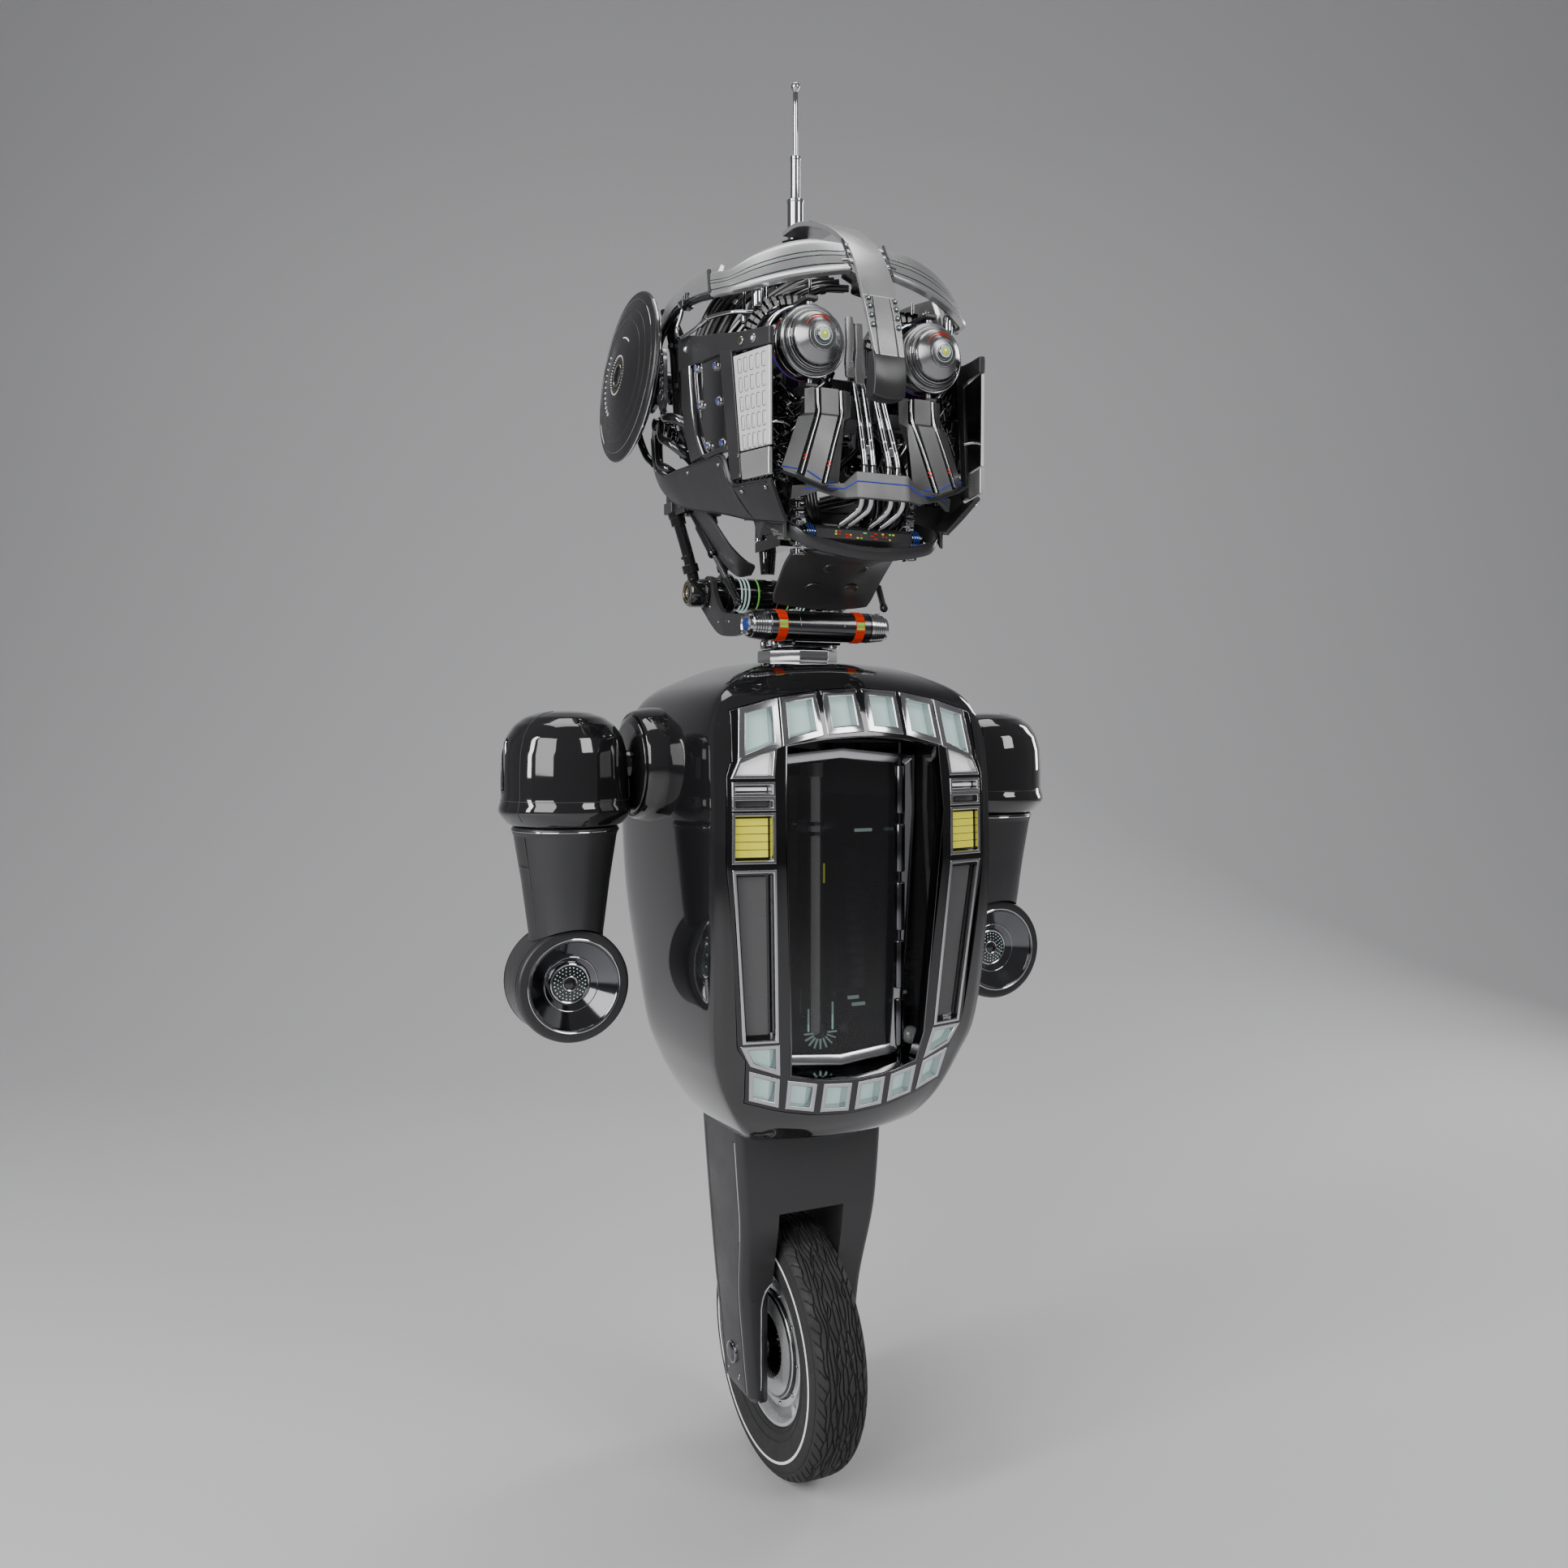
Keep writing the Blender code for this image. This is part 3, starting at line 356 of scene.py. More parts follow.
def surface(name, colour, roughness, metallic=0.0, coat=0.0, spread=0.25, cloud=30.0, shade=0.8,
            grain=0.05, grain_size=0.4, brushed=None, wear=0.0, painted_glow=0.0):
    """A finish with cloudy gloss, a fine grain, an optional brushed direction, worn edges and an optional
    painted glow, which makes the part give off light in its own colour.
    grain_size is in millimetres, and cloud is the number of cloudy spots in a metre."""
    made = bpy.data.materials.new(name)
    made.use_nodes = True
    nodes, links = made.node_tree.nodes, made.node_tree.links
    shader = nodes["Principled BSDF"]
    shader.inputs["Metallic"].default_value = metallic
    shader.inputs["Coat Weight"].default_value = coat
    shader.inputs["Coat Roughness"].default_value = 0.04
    where = nodes.new("ShaderNodeTexCoord").outputs["Object"]

    cloudy = nodes.new("ShaderNodeTexNoise")
    cloudy.inputs["Scale"].default_value = cloud
    cloudy.inputs["Detail"].default_value = 6.0
    links.new(where, cloudy.inputs["Vector"])
    gloss = nodes.new("ShaderNodeMapRange")
    gloss.inputs["From Min"].default_value = 0.3
    gloss.inputs["From Max"].default_value = 0.7
    gloss.inputs["To Min"].default_value = roughness * (1 - spread)
    gloss.inputs["To Max"].default_value = roughness * (1 + spread)
    links.new(cloudy.outputs["Fac"], gloss.inputs["Value"])
    links.new(gloss.outputs["Result"], shader.inputs["Roughness"])

    tint = nodes.new("ShaderNodeMix")
    tint.data_type = "RGBA"
    tint.inputs["A"].default_value = (*[value * shade for value in colour], 1)
    tint.inputs["B"].default_value = (*colour, 1)
    links.new(cloudy.outputs["Fac"], tint.inputs["Factor"])
    result = tint.outputs["Result"]
    if wear:
        edges = nodes.new("ShaderNodeNewGeometry")
        ramp = nodes.new("ShaderNodeMapRange")
        ramp.inputs["From Min"].default_value = 0.52
        ramp.inputs["From Max"].default_value = 0.6
        ramp.inputs["To Max"].default_value = wear
        links.new(edges.outputs["Pointiness"], ramp.inputs["Value"])
        worn = nodes.new("ShaderNodeMix")
        worn.data_type = "RGBA"
        worn.inputs["B"].default_value = (*[min(value * 2.5 + 0.08, 1) for value in colour], 1)
        links.new(ramp.outputs["Result"], worn.inputs["Factor"])
        links.new(result, worn.inputs["A"])
        result = worn.outputs["Result"]
    links.new(result, shader.inputs["Base Color"])

    fine = nodes.new("ShaderNodeTexNoise")
    fine.inputs["Scale"].default_value = 1 / (grain_size * MM)
    fine.inputs["Detail"].default_value = 3.0
    stretch = nodes.new("ShaderNodeMapping")
    stretch.inputs["Scale"].default_value = brushed or (1, 1, 1)
    links.new(where, stretch.inputs["Vector"])
    links.new(stretch.outputs["Vector"], fine.inputs["Vector"])
    bump = nodes.new("ShaderNodeBump")
    bump.inputs["Strength"].default_value = grain
    bump.inputs["Distance"].default_value = 0.0003
    links.new(fine.outputs["Fac"], bump.inputs["Height"])
    links.new(bump.outputs["Normal"], shader.inputs["Normal"])
    # Painted light: the part gives off light in its own colour, as a lamp would, and its reflections are
    # turned down.
    if painted_glow:
        shader.inputs["Specular IOR Level"].default_value = 0.12
        links.new(result, shader.inputs["Emission Color"])
        shader.inputs["Emission Strength"].default_value = painted_glow
    return made


def glass(name, colour, alpha):
    """A glossy see-through finish: alpha is how much of what lies behind it is hidden."""
    made = surface(name, colour, 0.03, coat=1.0, shade=0.9, grain=0.01, grain_size=4, cloud=15)
    made.node_tree.nodes["Principled BSDF"].inputs["Alpha"].default_value = alpha
    return made


GLOSS = surface("gloss_black", (0.012, 0.012, 0.013), 0.07, coat=1.0, grain=0.015, grain_size=2.5,
                wear=0.04)
SATIN = surface("satin_black", (0.036, 0.036, 0.038), 0.38, grain=0.06, grain_size=0.25, wear=0.12)
SOFT_GREY = surface("satin_grey", (0.11, 0.11, 0.112), 0.33, 0.35, grain=0.04, grain_size=0.3, wear=0.15)
FORK_BLACK = surface("fork_black", (0.042, 0.042, 0.044), 0.34, 0.2, grain=0.05, grain_size=0.3, wear=0.12)
GUNMETAL = surface("gunmetal", (0.13, 0.13, 0.135), 0.2, 1.0, grain=0.03, grain_size=0.5, wear=0.2)
DARK_CHROME = surface("dark_chrome", (0.16, 0.16, 0.17), 0.1, 1.0, grain=0.01, grain_size=1.5)
CHROME = surface("chrome", (0.6, 0.6, 0.615), 0.09, 1.0, spread=0.5, shade=0.92, grain=0.01, grain_size=1.2)
PLATE = surface("brushed_plate", (0.56, 0.56, 0.565), 0.26, 0.7, shade=0.93, grain=0.012, grain_size=0.5,
                brushed=(0.3, 1, 1), wear=0.2)
BRIGHT = surface("bright_plate", (0.9, 0.9, 0.9), 0.22, 0.3, shade=0.95, grain=0.012, grain_size=0.5)
STEEL = surface("window_steel", (0.62, 0.62, 0.63), 0.16, 1.0, shade=0.92, grain=0.012, grain_size=0.8)
BEZEL = surface("bezel_gloss", (0.06, 0.06, 0.062), 0.12, 1.0, coat=0.6, grain=0.012, grain_size=1.5)
EYE_GREY = surface("eye_grey", (0.34, 0.34, 0.345), 0.27, 1.0, shade=0.92, grain=0.015, grain_size=0.4)
ALLOY = surface("cast_alloy", (0.74, 0.745, 0.755), 0.28, 0.6, grain=0.05, grain_size=0.6, wear=0.2)
DISH = surface("dish_black", (0.02, 0.02, 0.021), 0.3, spread=0.35, grain=0.02, grain_size=0.3, wear=0.06)
RUBBER = surface("tyre_rubber", (0.03, 0.03, 0.031), 0.72, shade=0.7, grain=0.25, grain_size=0.5, cloud=60)
HOSE = surface("hose_rubber", (0.014, 0.014, 0.015), 0.24, coat=0.3, grain=0.03, grain_size=0.6)
# The glow on these materials is painted light: they give off light in their own colour, also where they are
# enamel marks, lines, rivet cores, pinstripes or the pupil, which are no lamps.
CYAN = surface("lit_cyan", (0.44, 0.6, 0.57), 0.4, shade=0.96, cloud=60, grain=0.03, painted_glow=0.62)
YELLOW = surface("lit_yellow", (0.56, 0.53, 0.05), 0.45, shade=0.93, cloud=60, grain=0.03, painted_glow=0.6)
WHITE = surface("lit_white", (0.9, 0.9, 0.9), 0.3, shade=0.95, cloud=60, grain=0.03, painted_glow=0.5)
STRIPE = surface("white_line", (0.9, 0.9, 0.89), 0.5, shade=0.9, grain=0.05, painted_glow=0.2)
RED = surface("red_enamel", (0.75, 0.04, 0.01), 0.4, shade=0.8, grain=0.05, painted_glow=0.12)
GREEN = surface("green_enamel", (0.25, 0.75, 0.12), 0.4, shade=0.85, grain=0.05, painted_glow=0.25)
BLUE = surface("blue_anodised", (0.04, 0.09, 0.42), 0.22, 0.6, grain=0.03, painted_glow=0.06)
BLUE_LINE = surface("blue_line", (0.03, 0.05, 0.5), 0.4, shade=0.8, grain=0.04, painted_glow=0.25)
TEAL = surface("teal_groove", (0.02, 0.07, 0.065), 0.3, 0.5, grain=0.03)
BRASS = surface("brass", (0.5, 0.36, 0.1), 0.22, 1.0, grain=0.04)
SMOKED = glass("smoked_glass", (0.02, 0.02, 0.022), 0.42)
CLEAR = glass("clear_glass", (0.34, 0.35, 0.35), 0.45)
PUPIL = surface("pupil", (0.5, 0.6, 0.08), 0.15, 0.2, coat=1.0, grain=0.02, painted_glow=0.5)
BATTERY = surface("battery_wrap", (0.05, 0.09, 0.2), 0.4, coat=0.3, grain=0.08, grain_size=1.5)
BOARD = surface("circuit_board", (0.02, 0.1, 0.05), 0.35, coat=0.2, grain=0.06, grain_size=0.8)


# ---------------------------------------------------------------- wheel

def groove_lines():
    """The tread's long wandering sipes: (place across, swing, waves in a turn, phase)."""
    draw = random.Random(11)
    lines = []
    for across in (5.2, 7.8, 10.6, 13.2, 15.8):
        for side in (1, -1):
            waves = [(draw.uniform(0.4, 1.3), draw.randint(7, 31), draw.uniform(0, 6.3)) for _ in range(3)]
            lines.append((side * across, waves))
    return lines


def sipe_depth(turn, x, lines):
    """How deep the tread is cut at an angle and a place across it, from 0 to 1."""
    nearest = 9.0
    for across, waves in lines:
        nearest = min(nearest, abs(x - across - sum(a * math.sin(n * turn + p) for a, n, p in waves)))
    link = (turn * 28 / (2 * math.pi)) % 1 * 2 - 1
    nearest = min(nearest, abs(abs(x) - 2.1 * max(1 - link ** 4, 0) ** 0.5))
    arch = (turn * 9 / (2 * math.pi)) % 1 * 2 - 1
    nearest = min(nearest, abs(abs(x) - 8.5 * max(1 - arch * arch, 0) ** 0.5))
    if abs(x) > 15.5:
        slant = (turn * 62 / (2 * math.pi) + (abs(x) - 15.5) * 0.13) % 1
        nearest = min(nearest, abs(slant - 0.5) * 10.5)
    return min(1.0, max(0.0, 1.35 - nearest / 0.62))


def build_tyre():
    half = [(65.4, 18), (67, 19.6), (72, 21.6), (79, 23.9), (86, 24.95), (93, 24.6), (99.5, 22.6)]
    tread = []
    for k in range(131):
        x = 21.8 - 43.6 * k / 130
        fall = abs(x) / 21.8
        tread.append((WHEEL_R - 0.6 * fall ** 2 - 5.6 * fall ** 5, x))
    section = half + tread + [(r, -x) for r, x in reversed(half)]
    lines = groove_lines()
    segments = 620
    rings = []
    for i in range(segments):
        turn = 2 * math.pi * i / segments
        ring = []
        for radius, x in section:
            if radius > 100:
                radius -= 1.9 * sipe_depth(turn, x, lines)
            ring.append((x, radius * math.cos(turn), HUB.z + radius * math.sin(turn)))
        rings.append(ring)
    piece("tyre_tread", loft(rings, closed=True), RUBBER, "wheel", ["tyre"], sharp=60)
    stripe = ring_tube((0, 0, 0), 90.4, 1.1, "X", 128, 8)
    stripe = [(x * 0.4 + 24.72, y, z + HUB.z) for x, y, z in stripe[0]], stripe[1]
    beads = [ring_tube((x, 0, HUB.z), radius, 0.55, "X", 128)
             for x, radius in ((20.4, 68.5), (22.7, 75), (22.9, 98.8))]
    piece("sidewall_pinstripes", both(stripe), STRIPE, "wheel")
    piece("sidewall_beads", both(*beads), RUBBER, "wheel")


def build_rim():
    barrel = [
        (65, 17.4), (64, 18), (62.2, 17.8), (60.4, 15), (59, 12), (58.6, 8), (58.6, -8), (59, -12),
        (60.4, -15), (62.2, -17.8), (64, -18), (65, -17.4),
    ]
    seat = washer(51, 44.5, 13, -13, 1.5)
    shapes = [lathe(rounded(barrel, 1, closed=True), "X", HUB, 128), lathe(seat, "X", HUB, 96)]
    blades = []
    for lean in (-1, 1):
        rings = []
        for k in range(7):
            t = k / 6
            out, centre = 47 + 13.5 * t, lean * (4.6 + 3.4 * t)
            wide, deep = 3.2 + 0.9 * t * t, 9.5 - 1.5 * math.sin(math.pi * t)
            turns = [2 * math.pi * j / 12 for j in range(12)]
            rings.append([
                (deep * math.copysign(abs(math.cos(a)) ** 0.6, math.cos(a)),
                 centre + wide * math.copysign(abs(math.sin(a)) ** 0.6, math.sin(a)), HUB.z + out)
                for a in turns
            ])
        blades.append(loft(rings))
    shapes.append(around(merge(*blades), 5, "X", HUB))
    piece("wheel_rim_cast", merge(*shapes), ALLOY, "wheel", ["wheel_rim"])
    bolts = [both(around(bolt((13.4, 0, HUB.z + 47.6), (1, 0, 0), 1.7, 1.2), 10, "X", HUB, 0.3))]
    valve = tube([(6, 0, HUB.z - 59), (9, 0, HUB.z - 55), (13, 0, HUB.z - 52)], [2.2, 1.9, 1.7], 12)
    piece("rim_bolts", merge(*bolts, turned(valve, 0.63, "X", HUB)), CHROME, "wheel")


def build_hub():
    half = [(7, 17), (13, 17), (14, 15.5), (38, 15.5), (41, 17), (44, 14.5)]
    section = rounded(half + [(r, -x) for r, x in reversed(half)], 0.8, closed=True)
    piece("hub_drum", lathe(section, "X", HUB, 96), GLOSS, "wheel", ["hub_rotor"])
    fin = loft([
        [(x, y, HUB.z + r) for x, y in ((15, -w), (15, w), (top, w * 0.4), (top, -w * 0.4))]
        for r, w, top in ((14.5, 0.5, 21), (20, 0.8, 20.4), (25.4, 1, 18.6))
    ])
    piece("hub_fins", both(around(fin, 36, "X", HUB)), GUNMETAL, "wheel")
    cover = rounded([(25.8, 15), (25.8, 17.6), (28, 18.2), (40.5, 16.9), (43.4, 15.2), (43.4, 14.4)], 0.6,
                    closed=True)
    piece("hub_side_covers", both(lathe(cover, "X", HUB, 96)), ALLOY, "wheel")
    boss = lathe(rounded([(6.9, 16), (12.5, 16), (12.5, 24), (10, 26), (6.9, 26)], 0.6, closed=True), "X",
                 HUB, 64)
    ribs = around(block((17, 25), (-0.35, 0.35), (HUB.z + 12, HUB.z + 13.2)), 40, "X", HUB)
    piece("hub_bearing_housings", both(boss, ribs), DARK_CHROME, "wheel")


# ---------------------------------------------------------------- fork

# Height, half width, front and back of the fork
LEG_ROWS = [
    (73, 42, -26, 24), (80, 47, -31, 28), (112, 50, -31, 28.5), (150, 53.5, -31.5, 29),
    (175, 56, -34, 29.5), (225, 60, -46, 30), (262, 63, -48, 30), (314, 66.5, -48, 30),
]


def fork_at(z):
    """Half width, front and back of the fork at a height, on the smooth curve of its rows."""
    rows = FORK_CURVE
    for low, high in zip(rows, rows[1:]):
        if z <= high[0]:
            break
    t = min(max((z - low[0]) / (high[0] - low[0]), 0), 1)
    return [low[i] + (high[i] - low[i]) * t for i in (1, 2, 3)]


def smooth_rows(rows, steps):
    """The rows with smooth ones between them. Each row starts with its height."""
    heads = smooth([row[:3] for row in rows], steps)
    tails = smooth([(row[0], row[3], row[-1]) for row in rows], steps)
    return [(*head, tail[1], tail[2]) for head, tail in zip(heads, tails)]


FORK_CURVE = LEG_ROWS[:1] + smooth_rows(LEG_ROWS[1:], 6)


def rounded_ring(half_x, front, back, z, corner=7.0, count=7):
    points = []
    for x, y, start in (
        (half_x, back, 0), (-half_x, back, 90), (-half_x, front, 180), (half_x, front, 270),
    ):
        centre = (x - math.copysign(corner, x), y - corner if y > 0 else y + corner)
        for k in range(count):
            turn = math.radians(start + 90 * k / (count - 1))
            points.append((centre[0] + corner * math.cos(turn), centre[1] + corner * math.sin(turn), z))
    return points


def build_fork():
    body = loft([rounded_ring(half, front, back, z) for z, half, front, back, *_ in FORK_CURVE])
    gap = block((-29, 29), (-80, 80), (0, 236))
    bores = rod(6.4, -80, 80, "X", HUB, 32)
    corners = [
        loft([
            [(side * x, y, z)
             for x, y in ((28, -23 - rise), (28, -60), (reach + 16, -60), (reach, -33 - rise))]
            for z, reach, rise in ((50, 38, 0), (150, 38, 0), (166, 36, 1), (180, 28.2, 11))
        ]) for side, _ in SIDES
    ]
    piece("fork_casing", body, FORK_BLACK, "torso", ["fork_shell"], bevel=0.9, sharp=40,
          cuts=[gap, bores, *corners])
    seams, lights, edges = [], [], []
    for k in range(30):
        z = 82 + (298 - 82) * k / 29
        half, front, back = fork_at(z)
        seams.append((half - 0.1, front + 9.5, z))
        lights.append((half + 0.05, front + 7.4, z))
        edges.append((half - 0.1, back - 9.5, z))
    dark = both(tube(seams, 0.9, 8, 2), tube(edges, 0.5, 8, 2))
    piece("fork_seams", dark, GLOSS, "torso")
    piece("fork_seam_trims", both(tube(lights[18:], 0.55, 8, 2), tube(lights[:19], 0.3, 8, 2)), CHROME,
          "torso")

    inner = [((37.2, fork_at(z)[1] - 0.3, z), (29.6, -23.6, z)) for z in (75, 90, 110, 130, 150)]
    piece("leg_liners", both(plate(patch(inner), 1.2, steps=(30, 3), lift=-0.2)), GLOSS, "torso")
    route = [(38.1, fork_at(z)[1] - 0.1, z) for z in (74, 90, 110, 130, 148, 155)]
    route += [(36.4, -32.7, 165), (33.5, -33.4, 170.5), (29.4, -34, 175)]
    piece("leg_liner_trims", both(tube(route, 0.65, 8)), CHROME, "torso")

    head = fork_at(HUB.z)[0]
    cap = rounded([(0, 53), (5, 53), (8.6, 51.4), (9.5, head - 1), (6, head - 1), (6, 20)], 1.2)
    shaft = cap + [(r, -x) for r, x in reversed(cap)]
    piece("axle_capped", lathe(shaft, "X", HUB, 64), DARK_CHROME, "torso", ["axle"])
    rim = ring_tube((51.2, 0, HUB.z), 8.4, 0.5, "X", 64)
    screws = [bolt((fork_at(z)[0], y, z), (1, 0, 0), 1.3, 0.7) for y, z in ((-11, 92), (-8, 88), (12, 90))]
    piece("axle_cap_rims", both(rim, *screws), CHROME, "torso")

    frame["nodes"]["motor_stator"].data.materials[0] = GUNMETAL


# ---------------------------------------------------------------- torso

# Height, half width, front reach, back reach and squareness of the back
TORSO_ROWS = [
    (306, 64, 86, 54, 1), (315, 78, 100, 64, 1), (335, 94, 113, 72, 1), (365, 110, 121, 80, 0.95),
    (400, 120, 131, 86, 0.85), (480, 124, 141, 96, 0.5), (560, 124, 142, 104, 0.4),
    (610, 123, 138, 98, 0.4), (637, 118, 132, 90, 0.45), (655, 106, 123, 78, 0.55),
    (668, 82, 105, 57, 0.7), (676, 60, 80, 38, 0.85), (679, 42, 58, 20, 1),
]
TORSO_CURVE = smooth_rows(TORSO_ROWS, 5)
FLAT_FRONT = 0.88
FRONT_BULGE = 15.0


def torso_at(z):
    """Half width, front reach and back reach of the barrel at a height."""
    rows = TORSO_CURVE
    for low, high in zip(rows, rows[1:]):
        if z <= high[0]:
            break
    t = min(max((z - low[0]) / (high[0] - low[0]), 0), 1)
    return [low[i] + (high[i] - low[i]) * t for i in (1, 2, 3)]


def front_y(x, z):
    half, front, _ = torso_at(z)
    return -front + FRONT_BULGE * (x / (FLAT_FRONT * half)) ** 2


def torso_ring(z, half, front, back, square):
    right = [(FLAT_FRONT * half * u, FRONT_BULGE * u * u - front) for u in (0.25, 0.5, 0.75, 0.93)]
    right += [(0.915 * half, -front + 16.5), (0.955 * half, -front + 25), (0.99 * half, -0.45 * front)]
    right.append((half, 0))
    for degrees in (14, 28, 42, 56, 72):
        angle = math.radians(degrees)
        right.append((half * math.cos(angle) ** square, back * math.sin(angle) ** square))
    ring = [(0, -front)] + right + [(0, back)] + [(-x, y) for x, y in reversed(right)]
    return [(p.x, p.y, z) for p in smooth([(x, y, 0) for x, y in ring], 4, closed=True)]


# The bezel's grid: how far out each column stands at each of these heights, and each row as its
# height on the centre line and its rise at the sides. Cells are (row, column).
COLUMN_HEIGHTS = (345, 372, 400, 530, 600, 640)
COLUMN_PLACES = {
    1: (5, 5, 5.5, 6, 6, 6),
    2: (24, 24, 25, 28, 28, 28),
    3: (34, 34, 35, 39, 39, 39),
    4: (52, 54, 57, 66, 66, 61),
    5: (62, 66, 68, 75, 75, 70),
    6: (80, 86, 92, 104, 103, 92),
    7: (85, 91, 97, 109, 108, 102),
}
ROWS = (
    (656.5, -14), (652, -14), (628, -20), (620, -14), (592, 0), (587, 0), (579, 0), (576, 0),
    (569, 0), (565, 0), (531, 0), (524, 0), (398, 0), (393, 0), (362, 23), (356.5, 19),
    (338, 19), (333, 19),
)
COLUMNS = (-7, -6, -5, -4, -3, -2, -1, 1, 2, 3, 4, 5, 6, 7)
TOP_CELLS = [(1, column) for column in (1, 3, 5, 7, 9, 11)]
LOW_CELLS = [(15, column) for column in (1, 3, 5, 7, 9, 11)]
SIDE_CELLS = [(row, column) for row in (3, 5, 7, 9, 11, 13) for column in (1, 11)]
CHEST_CELLS = [(row, column) for row in range(3, 14) for column in range(3, 10)]


def grid_point(row, column, spread=0.0):
    base, rise = ROWS[row]
    places = COLUMN_PLACES[abs(COLUMNS[column])]
    z = min(max(base, COLUMN_HEIGHTS[0]), COLUMN_HEIGHTS[-1])
    for i in range(len(COLUMN_HEIGHTS) - 1):
        if z <= COLUMN_HEIGHTS[i + 1]:
            break
    t = (z - COLUMN_HEIGHTS[i]) / (COLUMN_HEIGHTS[i + 1] - COLUMN_HEIGHTS[i])
    x = math.copysign(places[i] + (places[i + 1] - places[i]) * t, COLUMNS[column])
    z = base + rise * (x / 92) ** 2
    if row in (0, len(ROWS) - 1):
        z += spread if row == 0 else -spread
    if column in (0, len(COLUMNS) - 1):
        x += math.copysign(spread, x)
    return x, z


def front_plate(holes, ahead, behind, spread=0.0):
    """A plate that follows the barrel's front, with the listed grid cells left open."""
    verts, faces, index = [], [], {}

    def corner(row, column, layer):
        key = (row, column, layer)
        if key not in index:
            x, z = grid_point(row, column, spread)
            index[key] = len(verts)
            verts.append((x, front_y(x, z) + (ahead, behind)[layer], z))
        return index[key]

    rows, columns = len(ROWS) - 1, len(COLUMNS) - 1
    filled = {(r, c) for r in range(rows) for c in range(columns)} - set(holes)
    for r, c in sorted(filled):
        ring = [(r, c), (r, c + 1), (r + 1, c + 1), (r + 1, c)]
        faces.append([corner(a, b, 0) for a, b in ring])
        faces.append([corner(a, b, 1) for a, b in reversed(ring)])
        beyond = [(r - 1, c), (r, c + 1), (r + 1, c), (r, c - 1)]
        for k, neighbour in enumerate(beyond):
            if neighbour not in filled:
                (a, b), (d, e) = ring[k], ring[(k + 1) % 4]
                faces.append([corner(d, e, 0), corner(a, b, 0), corner(a, b, 1), corner(d, e, 1)])
    return verts, faces


def inset(outline, amount):
    """A convex outline with each of its edges shifted inward."""
    points = [Vector(p) for p in outline]
    middle = sum(points, Vector((0, 0))) / len(points)
    shifted = []
    for i, point in enumerate(points):
        along = (points[(i + 1) % len(points)] - point).normalized()
        inward = Vector((-along.y, along.x))
        if inward.dot(middle - point) < 0:
            inward = -inward
        shifted.append((point + inward * amount, along))
    made = []
    for i in range(len(points)):
        (p, along), (q, other) = shifted[i - 1], shifted[i]
        cross = along.x * other.y - along.y * other.x
        if abs(cross) < 1e-6:
            made.append(tuple(q))
            continue
        step = ((q - p).x * other.y - (q - p).y * other.x) / cross
        made.append(tuple(p + along * step))
    return made


def cell_outline(cell):
    row, column = cell
    corners = [(row, column), (row, column + 1), (row + 1, column + 1), (row + 1, column)]
    return [grid_point(r, c) for r, c in corners]


def picture_frame(outline, section, depth_at):
    """A moulding around an outline. Its section is a loop of (inset, depth) points."""
    rings = []
    for amount, depth in section:
        rings.append([(x, depth_at(x, z) + depth, z) for x, z in inset(outline, amount)])
    return loft(rings, closed=True)


def pane(outline, depth, thickness, depth_at):
    rings = [[(x, depth_at(x, z) + d, z) for x, z in outline] for d in (depth, depth + thickness)]
    return loft(rings)


def build_torso_skin():
    outer = loft([torso_ring(*row) for row in TORSO_CURVE])
    hollow_rows = [(z, half - 5, max(front - 26, 40), back - 5, square)
                   for z, half, front, back, square in TORSO_ROWS[2:-3]]
    hollow = loft([torso_ring(*row) for row in hollow_rows])
    pocket = front_plate([], -30, 13.6, spread=0.4)
    bay = block((-71.4, 71.4), (-170, -60), (358.6, 619.4))
    neck = rod(13, 640, 690, "Z", (0, NECK.y, 0), 48)
    shaft = rod(15, -140, 140, "X", (0, SHOULDER.y, SHOULDER.z), 48)
    piece("torso_casing", outer, GLOSS, "torso", ["torso_shell"], sharp=30,
          cuts=[hollow, pocket, bay, neck, shaft])
    lens = bolt((-121.6, -55, 556), (-1, -0.25, 0), 4, 0.8)
    cups = [(30, 100), (43.5, 102), (45, 113), (45, 122), (44, 130), (42.4, 136.5), (40.4, 139.4),
            (39.2, 137), (30, 136)]
    piece("side_lens", lens, DARK_CHROME, "torso")
    fairing = lathe(rounded(cups, 4, 5, closed=True), "X", (0, SHOULDER.y, SHOULDER.z), 72)
    piece("shoulder_fairings", both(fairing), GLOSS, "torso")


def frame_section(width):
    """The section of a window's frame, whose flat border is this wide outside the opening."""
    return [(-width, 3), (-width, -1.1), (0.5 - width, -1.8), (0.6, -1.8), (1.2, -1), (1.7, 9), (-width, 9)]


# The border of the window frames in a row of cells, where it is wider than the rest
FRAME_WIDTHS = {1: 4.1, 13: 2.4, 15: 2.4}


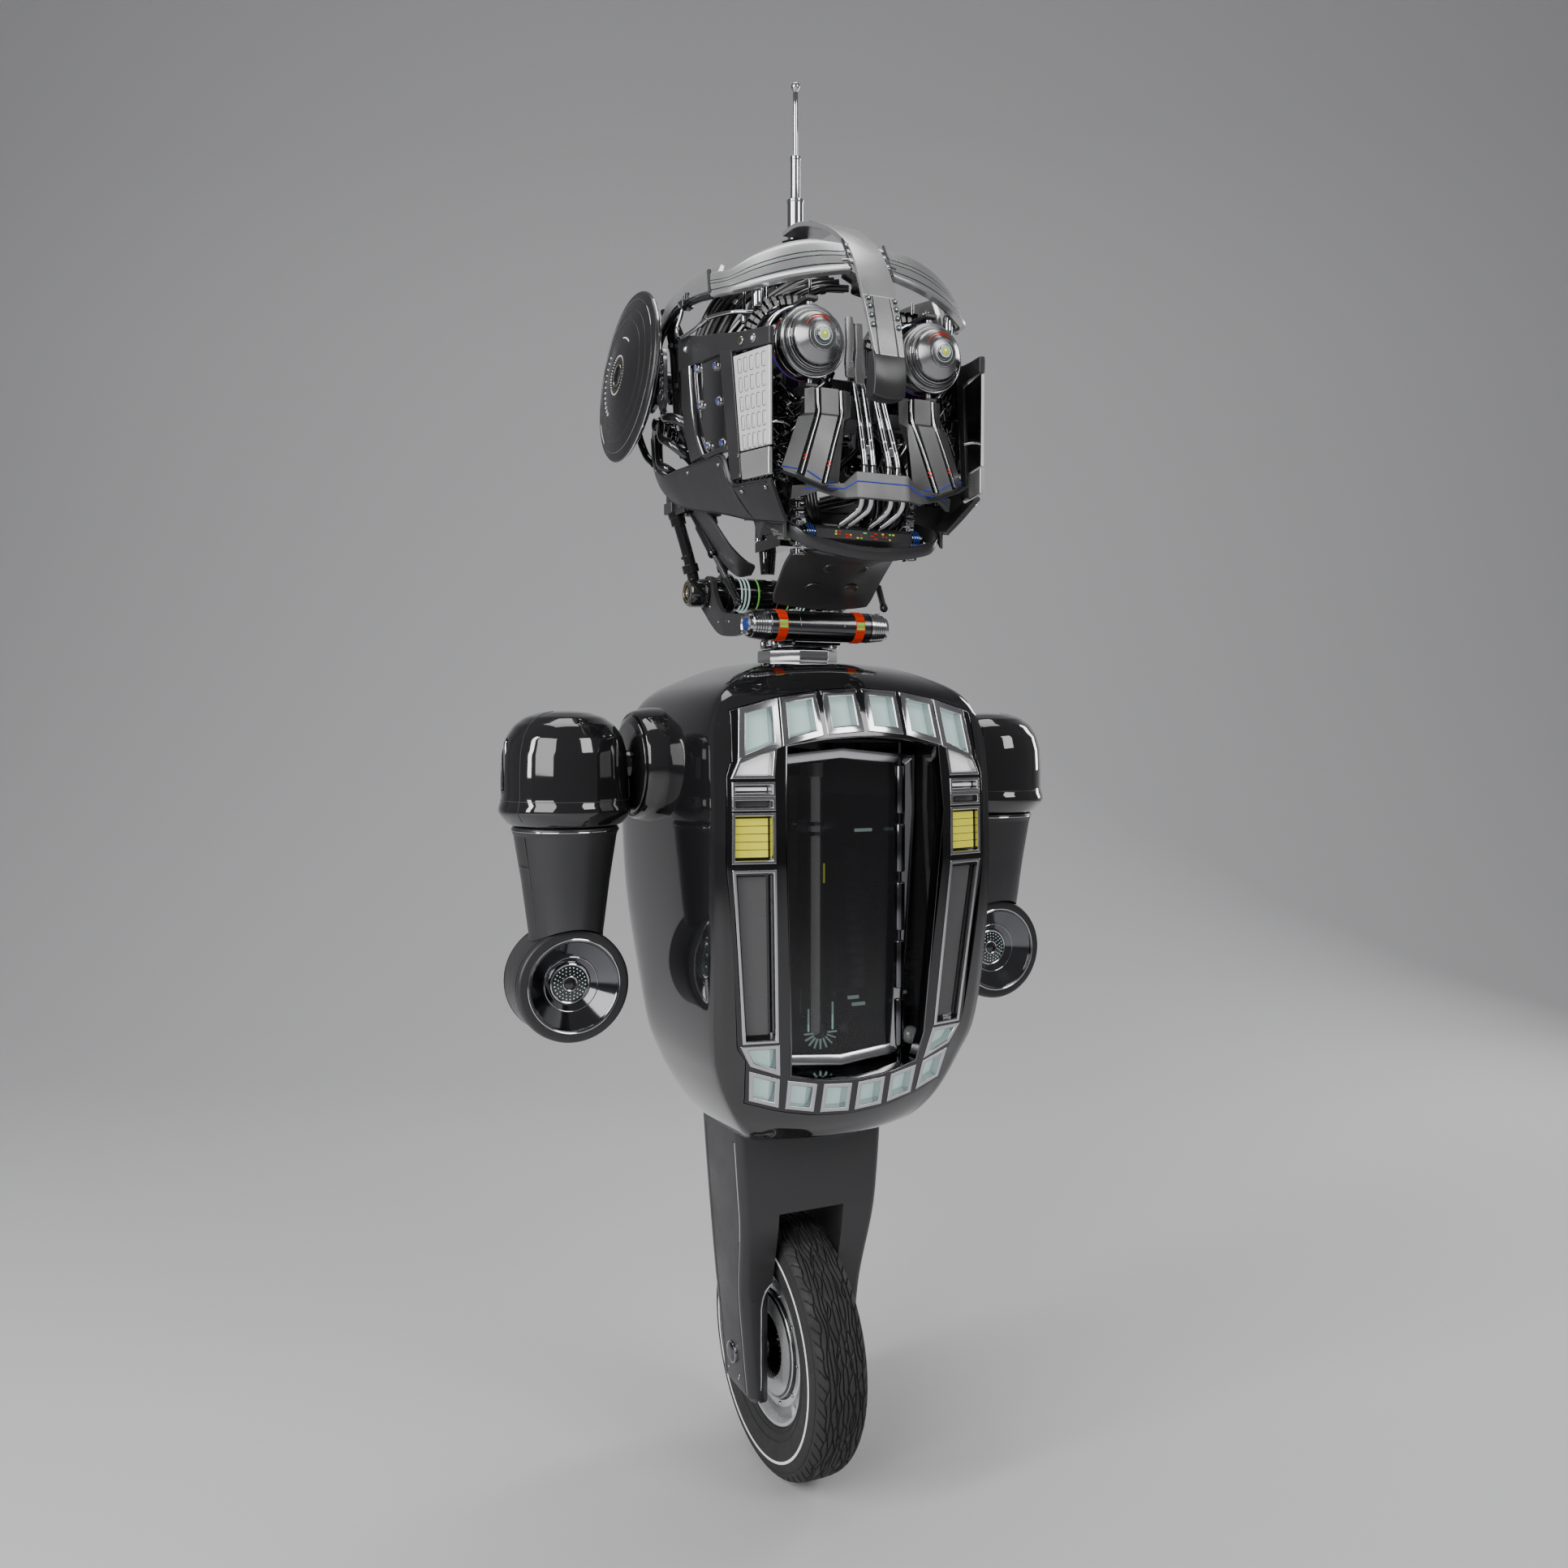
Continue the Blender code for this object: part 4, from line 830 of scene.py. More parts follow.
def build_bezel():
    cells = TOP_CELLS + LOW_CELLS + SIDE_CELLS
    bezel = front_plate(cells + CHEST_CELLS, -0.8, 9)
    piece("bezel_plate", bezel, BEZEL, "torso", ["window_bezel"], bevel=0.9)
    frames = [picture_frame(cell_outline(cell), frame_section(FRAME_WIDTHS.get(cell[0], 1.5)), front_y)
              for cell in cells]
    piece("window_frames", merge(*frames), STEEL, "torso", bevel=0.3)

    chest = [grid_point(3, column) for column in range(3, 11)]
    chest += [grid_point(9, 10), grid_point(13, 10)]
    chest += [grid_point(14, column) for column in range(10, 2, -1)]
    chest += [grid_point(13, 3), grid_point(9, 3)]
    rim = [(-1.2, 0), (-1.2, -1.6), (-0.4, -2.2), (0.2, -1.2), (0.2, 9), (-1.2, 9)]
    piece("recess_rim", picture_frame(chest, rim, front_y), DARK_CHROME, "torso", bevel=0.3)

    cyan, white, yellow, dark, grey = [], [], [], [], []
    for cell in cells:
        outline = inset(cell_outline(cell), 1.6)
        if cell[0] in (1, 13, 15):
            cyan.append(pane(outline, 7.6, 1.6, front_y))
        elif cell[0] == 3:
            white.append(pane(outline, 4.0, 2.6, front_y))
        elif cell[0] == 5:
            dark.append(pane(outline, 6.4, 1.6, front_y))
            white.append(pane(inset(outline, 1.2), 4.2, 2, front_y))
        elif cell[0] == 7:
            grey.append(pane(outline, 4.4, 1.6, front_y))
        elif cell[0] == 9:
            yellow += grille_bars(inset(outline, 1.2))
            dark.append(pane(outline, 4.4, 2.6, front_y))
        else:
            dark.append(pane(outline, 7.2, 1.6, front_y))
            grey.append(pane(inset(outline, 2.4), 5.6, 1.6, front_y))
    piece("window_panes", merge(*cyan), CYAN, "torso", ["light_guide"], bevel=0.3)
    piece("white_panes", merge(*white), WHITE, "torso", bevel=0.3)
    piece("yellow_grilles", merge(*yellow), YELLOW, "torso", bevel=0.15)
    piece("dark_panes", merge(*dark), GLOSS, "torso", bevel=0.3)
    piece("grey_panes", merge(*grey), SOFT_GREY, "torso", bevel=0.3)


def grille_bars(outline):
    """Five level bars that fill a four-cornered outline."""
    top_a, top_b, low_b, low_a = [Vector(p) for p in outline]
    bars = []
    for k in range(5):
        up, down = k / 5 + 0.008, (k + 1) / 5 - 0.012
        corners = [top_a.lerp(low_a, up), top_b.lerp(low_b, up), top_b.lerp(low_b, down),
                   top_a.lerp(low_a, down)]
        bars.append(pane([tuple(p) for p in corners], 3.2, 2.4, front_y))
    return bars


# ---------------------------------------------------------------- chest bay

# The door's outline in x and z, and the back wall of the bay behind it
BAY_BACK = -33.2
DOOR = [(-52, 371), (0, 366), (52, 371), (65, 560), (65, 606), (0, 612), (-65, 606), (-65, 560)]


def door_y(x, z):
    """The door is flat, so every place on it has its hinge's depth."""
    return DOOR_HINGE.y


def build_chest():
    frame["nodes"]["chest_liner"].data.materials[0] = GLOSS
    edge = [(0, 2.4), (0, -1.6), (0.8, -2.4), (3.4, -2.4), (9, 0.6), (9, 1.6), (7, 2.4)]
    glass_pane = pane(inset(DOOR, 8.2), -0.9, 1.9, door_y)
    piece("door_glass", glass_pane, SMOKED, "door", ["chest_door"], bevel=0.3)
    piece("door_frame", picture_frame(DOOR, edge, door_y), STEEL, "door", bevel=0.5)
    lip = [(8.4, 0), (9, -0.7), (9.6, 0), (9, 0.7)]
    piece("door_frame_trim", picture_frame(DOOR, lip, door_y), GLOSS, "door")
    x, y, z = DOOR_HINGE
    knuckles = []
    for k in range(5):
        low = 376 + k * 46
        knuckles.append(rod(4.5, low, low + 38, "Z", (x, y, 0), 32, edge=1.2))
    pin = rod(2, 361, 617.5, "Z", (x, y, 0), 24)
    piece("door_hinge_knuckles", merge(*knuckles, pin), DARK_CHROME, "door")

    tube_y = -53
    glass_tube = rounded([(0, 374), (7.2, 374), (8, 376), (8, 384), (5, 392), (5, 540), (5, 602),
                          (3.5, 608), (0, 609)], 3)
    piece("sight_glass", lathe(glass_tube, "Z", (0, tube_y, 0), 48), CLEAR, "torso",
          ["sight_tube"])
    # Painted highlight: the rod inside the sight glass is white with a slight glow and the cap is bright
    # white, so the tube shows a bright highlight.
    stem = rounded([(0, 380), (3.6, 382), (3.6, 590), (0, 593)], 1.5)
    piece("sight_rod", lathe(stem, "Z", (0, tube_y, 0), 32), STRIPE, "torso")
    tip = rounded([(5.1, 588), (6, 588), (6, 602), (4.4, 609.6), (0, 610.6), (0, 604), (5.1, 600)], 1,
                  closed=True)
    piece("sight_cap", lathe(tip, "Z", (0, tube_y, 0), 40), BRIGHT, "torso")
    bands = [lathe(washer(5.1, 7.2, z, z + 3.4, 0.6), "Z",
                   (0, tube_y, 0), 40) for z in (541, 549)]
    arm = block((-3.6, 3.6), (-47, -33.5), (543.5, 550.5))
    studs = [bolt((sx, -40.5, 547), (0, -1, 0), 2.2, 5) for sx in (-11, 11, 18)]
    rail = block((-14, 21), (-36, BAY_BACK), (542, 552))
    piece("sight_clamp", merge(*bands, arm, rail, *studs), CHROME, "torso", bevel=0.4)
    lights = []
    for k in range(9):
        turn = math.pi * (1 + k / 8)
        ux, uz = math.cos(turn), math.sin(turn)
        bar = turned(block((-0.55, 0.55), (-0.7, 0.7), (-4, 4)), math.pi / 2 - turn, "Y")
        lights.append(moved(bar, 10.5 * ux, -62.2, 384 + 9 * uz))
    for side, height in ((1, 408), (-1, 404), (1, 398), (-1, 392)):
        lights.append(block((side * 10.8 - 0.5, side * 10.8 + 0.5), (-63, -61.6), (386, height)))
    marks = [((34, 48), 596), ((30, 44), 590), ((46, 62), 541), ((40, 50), 402), ((44, 56), 396),
             ((-60, -50), 380)]
    lights += [block(span, (-34.6, BAY_BACK), (height, height + 2.6)) for span, height in marks]
    piece("bay_lights", merge(*lights), CYAN, "torso")
    sparks = [block((17, 18.2), (-34.4, BAY_BACK), (500, 516)),
              block((-30, -29), (-34.4, BAY_BACK), (520, 526))]
    piece("bay_marks", merge(*sparks), YELLOW, "torso")
    modules = [
        block((-60, -26), (-44, BAY_BACK), (560, 604)), block((26, 62), (-41, BAY_BACK), (560, 608)),
        block((-58, -22), (-40, BAY_BACK), (392, 520)), block((24, 60), (-43, BAY_BACK), (412, 530)),
        block((-50, 50), (-39, BAY_BACK), (368, 386)),
    ]
    fins = [block((28, 56), (-46, -43), (z, z + 3)) for z in range(420, 524, 9)]
    fins += [block((-54, -26), (-43, -40), (z, z + 3)) for z in range(400, 512, 9)]
    piece("bay_modules", merge(*modules, *fins), DARK_CHROME, "torso", bevel=0.8)
    boss = rounded([(0, -104.5), (4, -104.2), (6.8, -101), (7.4, -97), (5, -93), (0, -93)], 1.5)
    piece("recess_boss", lathe(boss, "Y", (61.5, 0, 384), 48), CLEAR, "torso")


def build_inside():
    frame["nodes"]["battery_pack"].data.materials[0] = BATTERY
    frame["nodes"]["control_board"].data.materials[0] = BOARD


# ---------------------------------------------------------------- arms

def build_shoulder_shaft():
    half = [
        (12, 152), (12, 142), (33, 142), (37.6, 140.4), (38, 138), (36.4, 136.4), (34, 136.2), (34, 135.4),
        (38, 135), (38.4, 133.4), (36, 132.4), (33, 132), (33, 120), (14, 119),
    ]
    half = rounded(half, 0.7)
    profile = [(0, 152)] + half + [(r, -x) for r, x in reversed(half)] + [(0, -152)]
    shaft = lathe(profile, "X", (0, SHOULDER.y, SHOULDER.z), 96)
    piece("shoulder_boots", shaft, GLOSS, "torso", ["shoulder_shaft"])


def build_arm(side, name):
    x, y = SHOULDER.x, SHOULDER.y
    low, high = cad_mm("shoulder_cap_left")
    top, base = high.z, low.z
    dome = [(0, top), (10, top - 0.3), (20, top - 1.6), (30, top - 5), (38, top - 11), (44, top - 20),
            (47.2, top - 32), (48.2, top - 50), (48.3, top - 64), (48.5, top - 68), (50.4, top - 73),
            (50.4, top - 77), (47.5, base + 6), (43, base + 1), (40.5, base), (0, base)]
    slot = []
    for z in (583, 614):
        for k in range(9):
            turn = math.pi * k / 8 + (math.pi if z == 583 else 0)
            slot.append((y + 5.4 * math.cos(turn), z + 5.4 * math.sin(turn)))
    slot_cut = prism(slot, "X", x + 42.5, x + 60)
    cap = mirror(lathe(rounded(dome, 2.2), "Z", (x, y, 0), 112), side)
    body = f"upper_arm_{name}"
    piece(f"shoulder_dome_{name}", cap, GLOSS, body, [f"shoulder_cap_{name}"], sharp=30,
          cuts=[mirror(slot_cut, side)])
    insert = [(y + 0.62 * (py - y), 598.5 + 0.9 * (pz - 598.5)) for py, pz in slot]
    piece(f"shoulder_insert_{name}", mirror(prism(insert, "X", x + 42, x + 46.6), side), CHROME, body,
          bevel=1.2)
    meridian = [(r + 0.05, z) for r, z in rounded(dome, 2.2) if r > 12 and z > base + 3]
    seams = [tube([(x + r * math.cos(a), y + r * math.sin(a), z) for r, z in meridian], 0.3, 6, 1)
             for a in (-0.55, 0.9)]
    seams.append(ring_tube((x, y, base + 19.4), 48.35, 0.35, "Z", 96))
    piece(f"shoulder_seams_{name}", mirror(merge(*seams), side), SATIN, body)

    body = f"forearm_{name}"
    elbow = ELBOW.z
    cone = [(0, elbow + 22), (10, elbow + 22), (10, elbow - 0.6), (39.5, elbow - 0.6), (40.8, elbow - 2.5),
            (40.2, elbow - 5), (39.2, elbow - 7), (33.5, 510), (28.4, 470), (28, 452), (0, 452)]
    saddle = rod(DRUM_R + 0.4, -60, 60, "Y", (x, 0, HAND_Z), 96)
    piece(f"forearm_cone_{name}", mirror(lathe(rounded(cone, 1.2), "Z", (x, y, 0), 96), side), FORK_BLACK,
          body, [f"forearm_{name}"], sharp=35, cuts=[mirror(saddle, side)])
    run = ((39.4, elbow - 8), (33.6, 510), (29.2, 476.5))
    seams = [tube([(x + r * math.cos(a), y + r * math.sin(a), z) for r, z in run], 0.35, 6)
             for a in (-0.42, 0.42)]
    for z in (elbow - 30, elbow - 31.6):
        r = 39.4 - (elbow - 8 - z) * 0.1683
        seams.append(tube([(x + r * math.cos(a), y + r * math.sin(a), z) for a in
                           [-0.42 + 0.84 * k / 8 for k in range(9)]], 0.35, 6, 1))
    collar = ring_tube((x, y, elbow - 3.6), 40.6, 0.5, "Z", 96)
    piece(f"forearm_seams_{name}", mirror(merge(*seams), side), GLOSS, body)
    piece(f"forearm_collar_{name}", mirror(collar, side), CHROME, body)
    build_hand(side, name, x, body)


def build_hand(side, name, x, body):
    back, front = HAND_HIGH.y, HAND_LOW.y
    drum = [(0, back), (38, back), (41, back - 0.8), (DRUM_R, back - 4), (DRUM_R, front + 2.5),
            (DRUM_R - 1.2, front + 0.4), (DRUM_R - 2.6, front), (36.4, front), (35.4, front + 0.8),
            (35.2, front + 3), (15.5, front + 19), (0, front + 19)]
    centre = (x, 0, HAND_Z)
    piece(f"hand_case_{name}", mirror(lathe(rounded(drum, 1), "Y", centre, 128), side), FORK_BLACK, body,
          [f"hand_drum_{name}"], sharp=32)
    cone = [(0, front + 18.6), (13, front + 18.6), (34.8, front + 2.4), (35, front - 0.3),
            (34.2, front - 0.5), (33.4, front + 0.6), (24, front + 7.2), (15.4, front + 13.4),
            (14.4, front + 14), (0, front + 14)]
    piece(f"hand_reflector_{name}", mirror(lathe(rounded(cone, 0.6), "Y", centre, 128), side), DARK_CHROME,
          body, [f"hand_lamp_{name}"], sharp=32)
    rims = [ring_tube((x, front + reach, HAND_Z), radius, wire, "Y", 96) for reach, radius, wire in (
        (0.1, 35.6, 0.8), (12.6, 14.8, 1.0), (11.6, 5.4, 0.6), (9, 20.8, 0.3))]
    piece(f"hand_rings_{name}", mirror(merge(*rims), side), CHROME, body)
    core = [(0, front + 14.5), (14, front + 14.5), (14, front + 12.8), (8, front + 12.2), (5.5, front + 12),
            (4.4, front + 12.6), (2.6, front + 12), (0, front + 11.6)]
    piece(f"hand_core_{name}", mirror(lathe(rounded(core, 0.4), "Y", centre, 64), side), GLOSS, body)
    dots = []
    for radius, count, half, depth in ((12.2, 26, 0.42, 12.4), (9.7, 20, 0.36, 12.1), (7.4, 14, 0.3, 11.9)):
        dot = block((x - half, x + half), (front + depth - 0.3, front + depth + 0.6),
                    (HAND_Z + radius - half, HAND_Z + radius + half))
        dots.append(around(dot, count, "Y", centre))
    piece(f"hand_dots_{name}", mirror(merge(*dots), side), CYAN, body)
    ribs = [ring_tube((x, y, HAND_Z), DRUM_R + 0.05, 0.3, "Y", 96) for y in (front + 6, back - 6)]
    piece(f"hand_seams_{name}", mirror(merge(*ribs), side), GLOSS, body)


# ---------------------------------------------------------------- neck

def polygon(radius, sides, centre, offset=0.0):
    turns = [2 * math.pi * (k + offset) / sides for k in range(sides)]
    return [(centre[0] + radius * math.cos(t), centre[1] + radius * math.sin(t)) for t in turns]


def banded(centre, axis, bands, segments=64):
    """Rings side by side on one axis: each is (low, high, inner radius, outer radius)."""
    made = []
    for low, high, inner, outer in bands:
        edge = min(0.5, (high - low) * 0.25)
        section = rounded([(inner, low), (outer, low), (outer, high), (inner, high)], edge, 2, closed=True)
        made.append(lathe(section, axis, centre, segments))
    return merge(*made)


def build_neck_base():
    spot = (0, NECK.y)
    low, high = cad_mm("neck_collar")
    bore = rod(12.4, 670, 700, "Z", (0, NECK.y, 0), 48)
    collar = loft([
        [(x, y, z) for x, y in polygon(radius, 8, spot, 0.5)]
        for radius, z in ((32, low.z), (32.6, low.z + 1), (32.6, high.z - 3.6), (31, high.z - 2.2))
    ])
    piece("collar_octagon", collar, STEEL, "torso", ["neck_collar"], bevel=0.4, cuts=[bore])

    base = high.z + 0.4
    ring = prism(polygon(24, 6, spot), "Z", base - 2.2, base + 6.6)
    drive = rod(12.6, -60, 60, "X", (0, FRONT_AXIS.y, FRONT_AXIS.z), 48)
    y = FRONT_AXIS.y
    side = [(NECK.y + 8, base + 6), (NECK.y + 8, 709), (NECK.y + 5, 712), (y + 4, 712), (y, 707),
            (y - 4, base + 2), (y - 2, base), (y + 8, base)]
    cradle = prism(side, "X", -20, 20)
    ribs = [prism(side[:2] + [(NECK.y + 5, 713), (y + 13, 713), (y + 13, base)], "X", x - 1.2, x + 1.2)
            for x in (-21, -7, 7, 21)]
    spindle = rod(12, 664, 696, "Z", (0, NECK.y, 0), 40)
    piece("turntable_hexagon", ring, STEEL, "neck_turret", ["neck_turntable"], bevel=0.7,
          cuts=[drive])
    piece("turntable_spindle", spindle, CHROME, "neck_turret")
    piece("turntable_cradle", cradle, GUNMETAL, "neck_turret", bevel=0.8, cuts=[drive])
    piece("turntable_ribs", merge(*ribs), DARK_CHROME, "neck_turret", bevel=0.3,
          cuts=[drive])
    halo = washer(22, 30.5, base - 1.6, base + 0.2, 0.5)
    posts = []
    for degrees in (0, 58, 122, 180, -28, -152, 90):
        turn = math.radians(degrees)
        at = (30.4 * math.cos(turn), NECK.y + 30.4 * math.sin(turn), base - 2)
        post = lathe(rounded([(0, 9), (2, 9), (2, 6), (2.8, 5.4), (2.8, 2), (2, 1.6), (2, 0), (0, 0)], 0.3),
                     "Z", at, 24)
        posts.append(post)
    piece("turntable_halo", lathe(halo, "Z", (0, NECK.y, 0), 96), DARK_CHROME, "neck_turret")
    piece("turntable_posts", merge(*posts), CHROME, "neck_turret")


def build_front_cylinder():
    y, z = FRONT_AXIS.y, FRONT_AXIS.z
    at = (0, y, z)
    half = [(6, 59.5), (6, 44), (11.4, 44), (12, 43.4), (12, 37.6), (11.5, 37.2), (11.5, 30.4), (12, 30),
            (12, 19.4), (11.8, 19.2), (12, 19)]
    profile = [(0, 59.5)] + half + [(r, -x) for r, x in reversed(half)] + [(0, -59.5)]
    piece("front_cylinder", lathe(profile, "X", at, 96), GUNMETAL, "neck_turret",
          ["neck_pitch_drive"], sharp=20)
    blocks, lamps = [], []
    for x in (-33.8, 33.8):
        for k in range(16):
            turn = 2 * math.pi * (k + 0.5) / 16
            if k in (11, 12):
                continue  # the lamp's place
            cell = block((x - 4, x + 4), (-2.15, 2.15), (10.9, 12.35))
            blocks.append(turned(cell, turn, "X"))
        lamps.append(block((x - 3.6, x + 3.6), (-12.4, -11), (-2.6, 3.4)))
    blocks = [moved(shape, 0, y, z) for shape in blocks + lamps]
    piece("front_cylinder_bands", merge(*blocks[:-2]), RED, "neck_turret", bevel=0.3)
    piece("front_cylinder_lamps", merge(*blocks[-2:]), GREEN, "neck_turret", bevel=0.5)
    # Painted highlight: the tabs are bright white where chrome on the cylinder's top would catch the light.
    # The pads share their white finish.
    highlight_tabs = [prism([(x - 3.6, z + 10.6), (x + 3.6, z + 10.6), (x + 2.4, z + 13.2), (x - 2.4, z + 13.2)], "Y",
                  y + 1, y + 7)  for x in (-18, 18)]
    pads = [block((x - 2, x + 2), (y - 1.5, y + 1.5), (z + 11.4, z + 12.8)) for x in (-3, 8)]
    piece("front_cylinder_highlight_tabs", merge(*highlight_tabs, *pads), BRIGHT, "neck_turret", bevel=0.3)

    cap = [(0, 44.5), (12, 44.5), (12, 45.4)]
    for k in range(6):
        x = 46 + 2.1 * k
        cap += [(12 - 0.25 * k, x), (12 - 0.25 * k, x + 1.2), (10.9 - 0.25 * k, x + 1.5),
                (10.9 - 0.25 * k, x + 1.9)]
    cap += [(9.6, 59.4), (9.2, 61), (7.6, 62), (6.6, 61), (0, 61)]
    hole = rod(6.4, 40, 60, "X", at, 32)
    piece("link_end_caps", both(lathe(cap, "X", at, 72)), STEEL, "neck_link",
          ["neck_link"], sharp=25, cuts=[hole, mirror(hole, -1)])
    core = lathe([(0, 61.9), (4.4, 61.9), (5, 61), (5, 60.4), (0, 60.4)], "X", at, 32)
    piece("link_cap_cores", both(core), BLUE, "neck_link")
    pins = around(block((59, 61.2), (y - 0.5, y + 0.5), (z + 6.8, z + 8.6)), 10, "X", at)
    piece("link_cap_marks", both(pins), DARK_CHROME, "neck_link")


def build_neck_link():
    y, z = FRONT_AXIS.y, FRONT_AXIS.z
    back = (0, REAR_AXIS.y, REAR_AXIS.z)
    outline = [
        (y - 3, z + 11), (y + 12, z + 9), (-18, 718), (4, 722), (18, 736), (24, 749), (36, 753),
        (50, 745), (51, 731), (40, 722), (26, 712), (8, 703), (-18, 700), (y + 10, z - 6), (y - 3, z - 10),
    ]
    edge = [(p.x, p.y) for p in smooth([(a, b, 0) for a, b in outline], 4, closed=True)]
    seat = rod(11.6, 50, 60, "X", (0, y, z), 48)
    rear = rod(6.4, 40, 70, "X", back, 32)
    piece("link_plates", both(prism(edge, "X", 53.2, 57)), FORK_BLACK, "neck_link",
          bevel=0.8, cuts=[seat, mirror(seat, -1), rear, mirror(rear, -1)])
    tie = rod(4, -56, 56, "X", (0, -4, 716), 32, edge=0.5)
    collars = banded((0, -4, 716), "X", [(-53, -47, 0.1, 5.4), (47, 53, 0.1, 5.4), (-3, 3, 0.1, 5)], 32)
    piece("link_tie", merge(tie, collars), DARK_CHROME, "neck_link")
    spots = [(-38, 713), (-38, 701.5), (-12, 712), (10, 713), (28, 727), (44, 729), (44, 745), (29, 748)]
    screws = [bolt((57, py, pz), (1, 0, 0), 1.3, 0.8) for py, pz in spots]
    slots = [prism([(py - 5, pz - 1), (py + 5, pz - 1), (py + 5, pz + 1), (py - 5, pz + 1)], "X", 57, 57.4)
             for py, pz in ((-25, 708), (-2, 713))]
    piece("link_screws", both(*screws), CHROME, "neck_link")
    piece("link_slots", both(*slots), GLOSS, "neck_link", bevel=0.2)

    half = [(6, 71), (6, 52.6), (12.6, 52.6), (14, 51), (14, 47.4), (13, 47), (13, 45), (14, 44.6),
            (14, 34.6), (13.5, 34.4), (14, 34.2), (14, 4), (13.4, 3.6), (13.4, 2)]
    profile = [(0, 71)] + half + [(r, -x) for r, x in reversed(half)] + [(0, -71)]
    piece("rear_cylinder", lathe(profile, "X", back, 96), GLOSS, "neck_link",
          ["head_pitch_drive"], sharp=20)
    pale = [(x, x + 1.7, 13.6, 14.25) for x in (22.2, 25.6, 29)]
    piece("rear_cylinder_rings", both(banded(back, "X", pale)), CYAN, "neck_link")
    piece("rear_cylinder_green", both(banded(back, "X", [(13.4, 14.9, 13.6, 14.25)])), GREEN, "neck_link")
    vents = around(block((36, 43), (back[1] - 0.5, back[1] + 0.5), (back[2] + 13.7, back[2] + 14.3)), 24,
                   "X", back)
    piece("rear_cylinder_vents", both(vents), DARK_CHROME, "neck_link")


def sleeves(start, end, rows):
    """Thicker lengths on a straight rod: each is (place along it, radius, length)."""
    along = (end - start).normalized()
    middles = [(start.lerp(end, t), radius, length) for t, radius, length in rows]
    return [tube([middle - along * length / 2, middle + along * length / 2], radius, 24)
            for middle, radius, length in middles]


def build_struts():
    y, z = REAR_AXIS.y, REAR_AXIS.z
    at = (0, y, z)
    hub = [(6.5, 57.6), (11.4, 57.6), (12, 58.2), (12, 60.4), (11, 60.8), (11, 62.2), (12, 62.6), (12, 71),
           (10.6, 73), (9, 73.5), (8.2, 72.8), (6.5, 72.8)]
    cap = rod(6.6, 71.7, 72.6, "X", at, 40)
    ring = washer(14.4, 17.4, 36, 43, 0.8)
    shapes = [lathe(hub, "X", at, 72), lathe(ring, "X", at, 72), cap]
    outer = Vector((67, y, z + 8)), Vector((83, 40, 806))
    inner = Vector((39.5, y + 1, z + 15.6)), Vector((52, 41, 806))
    shapes.append(tube([outer[0], (72.7, y, z + 31), outer[1]], 4.9, 20, 4))
    shapes.append(tube(inner, 3.7, 20))
    shapes += sleeves(*outer, ((0.2, 6.9, 7), (0.36, 5.7, 2.5), (0.86, 6.4, 8), (0.94, 7, 5)))
    shapes += sleeves(*inner, ((0.12, 5, 6), (0.88, 5.2, 7)))
    piece("head_struts", both(*shapes), GLOSS, "head",
          ["head_strut_left", "head_strut_right"], bevel=0.3)
    bracket = block((45, 90), (31, 49), (803, 812.4))
    ears = [block((74, 76.5), (12, 32), (801, 812)), block((84, 86.5), (12, 32), (801, 812))]
    piece("strut_brackets", both(bracket, *ears), FORK_BLACK, "head", bevel=1)
    pins = [rod(2.6, 72.8, 88, "X", (0, 20, 808), 24, edge=0.4),
            banded(at, "X", [(73, 73.9, 8.8, 9.9)], 64), bolt((73, y, z), (1, 0, 0), 4, 0.5)]
    piece("strut_pins", both(*pins), CHROME, "head")
    piece("strut_hub_rings", both(banded(at, "X", [(72.8, 73.5, 6, 8.2)], 64)), BRASS, "head")
    dots = [turned(block((63 + 2.4 * k, 64.4 + 2.4 * k), (y - 1, y + 1), (z + 11.8, z + 12.4)),
                   -0.6 - 0.4 * k, "X", at)  for k in range(3)]
    piece("strut_hub_marks", both(*dots), RED, "head")


def build_gas_spring(side, name):
    top = Vector((80, 20, 808))
    low = Vector((64.5, FRONT_AXIS.y + 4, FRONT_AXIS.z + 15))
    along = (low - top).normalized()

    def sleeve_at(reach):
        return top + along * reach

    stages = [(3, 1.6), (8, 2.2), (25, 2.2), (26, 3.4), (56, 3.6), (58, 3.4)]
    rings = []
    across = along.orthogonal().normalized()
    up = along.cross(across)
    for reach, radius in stages:
        turns = [2 * math.pi * k / 24 for k in range(24)]
        rings.append([sleeve_at(reach) + (across * math.cos(t) + up * math.sin(t)) * radius for t in turns])
    ball = lathe([(2.8, -3.8), (3.8, -2.6), (4.4, 0), (3.8, 2.6), (2.8, 3.8)], "X", top, 24)
    body = f"gas_sleeve_{name}"
    bore = tube([sleeve_at(12), sleeve_at(80)], 2.05, 20)
    piece(f"spring_sleeve_{name}", mirror(loft(rings), side), GLOSS, body, [body],
          cuts=[mirror(bore, side)])
    piece(f"spring_eye_{name}", mirror(ball, side), DARK_CHROME, body)
    bead = lathe([(2.2, 0), (4.1, 0.3), (4.3, 1.8), (4.1, 3.3), (2.2, 3.6)], "Z", (0, 0, 0), 24)
    piece(f"spring_wiper_{name}", mirror(aimed(bead, sleeve_at(54), along), side), DARK_CHROME, body)
    body = f"gas_rod_{name}"
    piece(f"spring_rod_{name}", mirror(tube([sleeve_at(30), low], 1.6, 16), side), CHROME, body,
          [body])
    lower = [(1.5, 0), (2.7, 0.6), (2.7, 22), (3.3, 23), (3.3, 26), (2.2, 27.5), (1.5, 27.5)]
    length = (low - top).length
    foot = aimed(lathe(lower, "Z", (0, 0, 0), 24), sleeve_at(length - 28), along)
    piece(f"spring_foot_{name}", mirror(foot, side), GLOSS, body)


# ---------------------------------------------------------------- head frame

